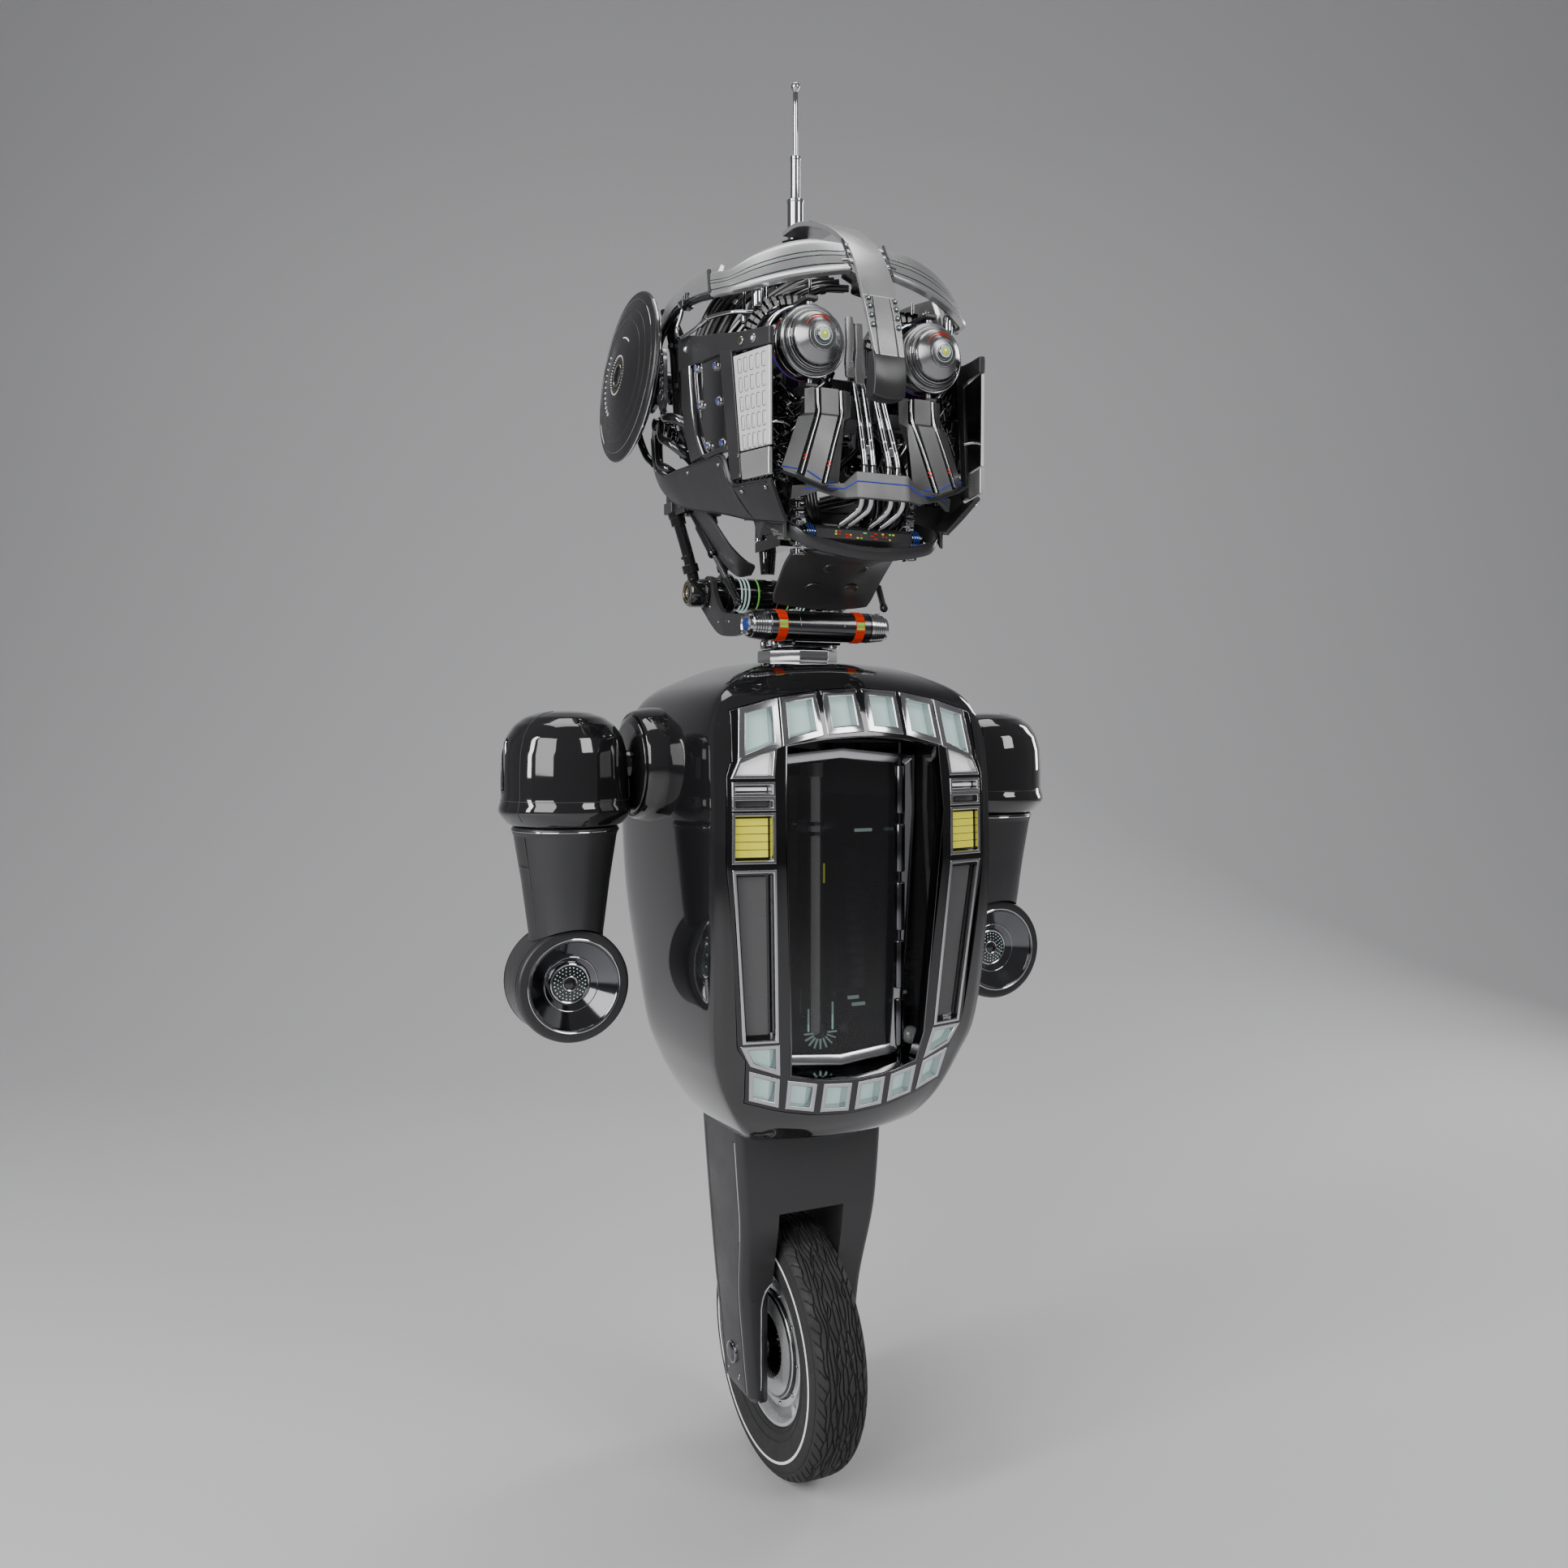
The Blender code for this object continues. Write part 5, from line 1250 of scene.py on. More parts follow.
def build_skull():
    path = [(-6, 1014), (22, 1006), (56, 982), (78, 940), (82, 890), (72, 840), (54, 813)]
    place = patch([((12, y, z), (-12, y, z)) for y, z in path])
    arch = plate(place, 5.4, steps=(60, 8), crown=0.8)
    piece("rear_arch", arch, FORK_BLACK, "head", ["skull_frame"], bevel=0.9)
    ribs = [plate(place, 1, (s, s + 0.012), (0.1, 0.9), (1, 8), lift=1.9)
            for s in (0.16, 0.19, 0.22, 0.5, 0.53, 0.56, 0.59)]
    rails = [line_on(place, [(0.05 + 0.09 * k, t) for k in range(11)], 0.7, 0.6) for t in (0.12, 0.88)]
    studs = [bolt(place(s, t, 0.6), place(s, t, 1) - place(s, t, 0), 1.8, 1)
             for s in (0.1, 0.33, 0.43, 0.7, 0.86) for t in (0.3, 0.7)]
    piece("rear_arch_ribs", merge(*ribs), GLOSS, "head")
    piece("rear_arch_rails", merge(*rails, *studs), DARK_CHROME, "head")

    spine, rings = [], []
    for k in range(14):
        z = 776 + 13.2 * k
        wide = 9 if k < 2 else 19 + k % 2
        spine.append(block((-wide, wide), (-6, 44), (z, z + 8.4)))
        spine.append(block((-0.7 * wide, 0.7 * wide), (-2, 40), (z + 8.4, z + 13.2)))
        rings += [lathe(washer(3.2, 4.4, z + 8.6, z + 12.8, 0.4),
                        "Z", (sx * 0.8 * wide, sy, 0), 16) for sx in (-1, 1) for sy in (0, 38)]
    spine.append(block((-8, 8), (8, 20), (955, 1006)))
    spine.append(lathe(rounded([(0, 757), (6, 757), (8, 780), (0, 780)], 0.5), "Z", (0, 38, 0), 32))
    piece("head_spine", merge(*spine), GLOSS, "head", bevel=1)
    piece("head_spine_rods", merge(*rings), CHROME, "head")
    boss = rounded([(7.2, 998), (13, 998), (13, 1010), (11, 1012), (7.2, 1012)], 0.8, closed=True)
    piece("antenna_boss", lathe(boss, "Z", (0, -16, 0), 48), GUNMETAL, "head")

    beams = [
        block((-88, 88), (31, 49), (813, 823)), block((-7, 7), (40, 80), (884, 900)),
        block((-58, 58), (-26, -4), (889, 911)), block((-97, 97), (-62, -50), (866, 878)),
        block((-12, 12), (-132, 0), (852, 869)),
    ]
    ear_beam = rod(9, -92, 92, "X", (0, EAR.y, EAR.z), 40, edge=0.8)
    fins = banded((0, EAR.y, EAR.z), "X", [(x, x + 3, 8.8, 11.5) for x in range(-80, 80, 8) if abs(x) > 22],
                  40)
    for s in (1, -1):
        beams += [
            block((s * EYE.x - 5, s * EYE.x + 5), (-108, -20), (893, 907)),
            block((s * EYE.x - 6, s * EYE.x + 6), (-112, -106), (867, 933)),
            block((s * EYE.x - 5, s * EYE.x + 5), (EYE.y - 5, -108), (929, 932.6)),
            block((s * EYE.x - 5, s * EYE.x + 5), (EYE.y - 5, -108), (867.4, 871)),
        ]
    piece("head_beams", merge(*beams), FORK_BLACK, "head", bevel=1.2)
    piece("ear_beam", merge(ear_beam, fins), DARK_CHROME, "head")


def build_hoses():
    draw = random.Random(5)
    black, bands, shine = [], [], []
    routes = [
        ([(7, -104, 958), (24, -96, 957), (44, -84, 948), (62, -66, 930), (74, -40, 902), (70, 0, 872),
          (58, 26, 850)], 5, 3.2),
        ([(20, -60, 985), (44, -56, 976), (70, -44, 954), (84, -30, 920), (84, -22, 880), (74, -12, 846)],
         6, 2.8), ([(92, 30, 962), (88, 18, 930), (92, 4, 896), (88, 0, 862), (70, 10, 838)], 4, 3),
        ([(12, -100, 884), (26, -88, 868), (50, -80, 852), (64, -60, 836), (58, -20, 822), (30, 0, 814)], 4,
         2.8),
        ([(8, -70, 876), (14, -96, 866), (30, -112, 842), (44, -116, 816), (46, -112, 790), (40, -86, 776),
          (24, -30, 782)], 3, 2.6),
    ]
    for points, count, radius in routes:
        for k in range(count):
            across = (k - (count - 1) / 2) * radius * 1.9
            shift = Vector((across * 0.35, across * 0.75, across * 0.5))
            line = [Vector(p) + shift + Vector([draw.uniform(-1.2, 1.2) for _ in range(3)]) for p in points]
            black.append(tube(line, radius * draw.uniform(0.8, 1.0), 10, 6))
            for _ in range(2):
                i = draw.randint(1, len(line) - 2)
                ahead = (line[i + 1] - line[i - 1]).normalized()
                cuff = tube([line[i] - ahead * 2, line[i] + ahead * 2], radius * 1.12, 14)
                (bands if draw.random() < 0.7 else shine).append(cuff)
    piece("head_hoses", both(*black), HOSE, "head")
    piece("head_hose_cuffs", both(*bands), SATIN, "head")
    piece("head_hose_ferrules", both(*shine), CHROME, "head")

    ribs = []
    for k in range(17):
        turn = math.radians(20 + 9 * k)
        for radius, size in ((34, 2.0), (38, 1.6)):
            ribs.append(ring_segment((EYE.x, -112, EYE.z + 2), radius, turn, 3.4, size))
    piece("socket_ribs", both(*ribs), HOSE, "head")

    posts = []
    for x, y, low, high, r in ((70, -104, 926, 948, 2.4), (62, -96, 930, 956, 1.8), (77, -88, 924, 952, 2),
                               (34, -110, 936, 956, 1.6)):
        posts.append(lathe(rounded([(0, low), (r, low), (r, low + 7), (r * 0.6, low + 8), (r * 0.6, high),
                                    (0, high)], 0.3), "Z", (x, y, 0), 20))
    posts.append(lathe(rounded([(0, 927), (3.4, 927), (3.8, 930), (3.8, 940), (3, 943), (0, 943)], 0.6),
                       "Z", (80, -118, 0), 28))
    piece("brow_pistons", both(*posts), CHROME, "head")


def ring_segment(centre, radius, turn, width, depth):
    """A short rounded block on a circle in the XZ plane, facing outward."""
    shape = block((-width / 2, width / 2), (-depth * 1.6, depth * 1.6), (-depth, depth))
    shape = turned(shape, math.pi / 2 - turn, "Y")
    return moved(shape, centre[0] + radius * math.cos(turn), centre[1], centre[2] + radius * math.sin(turn))


def build_lattice():
    """The wire mesh in the hollow between each cheek and its nose guard."""
    draw = random.Random(23)
    wires = []
    for layer in range(3):
        grid = {}
        for i in range(6):
            for k in range(13):
                x = 58 + 5.0 * i + draw.uniform(-1.6, 1.6)
                y = -136 + 0.5 * (x - 58) + 7 * layer + draw.uniform(-2, 2)
                grid[i, k] = Vector((x, y, 806 + 6 * k + draw.uniform(-1.8, 1.8)))
        for (i, k), point in grid.items():
            for step in ((1, 0), (0, 1), (1, 1), (1, -1)):
                other = grid.get((i + step[0], k + step[1]))
                if other is None or draw.random() > 0.62:
                    continue
                if min((point - EYE).length, (other - EYE).length) > 33:
                    wires.append(tube([point, other], draw.uniform(0.4, 0.75), 6))
    piece("hollow_lattice", both(*wires), DARK_CHROME, "head")
    backs = [tube([(x, -104 + 0.3 * x - 20, 800), (x + 2, -98, 840), (x - 2, -100, 884)], 3.6, 12)
             for x in (58, 66, 74, 82)]
    piece("hollow_hoses", both(*backs), HOSE, "head")


def build_jaw_links():
    """The small chain links and hoses that run down behind the mouth."""
    links, pins, hoses = [], [], []
    for k in range(7):
        z = 798 - 6.6 * k
        links.append(block((43, 50), (-120, -114), (z - 5.2, z)))
        links.append(block((44.5, 48.5), (-121.5, -112.5), (z - 4.2, z - 1)))
        pins.append(rod(1.6, 40, 53, "X", (0, -117, z - 2.6), 14, edge=0.3))
    for x, y in ((36, -112), (30, -106), (24, -100)):
        hoses.append(tube([(x, y, 826), (x + 4, y - 2, 806), (x + 2, y - 4, 786), (x - 6, y + 6, 772),
                           (x - 12, y + 30, 768)], 3.4, 14))
    piece("jaw_chain", both(*links), CHROME, "head", bevel=0.5)
    piece("jaw_chain_pins", both(*pins), GLOSS, "head")
    piece("jaw_hoses", both(*hoses), HOSE, "head")


# ---------------------------------------------------------------- face

def build_strap():
    path = [
        (-25, 1021.5, 16), (-50, 1020, 16.5), (-75, 1012.5, 15.5), (-105, 998, 14), (-131, 977, 13.4),
        (-147, 952, 13.8), (-158, 925, 14), (-168, 890, 12.5),
    ]
    place = patch([((-half, y, z), (half, y, z)) for y, z, half in path])
    fork = 0.81
    whole = plate(place, 3.6, (0, fork), steps=(48, 8), crown=0.3)

    def strip(low_a, low_b, high_a, high_b):
        def edges(s):
            t = (s - fork) / (1 - fork)
            return [low_a + (low_b - low_a) * t, high_a + (high_b - high_a) * t]
        return plate(place, 3.6, (fork - 0.001, 1), edges, (14, 3), lift=0.05)

    parts = [strip(0, 0.06, 0.26, 0.16), strip(0.29, 0.22, 0.76, 0.78), strip(0.79, 0.84, 1, 1)]
    piece("strap_band", merge(whole, *parts), PLATE, "head", ["skull_strap"], bevel=0.5)
    vents = [plate(place, 1, (s, s + 0.017), (0.16, 0.84), (2, 8), lift=1.05)
             for s in (0.035, 0.07, 0.105, 0.14, 0.175, 0.21)]
    piece("strap_vents", merge(*vents), GLOSS, "head", bevel=0.25)
    rims, eyes = [], []
    for s in (0.8215, 0.852, 0.883, 0.913):
        for t in (0.13, 0.9):
            at, out = place(s, t, 0.3), place(s, t, 1) - place(s, t, 0)
            rims.append(bolt(at, out, 2.1, 1))
            eyes.append(aimed(lathe([(0, 1.3), (0.8, 1.1), (1.15, 0.5), (1.15, 0), (0, 0)], segments=20),
                              at, out))
    piece("strap_rivets", merge(*rims), DARK_CHROME, "head")
    piece("strap_rivet_cores", merge(*eyes), CYAN, "head")
    low = [(-167.5, 893), (-170.4, 884), (-171, 870), (-169, 862), (-165, 861), (-158, 861), (-157, 864),
           (-160, 893)]
    wings = loft([
        [(x, y + 0.5 * abs(u) ** 3, z - (2.5 * (1 - u * u))) for y, z in low]
        for u, x in ((k / 8, 13 * k / 8) for k in range(-8, 9))
    ])
    piece("strap_end_block", wings, FORK_BLACK, "head", bevel=0.9)
    plates, lines = [], []
    for x, reach in ((-18, 0), (-10.5, 1)):
        edge = [(x - 3, 922), (x + 2.4, 922), (x + 3.4, 905), (x + 2.4, 893), (x + 4.5, 879),
                (x - 2.4, 879), (x - 3.4, 890), (x - 2.4, 903)]
        plates.append(prism([(px, pz - 4 * reach) for px, pz in rounded(edge, 1.6, 3, closed=True)], "Y",
                            -143, -139.5))
    for k in range(5):
        lines.append(tube([(-15 + k * 1.6, -134, 920), (-15 + k * 1.6, -136, 900),
                           (-14 + k * 1.4, -137, 878)], 0.9, 8))
    piece("nose_bridge_plates", both(*plates), PLATE, "head", bevel=0.4)
    piece("nose_bridge_wires", both(*lines), HOSE, "head")


# The brow's stations from the strap outward: the lower and the upper edge
BROW = [
    ((17, -142, 955), (17, -128, 981)), ((40, -141, 950), (40, -127, 980)),
    ((62, -136, 945), (62, -122, 975)), ((82, -127, 940), (82, -113, 967)),
    ((98, -114, 937), (97, -103, 957)), ((105, -92, 939), (103, -84, 960)),
]


def brow_relief(s, t):
    """The brow's bright lower lip, its three grooves and the rolled edge at its top."""
    rise = 1.4 * math.exp(-((t - 0.05) / 0.05) ** 2) - 2.2 * max(t - 0.86, 0) / 0.14
    for groove in (0.22, 0.46, 0.58):
        if abs(t - groove) < 0.016:
            rise -= 1.1
    return rise + 0.9 * 4 * t * (1 - t)


def build_brows():
    place = patch(BROW)
    heights = [0, 0.02, 0.05, 0.09, 0.13, 0.2, 0.2041, 0.207, 0.233, 0.236, 0.24, 0.34, 0.44, 0.4439, 0.447,
               0.473, 0.4761, 0.5639, 0.567, 0.593, 0.5961, 0.7, 0.8, 0.86, 0.93, 1]
    shell = plate(place, 3.6, (0, 1), heights, (64, 0), relief=brow_relief)
    names = ["brow_plate_left", "brow_plate_right"]
    piece("brow_shells", both(shell), PLATE, "head", names, bevel=0.35, sharp=40)
    lines = [line_on(place, [(0.03 + 0.94 * k / 24, t) for k in range(25)], 0.35,
                     0.05 + 3.6 * t * (1 - t) - 0.6, 6)  for t in (0.22, 0.46, 0.58)]
    piece("brow_groove_lines", both(*lines), TEAL, "head")
    under = plate(place, 2, (0.02, 0.98), (0.1, 0.9), (40, 4), lift=-3.8)
    piece("brow_backs", both(under), GLOSS, "head", bevel=0.5)
    arms = [tube([(10, y, z), (14, y - 2, z + 1), (22, y - 1, z)], 1.8, 14)
            for y, z in ((-136, 962), (-131, 970), (-127, 976))]
    edge = [place(0.0, t, 0.6) for t in (0, 0.1, 0.3, 0.5, 0.7, 0.9, 1)]
    arms.append(tube(edge, 1.1, 10, 3))
    piece("brow_hinges", both(*arms), CHROME, "head")
    end = [place(1.0, t, 0.2) for t in (0, 0.2, 0.5, 0.8, 1)]
    piece("brow_tips", both(tube(end, 1.6, 10, 3)), FORK_BLACK, "head")


# Places on the cheek's rail: x, y, its lower edge and its upper edge
CHEEK_PATH = [(88, -157, 890.6, 903), (97, -126, 893, 906), (103.5, -100, 895.4, 910.5),
              (104.5, -70, 897.8, 917), (103.5, -40, 900.8, 925), (101, -6, 904.4, 932)]


def along(points, value):
    """The second value of (place, value) points at a place between them."""
    for low, high in zip(points, points[1:]):
        if value <= high[0]:
            break
    t = (value - low[0]) / (high[0] - low[0])
    return low[1] + (high[1] - low[1]) * t


CHEEK_CURVE = [(p.y, p.x) for p in smooth([(x, y, 0) for x, y, *_ in CHEEK_PATH], 8)]
# Edges on the cheek as (height, y) points
GRILLE_EDGE = [(800, -128.3), (892, -118)]
RECESS_EDGE = [(800, -115.9), (892, -103.5)]
RECESS_REAR = [(820, -81), (827, -75.4), (836, -68), (845, -61.6), (855, -57), (866, -53), (891, -47.5),
               (905, -46.2)]
FRAME_REAR = [(820, -54), (828, -48), (850, -35), (876, -27), (905, -25)]


def cheek(y, z, lift=0.0):
    """A point on the cheek's surface, or a lift away from it."""
    slope = along(CHEEK_CURVE, y + 1) - along(CHEEK_CURVE, y - 1)
    return Vector((along(CHEEK_CURVE, y), y, z)) + Vector((2, -slope, 0)).normalized() * lift


def between(front, rear, low, high):
    """A patch of the cheek between a front and a rear edge, which are places along z."""
    def place(s, t, lift=0.0):
        z = low + (high - low) * t
        a, b = along(front, z), along(rear, z)
        return cheek(a + (b - a) * s, z, lift)
    return place


def build_cheeks():
    rail = patch([((x, y, low), (x, y, high)) for x, y, low, high in CHEEK_PATH])
    names = ["cheek_frame_left", "cheek_frame_right"]
    band = plate(rail, 4.4, (0, 0.93), steps=(48, 5), crown=0.3, lift=0.2)
    piece("cheek_rails", both(band), FORK_BLACK, "head", names, bevel=0.9)
    recess = between(RECESS_EDGE, RECESS_REAR, 826.5, 903)
    column = between(GRILLE_EDGE, RECESS_EDGE, 803.5, 897)
    rear = between(RECESS_REAR, FRAME_REAR, 828, 903)
    back = plate(recess, 2.4, (-0.05, 1.1), (0, 1), (24, 12), lift=-2.6)
    lower = plate(between(RECESS_EDGE, RECESS_REAR, 825, 829), 4.6, (0, 1), (0, 1), (16, 2), lift=-0.2)
    posts = [plate(column, 4.6, (0.05, 1), (0, 1), (8, 12), lift=0.2), lower]
    posts.append(plate(rear, 4.4, (0, 1), (0, 1), (10, 16), crown=0.4))
    piece("cheek_panels", both(back), GLOSS, "head", bevel=0.3)
    piece("cheek_panel_frames", both(*posts), FORK_BLACK, "head", bevel=0.7)
    edge = [cheek(along(RECESS_REAR, z), z, -0.3) for z in (828, 836, 845, 855, 866, 879, 891, 900)]
    piece("cheek_edge_strips", both(tube(edge, 1.5, 14, 4)), CHROME, "head")
    lines = [tube([cheek(along(where, z) + shift, z, -2.4) for z in (831, 845, 860, 876, 895)], 0.35, 8)
             for where, shift in ((RECESS_EDGE, 1.6), (RECESS_REAR, -3.4))]
    piece("cheek_panel_lines", both(*lines), DARK_CHROME, "head")

    rims, cores, pale, gold = [], [], [], []
    for y, z in ((-58, 896), (-94.6, 889), (-65, 867), (-99, 863), (-80, 834), (-104, 832)):
        at, out = cheek(y, z, -2.7), cheek(y, z, 1) - cheek(y, z)
        rims.append(bolt(at, out, 2.9, 2.8))
        rims.append(aimed(lathe([(2.8, 0), (3.9, 0), (3.9, 0.8), (2.8, 1)], segments=28), at, out))
        cores.append(aimed(rod(1.6, 2.6, 0.6, segments=16), at, out))
    for y, z, group in ((-39.6, 914.5, pale), (-128, 898.8, gold), (-141, 897.6, pale)):
        at, out = cheek(y, z, 0.4), cheek(y, z, 1) - cheek(y, z)
        rims.append(bolt(at, out, 2.9, 1.4))
        group.append(aimed(lathe([(0, 1.7), (1.4, 1.6), (1.4, 0.3), (0, 0.3)], segments=16), at, out))
    piece("cheek_bolt_rims", both(*rims), STEEL, "head")
    piece("cheek_bolt_cores", both(*cores), BLUE_LINE, "head")
    piece("rail_bolt_cores", both(*pale), CYAN, "head")
    piece("rail_bolt_gold", both(*gold), BRASS, "head")
    build_grilles()


def build_grilles():
    front = [(800, -157), (892, -157)]
    place = between(front, GRILLE_EDGE, 801.5, 890)
    slots = [(0.17 + 0.165 * column, 0.905 - 0.152 * row) for row in range(5) for column in range(5)]
    plate_shape = plate(place, 2.3, (0.01, 0.99), (0.235, 1), (24, 12))
    names = ["cheek_grille_left", "cheek_grille_right"]
    piece("grille_plates", both(plate_shape), BRIGHT, "head", names, bevel=0.5)
    piece("grille_liners", both(plate(place, 0.6, (0.01, 0.99), (0.235, 1), (24, 12), lift=-2.4)), GUNMETAL,
          "head")
    rims, holes = [], []
    for s, t in slots:
        ring = []
        for k in range(20):
            turn = 2 * math.pi * k / 20
            ring.append((s + 0.048 * math.cos(turn),
                         t + 0.011 * math.sin(turn) + math.copysign(0.046, math.sin(turn))))
        wire = [place(a, b, 0.06) for a, b in ring]
        rims.append(tube(wire + wire[:1], 0.24, 6, 1))
        wire = [place(a, b, -2.35) for a, b in ring]
        rims.append(tube(wire + wire[:1], 0.3, 6, 1))
        inner = [(s + 0.6 * (a - s), t + 0.9 * (b - t)) for a, b in ring]
        holes.append(loft([[place(a, b, lift) for a, b in inner] for lift in (-0.6, 0.12)]))
    piece("grille_slot_rims", both(*rims), GUNMETAL, "head")
    piece("grille_slot_floors", both(*holes), BRIGHT, "head")
    small = plate(place, 3.4, (0.02, 0.99), (0.005, 0.22), (24, 4), crown=0.3, lift=0.4)
    piece("grille_lower_plates", both(small), PLATE, "head", bevel=0.8)
    studs = [bolt(place(1.06, t, 0.2), (1, -0.2, 0), 1.3, 1.2) for t in (0.04, 0.2)]
    hook = tube([(87, -150, 836), (85, -156, 838), (78, -157, 838), (72, -154, 837)], 0.7, 8)
    piece("grille_studs", both(*studs, hook), CHROME, "head")


# The skirt's stations from the front to the rear arch: the lower and the upper edge
SKIRT = [
    ((68, -140, 772), (87, -154.5, 798.4)), ((73, -123, 775), (94.4, -134, 799)),
    ((77, -106, 778), (99.5, -114, 801)), ((79, -99, 779), (102.6, -104, 822)),
    ((81, -88, 782), (103.2, -88, 824.5)), ((86, -60, 789), (103.4, -60, 826)),
    ((90, -20, 797), (103, -20, 828)), ((91, 25, 810), (102, 25, 832)), ((92, 58, 832), (96, 60, 862)),
    ((84, 82, 862), (86, 84, 890)),
]


def build_skirts():
    place = patch(SKIRT)
    front = plate(place, 3, (0, 0.216), steps=(14, 8), crown=0.8)
    rest = plate(place, 3, (0.22, 1), steps=(60, 8), crown=1.8)
    names = ["side_shell_left", "side_shell_right"]
    piece("skirt_fronts", both(front), FORK_BLACK, "head", names, bevel=0.6)
    piece("skirt_sides", both(rest), SATIN, "head", bevel=0.6)
    lower = line_on(place, [(0.01 + 0.8 * k / 16, 0.01) for k in range(17)], 0.5, 0.2, 8)
    upper = line_on(place, [(0.02 + 0.9 * k / 16, 0.97) for k in range(17)], 0.6, 0.4, 8)
    piece("skirt_trims", both(lower, upper), GUNMETAL, "head")
    studs = [bolt(place(s, 0.86, 0.9), place(s, 0.86, 1) - place(s, 0.86, 0), 1.5, 1)
             for s in (0.03, 0.16, 0.4, 0.62, 0.82)]
    piece("skirt_studs", both(*studs), CHROME, "head")
    fins = [
        loft([[(x, y, z) for y, z in ((-118, 779), (-98, 781), (-108, 764))] for x in (72, 75)]),
        loft([[(x, y, z) for y, z in ((-134, 775), (-121, 777), (-134, 762))] for x in (64, 67)]),
    ]
    blade_outline = [((88, -30, 800), (80, 10, 800)), ((82, -44, 782), (74, -6, 780)),
                     ((74, -52, 766), (66, -20, 758)), ((62, -52, 756), (58, -30, 746)),
                     ((50, -48, 752), (50, -40, 746))]
    blade = plate(patch(blade_outline), 2.2, steps=(32, 6), crown=1)
    piece("skirt_fins", both(*fins), SATIN, "head", bevel=0.6)
    piece("throat_blades", both(blade), SATIN, "head", bevel=0.5)


# ---------------------------------------------------------------- nose and mouth

def facets(rows, levels):
    """A flat-sided patch: rows of points, each at its level of t, with their columns evenly along s."""
    rows = [[Vector(point) for point in row] for row in rows]

    def flat(s, t):
        i = 0
        while i < len(levels) - 2 and t > levels[i + 1]:
            i += 1
        spot = s * (len(rows[0]) - 1)
        k = min(max(int(spot), 0), len(rows[0]) - 2)
        low = rows[i][k].lerp(rows[i][k + 1], spot - k)
        high = rows[i + 1][k].lerp(rows[i + 1][k + 1], spot - k)
        return low.lerp(high, (t - levels[i]) / (levels[i + 1] - levels[i]))

    def place(s, t, lift=0.0):
        side = flat(min(s + 0.03, 1), t) - flat(max(s - 0.03, 0), t)
        up = flat(s, min(t + 0.03, 1)) - flat(s, max(t - 0.03, 0))
        return flat(s, t) + side.cross(up).normalized() * lift

    return place


# The nose guard's rows from its lip to its top. Its columns are its edges and its two channels.
GUARD = [
    [(31, -150, 800), (44.2, -157.5, 796), (49.2, -158, 797), (61.5, -156, 801), (66.5, -154, 804),
     (75, -147, 808)],
    [(26, -149, 846), (28.2, -151.8, 847), (33.2, -153, 847), (46.4, -153, 847), (51.4, -151.8, 847),
     (61, -146, 846)],
    [(20, -147.5, 849), (26.3, -150, 849), (31.3, -151, 849), (45.1, -151, 849), (50.1, -150, 849),
     (56, -146, 849)],
    [(20, -147, 867), (26.3, -149.6, 867), (31.3, -150.4, 867), (45.1, -150.2, 867), (50.1, -149.4, 867),
     (56, -146, 866)],
]
GUARD_LEVELS = (0, 0.69, 0.71, 1)
CHANNELS = (0.3, 0.7)


def build_nose_guards():
    place = facets(GUARD, GUARD_LEVELS)

    def relief(s, t):
        return -2.6 if any(abs(s - channel) < 0.1 for channel in CHANNELS) else 0.0

    across = [0.0, 0.1, 0.199, 0.202, 0.3, 0.398, 0.401, 0.5, 0.599, 0.602, 0.7, 0.798, 0.801, 0.9, 1.0]
    upward = [0, 0.04, 0.2, 0.4, 0.6, 0.69, 0.71, 0.85, 0.97, 1]
    shell = plate(place, 3.4, across, upward, relief=relief)
    names = ["nose_guard_left", "nose_guard_right"]
    piece("guard_shells", both(shell), SOFT_GREY, "head", names, bevel=0.4, sharp=25)
    rods, marks, floors = [], [], []
    for channel in CHANNELS:
        ends = [place(channel, 0.99, -1.2), place(channel, 0.84, -0.8), place(channel, 0.7, -0.2),
                place(channel, 0.4, -0.4), place(channel, 0.03, 0)]
        rods.append(tube(ends, 1.15, 12, 4))
        for t in (0.2, 0.235):
            marks.append(tube([place(channel, t - 0.006, -0.3), place(channel, t + 0.006, -0.3)], 1.3, 14))
        floors.append(plate(place, 0.6, (channel - 0.08, channel + 0.08), (0.02, 0.98), (2, 12), lift=-2.4))
    piece("guard_rods", both(*rods), CHROME, "head")
    piece("guard_rod_marks", both(*marks), RED, "head")
    piece("guard_channel_floors", both(*floors), GLOSS, "head")
    sill = plate(place, 6, (0.02, 0.98), (-0.035, 0.02), (24, 2), lift=0.5)
    piece("guard_sills", both(sill), FORK_BLACK, "head", bevel=0.6)
    runs = ([(0.41, 0.05), (0.5, 0.07), (0.59, 0.09)], [(0.81, 0.06), (0.9, 0.05), (1, 0.04)],
            [(0.1, 0.04), (0.19, 0.05)])
    lines = [line_on(place, run, 0.4, 0.35, 8) for run in runs]
    piece("guard_blue_lines", both(*lines), BLUE_LINE, "head")


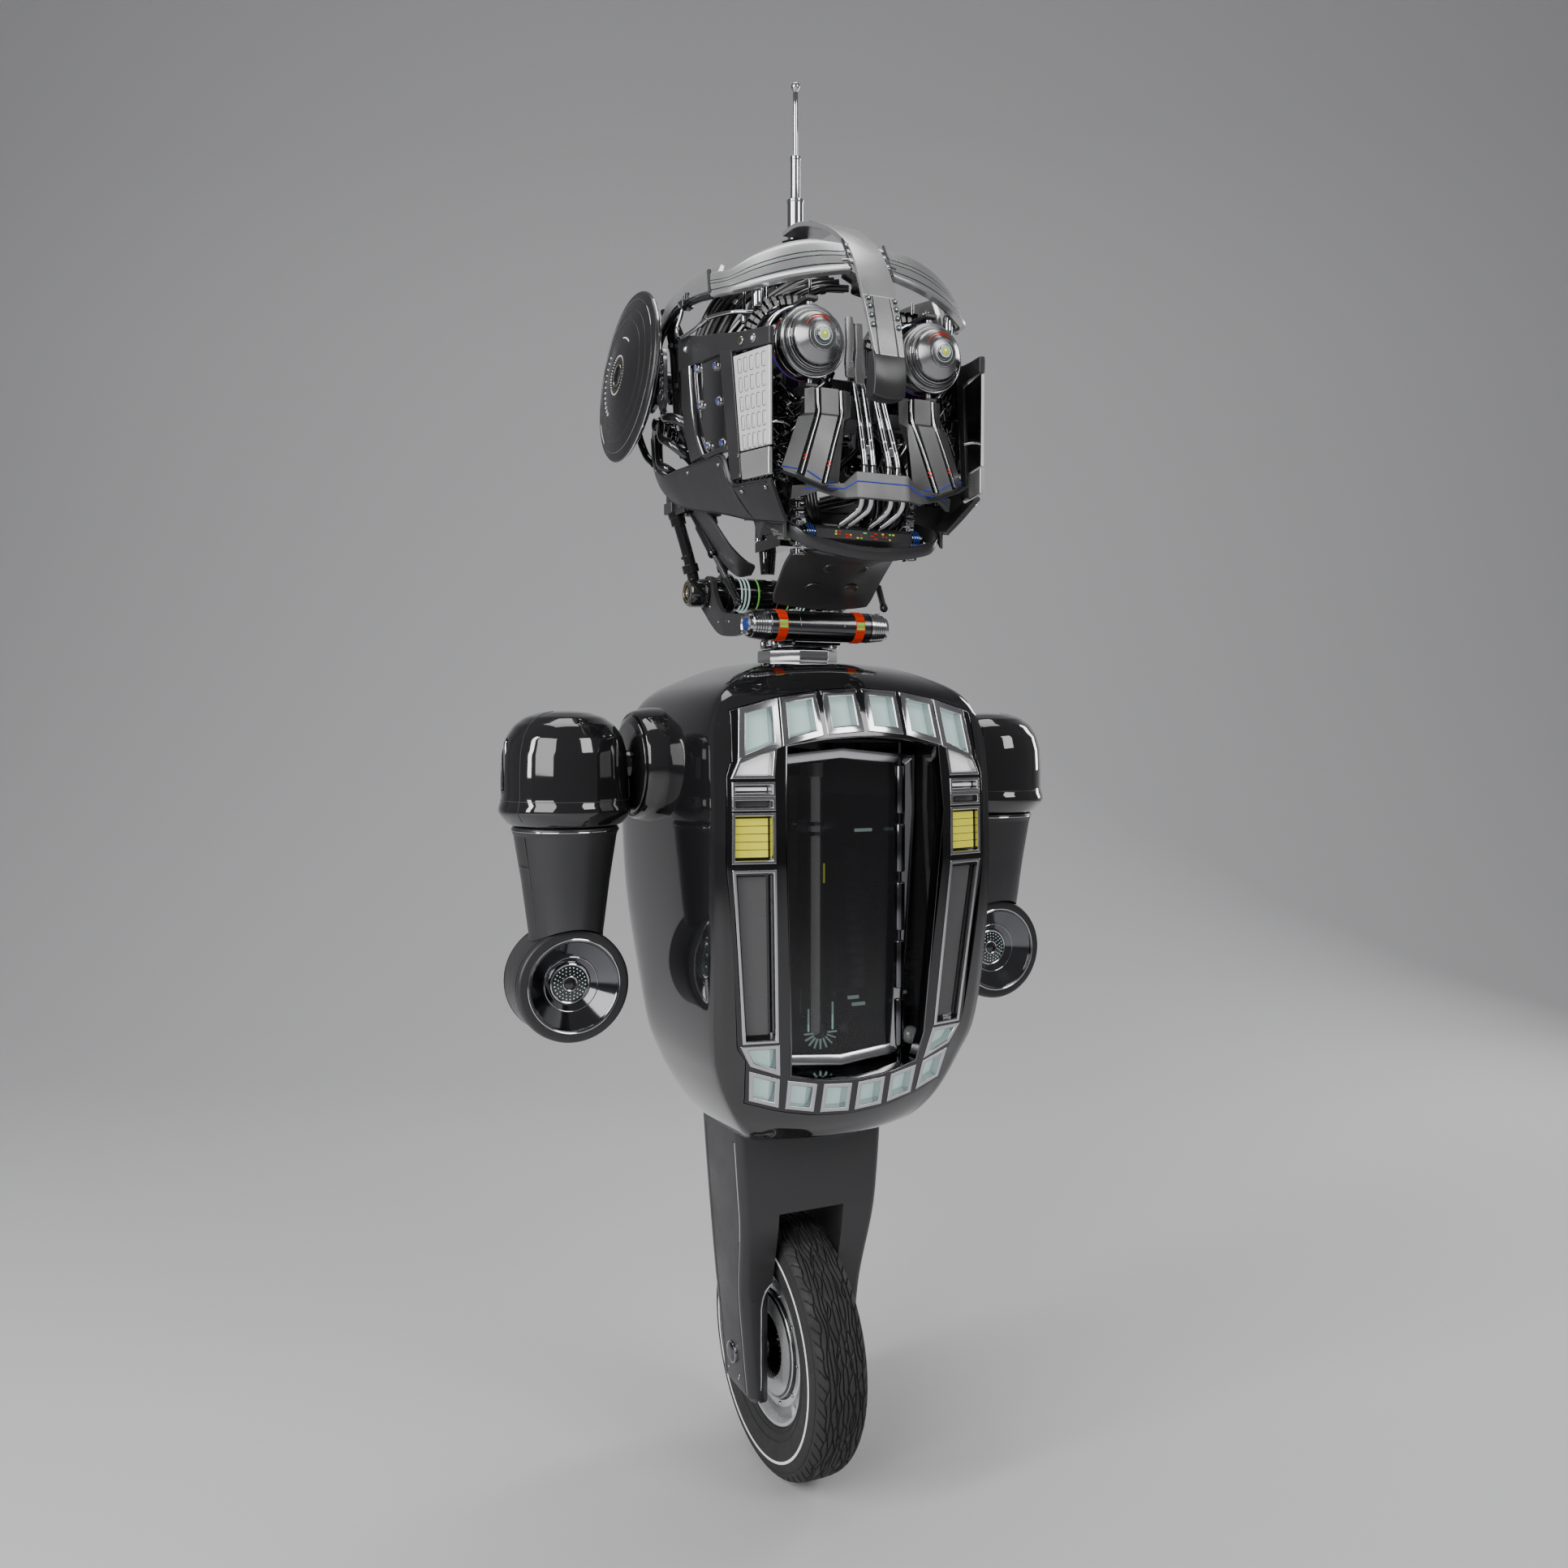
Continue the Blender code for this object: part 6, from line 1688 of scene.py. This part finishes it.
def build_mouth():
    bottom = [(-66, -144, 788), (-50, -155, 793), (-31, -160.4, 789), (-21, -161.6, 790)]
    top = [(-66, -146, 797.5), (-50, -157, 798), (-31, -158.6, 800), (-21, -159.4, 809)]
    rows = [row + [(-x, y, z) for x, y, z in reversed(row)] for row in (bottom, top)]
    front = facets(rows, (0, 1))
    band = plate(front, 3.4, (0, 1), (0, 1), (70, 6))
    piece("lip_band_plate", band, SOFT_GREY, "head", ["lip_band"], bevel=0.6, sharp=20)
    run = [front(k / 28, 0.62, 0.25) for k in range(2, 27)]
    piece("lip_blue_line", tube(run, 0.4, 8, 1), BLUE_LINE, "head")

    tops, lips = (-12, -5, 3, 9), (-8.5, -1.5, 11.5, 19)
    hooks, ends = (-10, -2.2, 14, 24), (-19, -12, 6, 15)
    tubes, cuffs, joints = [], [], []
    for a, b, c, d in zip(tops, lips, hooks, ends):
        points = [(a, -137, 877), (a * 0.6 + b * 0.4, -143, 850), (b, -147, 820), (b, -147, 806),
                  (c, -146.5, 794), (c, -142, 786), (0.5 * c + 0.5 * d, -136, 780), (d, -130.5, 775.5)]
        tubes.append(tube(points, 2.25, 16, 6))
        for low, high in ((0.2, 0.5), (0.55, 0.75)):
            start, stop = (Vector(points[1]).lerp(Vector(points[2]), share) for share in (low, high))
            cuffs.append(tube([start, stop], 2.75, 20))
        joints.append(tube([(d + 0.5, -131.5, 776.8), (d - 1, -129.5, 773)], 1.6, 12))
        joints.append(ring_tube((b, -147, 816), 2.6, 0.5, "Z", 24))
    piece("nose_pipes", merge(*tubes), CHROME, "head", ["nose_tubes"])
    piece("nose_pipe_cuffs", merge(*cuffs, *joints), DARK_CHROME, "head")
    clamp = [block((b - 6.8, b + 0.4), (-147.4, -142.5), (824, 831)) for b in (-1.5, 19)]
    piece("nose_pipe_clamps", merge(*clamp), CHROME, "head", bevel=0.8)

    y, z = -127, 768
    bar = loft([[(x, y + r * math.cos(a), z + r * math.sin(a))
                 for a in [math.pi * (k + 0.5) / 3 for k in range(6)]]
                for x, r in ((-41, 6.2), (-40, 6.8), (40, 6.8), (41, 6.2))])
    piece("mouth_bar_body", bar, SATIN, "head", ["mouth_bar"], bevel=0.4)
    ends = [(40, 42, 2, 6.4), (42.4, 44, 2, 6.6), (44.4, 46, 2, 6.6), (46.4, 48, 2, 6.4), (48, 50, 2, 5)]
    tips = banded((0, y, z), "X", ends, 40)
    piece("mouth_bar_collars", both(tips), DARK_CHROME, "head")
    blue = banded((0, y, z), "X", [(41.6, 42.6, 5, 6.9), (43.6, 44.6, 5, 6.9), (45.6, 46.6, 5, 6.9)], 40)
    piece("mouth_bar_rings", both(blue), BLUE, "head")
    draw = random.Random(3)
    looks = {"red": RED, "green": GREEN, "yellow": YELLOW}
    dots = {name: [] for name in looks}
    for x in range(-24, 25, 3):
        for level in (0, 1, 2):
            if draw.random() < 0.5 - 0.1 * abs(level - 1):
                name = draw.choice(("red", "red", "red", "green", "yellow"))
                width = draw.choice((0.6, 0.8, 1.3))
                base = z + 1.9 - 1.9 * level
                dots[name].append(block((x - width, x + width), (y - 6.4, y - 5.6),
                                        (base - 0.5, base + 0.5)))
    for name, look in looks.items():
        piece(f"mouth_dots_{name}", merge(*dots[name]), look, "head")
    pads = [block((s * 50 - 3, s * 50 + 3), (y - 2, y + 22), (z - 3, z + 3)) for s in (1, -1)]
    piece("mouth_bar_arms", merge(*pads), GLOSS, "head", bevel=1)


def build_jaw():
    left = [
        ((0, -146, 748), (0, -149, 757)), ((45, -142, 754), (47, -145, 763)),
        ((60, -130, 763), (62, -133, 774)), ((62, -105, 773), (65, -108, 783)),
        ((62, -60, 786), (65, -62, 798)),
    ]
    right = [((-low[0], *low[1:]), (-high[0], *high[1:])) for low, high in reversed(left[1:])]
    place = patch(right + left)
    piece("jaw_rail", plate(place, 3.4, steps=(96, 6), crown=1.1), FORK_BLACK, "jaw",
          ["jaw_frame"], bevel=0.8)
    piece("jaw_edge", line_on(place, [(k / 40, 0.97) for k in range(1, 40)], 0.5, 0.3, 8), GUNMETAL, "jaw")
    pivots = [bolt((65.5, -62, 792), (1, 0, 0), 3.4, 1.6), bolt((64, -92, 780), (1, -0.1, 0), 1.6, 1)]
    piece("jaw_pivots", both(*pivots), CHROME, "jaw")

    # Rows from the rail down: y, z, half width and how far the side edges stand above the middle
    saddle = [(-137, 750, 27, 2), (-126, 750.5, 32, 4), (-114, 750, 38, 8), (-103, 747.5, 43, 11),
              (-90, 741.5, 44.5, 10), (-76, 732.5, 43.8, 7), (-66, 725, 43.2, 4.5), (-61.5, 720.5, 41, 3.5)]
    curve = smooth([row[:3] for row in saddle], 8)
    rises = smooth([(row[3], 0, 0) for row in saddle], 8)

    def chin(u, t, lift=0.0):
        spot = min(int(t * (len(curve) - 1)), len(curve) - 2)
        part = t * (len(curve) - 1) - spot
        y, z, width = curve[spot].lerp(curve[spot + 1], part)
        rise = rises[spot].lerp(rises[spot + 1], part).x
        return Vector((u * width, y - 0.35 * lift, z + rise * abs(u) ** 2.2 - 0.9 * lift))

    rings = []
    for k in range(41):
        t = k / 40
        outer = [chin(-1 + i / 12, t, 1.2) for i in range(25)]
        inner = [chin(-1 + i / 12, t, -1.6) for i in range(25)]
        rings.append(outer + inner[::-1])
    piece("chin_saddle", loft(rings), SATIN, "jaw", ["chin_plate"], bevel=0.9, sharp=40)
    bosses = []
    for u, t in ((-0.27, 0.44), (0.27, 0.44), (-0.36, 0.68), (0.36, 0.68)):
        at = chin(u, t, 1.2)
        out = (chin(u, t, 2) - chin(u, t, 1)).normalized()
        disc = rounded([(0, -0.2), (5, -0.2), (5.4, 0.5), (6.6, 0.5), (6.8, -1), (0, -1)], 0.3)
        bosses.append(aimed(lathe(disc, "Z", (0, 0, 0), 48), at, out))
    piece("chin_bosses", merge(*bosses), FORK_BLACK, "jaw")


# ---------------------------------------------------------------- eyes, ears, antenna

def build_eye(side, name):
    at = (EYE.x, 0, EYE.z)
    f = EYE.y
    body = f"eye_{name}"
    front = [
        (0, f - 22), (3, f - 22.4), (9.8, f - 21.3), (10.2, f - 20.4), (10.6, f - 20.4), (17.4, f - 15.6),
        (18.6, f - 14), (19.4, f - 12), (19.4, f - 10.8), (20.6, f - 10.8), (21.6, f - 9.6),
        (21.6, f - 7.6), (21, f - 7), (23.6, f - 6.6), (25, f - 5), (25.6, f - 3), (25.6, f + 1),
        (25, f + 2.4), (23.2, f + 3), (23.2, f + 4.4), (24.4, f + 5), (24.4, f + 7), (23.4, f + 8),
        (23.4, f + 9), (24, f + 9.6), (24, f + 12), (22.6, f + 14), (22.6, f + 16), (20, f + 18),
        (16, f + 19), (14, f + 24), (12, f + 25), (0, f + 25),
    ]
    pin = rod(2.5, EYE.z - 28.6, EYE.z + 28.6, "Z", (EYE.x, f, 0), 24)
    piece(f"eye_barrel_{name}", mirror(merge(lathe(rounded(front, 0.5, 2), "Y", at, 128), pin), side),
          EYE_GREY, body, [body], sharp=20)
    dark = banded(at, "Y",
                  [(f - 10.9, f - 9.4, 18, 20.8), (f - 7.2, f - 6, 20, 22.4), (f + 2.6, f + 4.6, 22, 24.2),
                   (f + 8.2, f + 9.4, 22, 23.9)], 96)
    piece(f"eye_gaskets_{name}", mirror(dark, side), GLOSS, body)
    rims = [ring_tube((EYE.x, y, EYE.z), radius, wire, "Y", 96)
            for y, radius, wire in (
                (f - 20.7, 10.3, 0.45), (f - 10.8, 19.6, 0.5), (f - 4.8, 25.1, 0.6), (f - 21.9, 5.2, 0.35),
                (f - 7.4, 21.6, 0.35)
            )]
    piece(f"eye_rims_{name}", mirror(merge(*rims), side), CHROME, body)
    lens = [(0, f - 24), (3.6, f - 24), (4.6, f - 23), (4.6, f - 22), (0, f - 22)]
    piece(f"eye_iris_{name}", mirror(lathe(lens, "Y", at, 48), side), GUNMETAL, body)
    halo = merge(ring_tube((EYE.x, f - 24, EYE.z), 3.9, 0.3, "Y", 48),
                 ring_tube((EYE.x, f - 21.9, EYE.z), 7, 0.16, "Y", 64))
    piece(f"eye_halo_{name}", mirror(halo, side), CYAN, body)
    pupil = [(0, f - 25), (1.6, f - 24.9), (2.6, f - 24.5), (2.9, f - 23.6), (0, f - 23.6)]
    piece(f"eye_pupil_{name}", mirror(lathe(pupil, "Y", at, 32), side), PUPIL, body)
    arcs = []
    for first, last, radius, y in ((60, 150, 13.4, f - 18.7), (66, 120, 15.2, f - 17.45)):
        run = [math.radians(first + (last - first) * k / 12) for k in range(13)]
        arcs.append(tube([(EYE.x + radius * math.cos(a), y, EYE.z + radius * math.sin(a)) for a in run],
                         0.22, 8, 1))
    if side < 0:  # the arcs lean the same way in both eyes
        arcs = [([(2 * EYE.x - x, y, z) for x, y, z in shape[0]], shape[1]) for shape in arcs]
    piece(f"eye_arcs_{name}", mirror(merge(*arcs), side), RED, body)
    red = [ring_tube((EYE.x, f + 11.4, EYE.z), 23.95, 0.2, "Y", 96)]
    blue = [ring_tube((EYE.x, f + y, EYE.z), r, 0.45, "Y", 96)
            for y, r in ((13.4, 23.2), (15.2, 22.8), (16.8, 21.9))]
    piece(f"eye_red_ring_{name}", mirror(merge(*red), side), RED, body)
    piece(f"eye_blue_rings_{name}", mirror(merge(*blue), side), BLUE_LINE, body)


def build_eye_lids():
    pads, frames = [], []
    for k in range(13):
        turn = math.radians(28 + 10.4 * k)
        pads.append(ring_segment((EYE.x, -126, EYE.z), 28.6, turn, 4.9, 1.1))
    arc = [math.radians(24 + 12 * k) for k in range(12)]
    frames.append(tube([(EYE.x + 29.4 * math.cos(a), -122.5, EYE.z + 29.4 * math.sin(a)) for a in arc], 1.3,
                       10, 3))
    frames.append(tube([(EYE.x + 29.4 * math.cos(a), -129.5, EYE.z + 28.6 * math.sin(a)) for a in arc], 0.9,
                       10, 3))
    piece("lid_segments", both(*pads), PLATE, "head", bevel=0.5)
    piece("lid_rails", both(*frames), CHROME, "head")
    low = [math.radians(200 + 14 * k) for k in range(11)]
    under = [
        tube([(EYE.x + 30 * math.cos(a), -121, EYE.z + 30 * math.sin(a)) for a in low], 1.4, 10, 3),
        tube([(EYE.x + 33 * math.cos(a), -116, EYE.z + 33 * math.sin(a)) for a in low], 2.2, 10, 3),
    ]
    piece("socket_hoops", both(*under), GLOSS, "head")


def build_ears():
    at = (0, EAR.y, EAR.z)
    stub = [
        (0, 92.4), (13.4, 92.4), (14, 93), (14, 97.4), (24.6, 97.4), (26, 98.6), (26, 101.8), (24.6, 103),
        (12, 103), (12, 108), (6, 108), (6, 117.4), (5.4, 118), (0, 118),
    ]
    names = ["ear_bracket_left", "ear_bracket_right"]
    piece("ear_stubs", both(lathe(stub, "X", at, 72)), DARK_CHROME, "head", names,
          sharp=25)
    arch = patch([
        ((99, -82, 946), (92, -80, 968)), ((99, -40, 953), (92, -38, 973)), ((99, 0, 955), (92, 1, 974)),
        ((100, 34, 940), (94, 36, 966)), ((100, EAR.y + 6, 905), (97.5, EAR.y + 12, 925)),
    ])
    piece("ear_arches", both(plate(arch, 3.6, steps=(60, 6), crown=1.2)), PLATE, "head",
          bevel=0.7)
    under = line_on(arch, [(0.02 + 0.96 * k / 20, -0.06) for k in range(21)], 2.2, -2.4, 12)
    edge = line_on(arch, [(0.02 + 0.96 * k / 20, 0.03) for k in range(21)], 0.6, 0.7, 8)
    piece("ear_arch_hoses", both(under), HOSE, "head")
    piece("ear_arch_edges", both(edge), CHROME, "head")
    bracket = [(-6, 22), (-10, 26), (-14, 18), (-14, -18), (-10, -26), (-4, -24), (4, -8), (4, 8)]
    spot = (EAR.y - 22, EAR.z - 6)
    outline = [(spot[0] + a, spot[1] + b) for a, b in rounded(bracket, 3, 4, closed=True)]
    bores = ((-9, 17, 2.6), (-9.5, 8, 3), (-9.5, -2, 3), (-9, -12, 3.4))
    holes = [rod(r, 80, 120, "X", (0, spot[0] + a, spot[1] + b), 24) for a, b, r in bores]
    shape = prism(outline, "X", 99, 102.4)
    piece("ear_side_brackets", both(shape), PLATE, "head", bevel=0.6,
          cuts=holes + [mirror(hole, -1) for hole in holes])
    rims = [ring_tube((102.6, spot[0] + a, spot[1] + b), r + 0.6, 0.5, "X", 28) for a, b, r in bores]
    clip = [block((94, 104), (-32, -22), (949, 955)), block((97, 100), (-31, -27), (953, 961)),
            block((97, 100), (-26, -22.6), (953, 960))]
    piece("ear_bracket_rims", both(*rims), CHROME, "head")
    piece("ear_clips", both(*clip), DARK_CHROME, "head", bevel=0.6)
    pushrod = [(100, -25, 954), (101.5, -22, 944), (104, -20, 934), (107, -34, 924), (105, -60, 924),
               (101, -76, 928), (92, -100, 927), (79, -110, 926), (66, -114, 929), (58, -112, 937)]
    cuff = tube([(103, -66, 925.6), (101, -76, 928)], 2.1, 16)
    piece("ear_pushrods", both(tube(pushrod, 1.5, 14, 6), cuff), CHROME, "head")
    hoses = [
        tube([(98, 24, 880), (104, 4, 872), (103, -14, 868), (92, -24, 858), (80, -20, 842)], 4, 14, 6),
        tube([(99, 30, 872), (105, 12, 858), (103, -4, 850), (92, -10, 840), (80, -6, 830)], 3.4, 14, 6),
        tube([(96, 44, 866), (100, 30, 842), (98, 20, 836), (92, 18, 832)], 3.4, 14, 6),
        tube([(98, 70, 900), (102, 78, 880), (96, 76, 858), (92, 66, 848)], 3.2, 14, 6),
    ]
    piece("ear_hoses", both(*hoses), GLOSS, "head")
    motors = []
    for y, z, r, low, high in ((18, 892, 8, 60, 97), (-4, 868, 7, 62, 95), (30, 866, 9, 58, 93),
                               (62, 880, 7, 60, 95), (6, 846, 6, 60, 92)):
        body = [(0, low), (r, low), (r, high - 6), (r * 0.72, high - 5), (r * 0.72, high - 1), (0, high)]
        motors.append(lathe(rounded(body, 0.8), "X", (0, y, z), 32))
    piece("ear_servos", both(*motors), DARK_CHROME, "head")


def build_dish(side, name):
    face = EAR.x + 8
    centre = (EAR.x, EAR.y, EAR.z)
    at = (0, EAR.y, EAR.z)
    body = f"ear_dish_{name}"

    def tilted(shape):
        return mirror(turned(shape, -EAR_TILT, "Y", centre), side)

    dish = [
        (7.2, EAR.x - 3), (39, EAR.x - 3), (41, EAR.x - 2.6), (63.4, EAR.x + 1), (65.4, EAR.x + 2),
        (68.2, EAR.x + 4.4), (68.4, EAR.x + 5.2), (68.2, EAR.x + 6.6), (66.9, face), (65.8, face),
        (60.4, face + 1), (44, face + 4), (22, face + 7.5), (17.5, face + 8), (16.5, face + 8),
        (15.5, face + 6.9), (9.4, face + 6.6), (8.6, face + 7.6), (7.2, face + 7.6),
    ]
    piece(f"dish_shell_{name}", tilted(lathe(rounded(dish, 0.6, 2, closed=True), "X", at, 160)), DISH, body,
          [body], sharp=30)
    rims = [ring_tube((x, EAR.y, EAR.z), radius, wire, "X", 160) for x, radius, wire in (
        (EAR.x + 5.2, 67.7, 0.95), (face + 0.9, 61.4, 0.25), (face + 7.5, 8.8, 0.3))]
    rims.append(banded(at, "X", [(EAR.x + 2.4, EAR.x + 4, 60, 66.6)], 160))
    piece(f"dish_rims_{name}", tilted(merge(*rims)), CHROME, body)
    dots = [around(block((face + 6.4, face + 7.8), (EAR.y - 0.3, EAR.y + 0.3), (EAR.z + 15.1, EAR.z + 16)),
                   40, "X", at)]
    mark = block((face + 4.6, face + 6.2), (EAR.y - 0.35, EAR.y + 0.35), (EAR.z + 33, EAR.z + 35.6))
    dots += [turned(mark, math.radians(-52 - 8.2 * k), "X", at) for k in range(12)]
    slip = [(face + 6.2, EAR.y + 30 * math.cos(a), EAR.z + 30 * math.sin(a))
            for a in [math.radians(98 + 4 * k) for k in range(9)]]
    piece(f"dish_dots_{name}", tilted(merge(*dots, tube(slip, 0.5, 8, 2))), STRIPE, body)
    olive = around(block((face + 6.4, face + 7.2), (EAR.y - 0.35, EAR.y + 0.35), (EAR.z + 9.8, EAR.z + 11)),
                   26, "X", at)
    piece(f"dish_olive_marks_{name}", tilted(olive), BRASS, body)
    plug = lathe([(0, face + 6.4), (5, face + 6.4), (6.6, face + 5.8), (6.6, face - 4), (0, face - 4)], "X",
                 at, 48)
    piece(f"dish_plug_{name}", tilted(plug), DARK_CHROME, body)
    groove = [ring_tube((face + out, EAR.y, EAR.z), radius, 0.3, "X", 128)
              for radius, out in ((44, 4), (52.5, 2.4))]
    piece(f"dish_grooves_{name}", tilted(merge(*groove)), SATIN, body)


def build_antenna():
    spot = (0, -16, 0)
    base = [(4.4, 976), (6, 976), (6.6, 1008), (6.6, 1049), (7, 1049.6), (7, 1051.4), (6.2, 1052),
            (4.4, 1052)]
    piece("antenna_lower", lathe(rounded(base, 0.4, 2, closed=True), "Z", spot, 48), CHROME, "head",
          ["antenna_base"], sharp=25)
    nut = loft([[(x, y, z) for x, y in polygon(r, 6, (0, -16))]
                for z, r in ((1012.4, 11), (1013, 12), (1017.6, 12), (1018.2, 11))])
    bore = rod(6.7, 1000, 1030, "Z", spot, 48)
    piece("antenna_nut", nut, DARK_CHROME, "head", bevel=0.3, cuts=[bore])
    middle = [(2.4, 1036), (4, 1036), (4, 1083), (4.3, 1083.6), (4.3, 1086), (3.8, 1086.5), (2.4, 1086.5)]
    piece("antenna_centre", lathe(rounded(middle, 0.3, 2, closed=True), "Z", spot, 40), CHROME,
          "antenna_middle", ["antenna_middle"], sharp=25)
    top = 1141
    tip = [(0, 1074), (2, 1074), (2, top - 4), (1.5, top - 3.4), (2.4, top - 2.4), (3.4, top - 1),
           (3.6, top + 0.6), (3.2, top + 2.2), (2.2, top + 3.3), (0, top + 3.6)]
    piece("antenna_upper", lathe(rounded(tip, 0.3, 2), "Z", spot, 40), CHROME, "antenna_tip",
          ["antenna_tip"], sharp=25)


# ---------------------------------------------------------------- setting

# Metres and degrees, as the photo's camera was solved
CAMERA_AT = (-0.4701, -0.9813, 0.628)
CAMERA_TILT = 90 - 2.522
CAMERA_TURN = -25.475
CAMERA_LENS = 30.0
BACKDROP_TURN = -25.5
FLOOR_REACH = 9.0
SWEEP_START = 1.2
SWEEP_RADIUS = 1.8


def build_stage():
    """A floor that sweeps up into the backdrop behind the robot."""
    turns = [math.radians(9 * k) for k in range(1, 11)]
    sweep = [(SWEEP_START + SWEEP_RADIUS * math.sin(a), SWEEP_RADIUS - SWEEP_RADIUS * math.cos(a))
             for a in turns]
    route = [(-FLOOR_REACH, 0.0), (SWEEP_START, 0.0)] + sweep + [(SWEEP_START + SWEEP_RADIUS, FLOOR_REACH)]
    rings = [[(-FLOOR_REACH, y, z), (FLOOR_REACH, y, z)] for y, z in route]
    verts = [point for ring in rings for point in ring]
    faces = [(2 * k, 2 * k + 1, 2 * k + 3, 2 * k + 2) for k in range(len(rings) - 1)]
    mesh = bpy.data.meshes.new("studio_floor")
    mesh.from_pydata(verts, [], faces)
    mesh.shade_smooth()
    floor = bpy.data.objects.new("studio_floor", mesh)
    bpy.context.scene.collection.objects.link(floor)
    floor.rotation_euler.z = math.radians(BACKDROP_TURN)
    paint = bpy.data.materials.new("pale_floor")
    paint.use_nodes = True
    shader = paint.node_tree.nodes["Principled BSDF"]
    shader.inputs["Base Color"].default_value = (0.62, 0.62, 0.63, 1)
    shader.inputs["Roughness"].default_value = 0.7
    shader.inputs["Specular IOR Level"].default_value = 0.2
    mesh.materials.append(paint)


def softbox(name, at, look_at, size, watts):
    lamp = bpy.data.lights.new(name, "AREA")
    lamp.shape = "RECTANGLE"
    lamp.size, lamp.size_y = size
    lamp.energy = watts
    made = bpy.data.objects.new(name, lamp)
    bpy.context.scene.collection.objects.link(made)
    made.location = at
    made.rotation_euler = (Vector(look_at) - Vector(at)).to_track_quat("-Z", "Y").to_euler()


def build_lights():
    world = bpy.data.worlds.new("soft_room")
    bpy.context.scene.world = world
    world.use_nodes = True
    world.node_tree.nodes["Background"].inputs["Color"].default_value = (0.3, 0.3, 0.31, 1)
    world.node_tree.nodes["Background"].inputs["Strength"].default_value = 0.5
    softbox("key_left", (-2.1, -1.5, 1.6), (0, -0.05, 0.7), (1.6, 1.8), 46)
    softbox("strip_left", (-2.0, -0.3, 1.4), (0, -0.05, 0.7), (0.26, 1.6), 24)
    softbox("key_right", (0.9, -2.0, 1.9), (0, -0.05, 0.75), (0.9, 0.9), 18)
    softbox("rim_right", (1.9, 0.4, 1.2), (0, 0, 0.7), (0.35, 1.3), 14)
    softbox("top", (0, 0.1, 2.6), (0, 0, 0.8), (1.6, 1.2), 20)


def build_camera():
    data = bpy.data.cameras.new("photo_camera")
    data.lens, data.sensor_width = CAMERA_LENS, 36.0
    made = bpy.data.objects.new("photo_camera", data)
    bpy.context.scene.collection.objects.link(made)
    made.location = CAMERA_AT
    made.rotation_euler = (math.radians(CAMERA_TILT), 0, math.radians(CAMERA_TURN))
    bpy.context.scene.camera = made


build_tyre()
build_rim()
build_hub()
build_fork()
build_torso_skin()
build_bezel()
build_chest()
build_inside()
build_shoulder_shaft()
for side, name in SIDES:
    build_arm(side, name)
build_neck_base()
build_front_cylinder()
build_neck_link()
build_struts()
for side, name in SIDES:
    build_gas_spring(side, name)
build_skull()
build_hoses()
build_lattice()
build_jaw_links()
build_strap()
build_brows()
build_cheeks()
build_skirts()
build_nose_guards()
build_mouth()
build_jaw()
for side, name in SIDES:
    build_eye(side, name)
    build_dish(side, name)
build_eye_lids()
build_ears()
build_antenna()
build_stage()
build_lights()
build_camera()
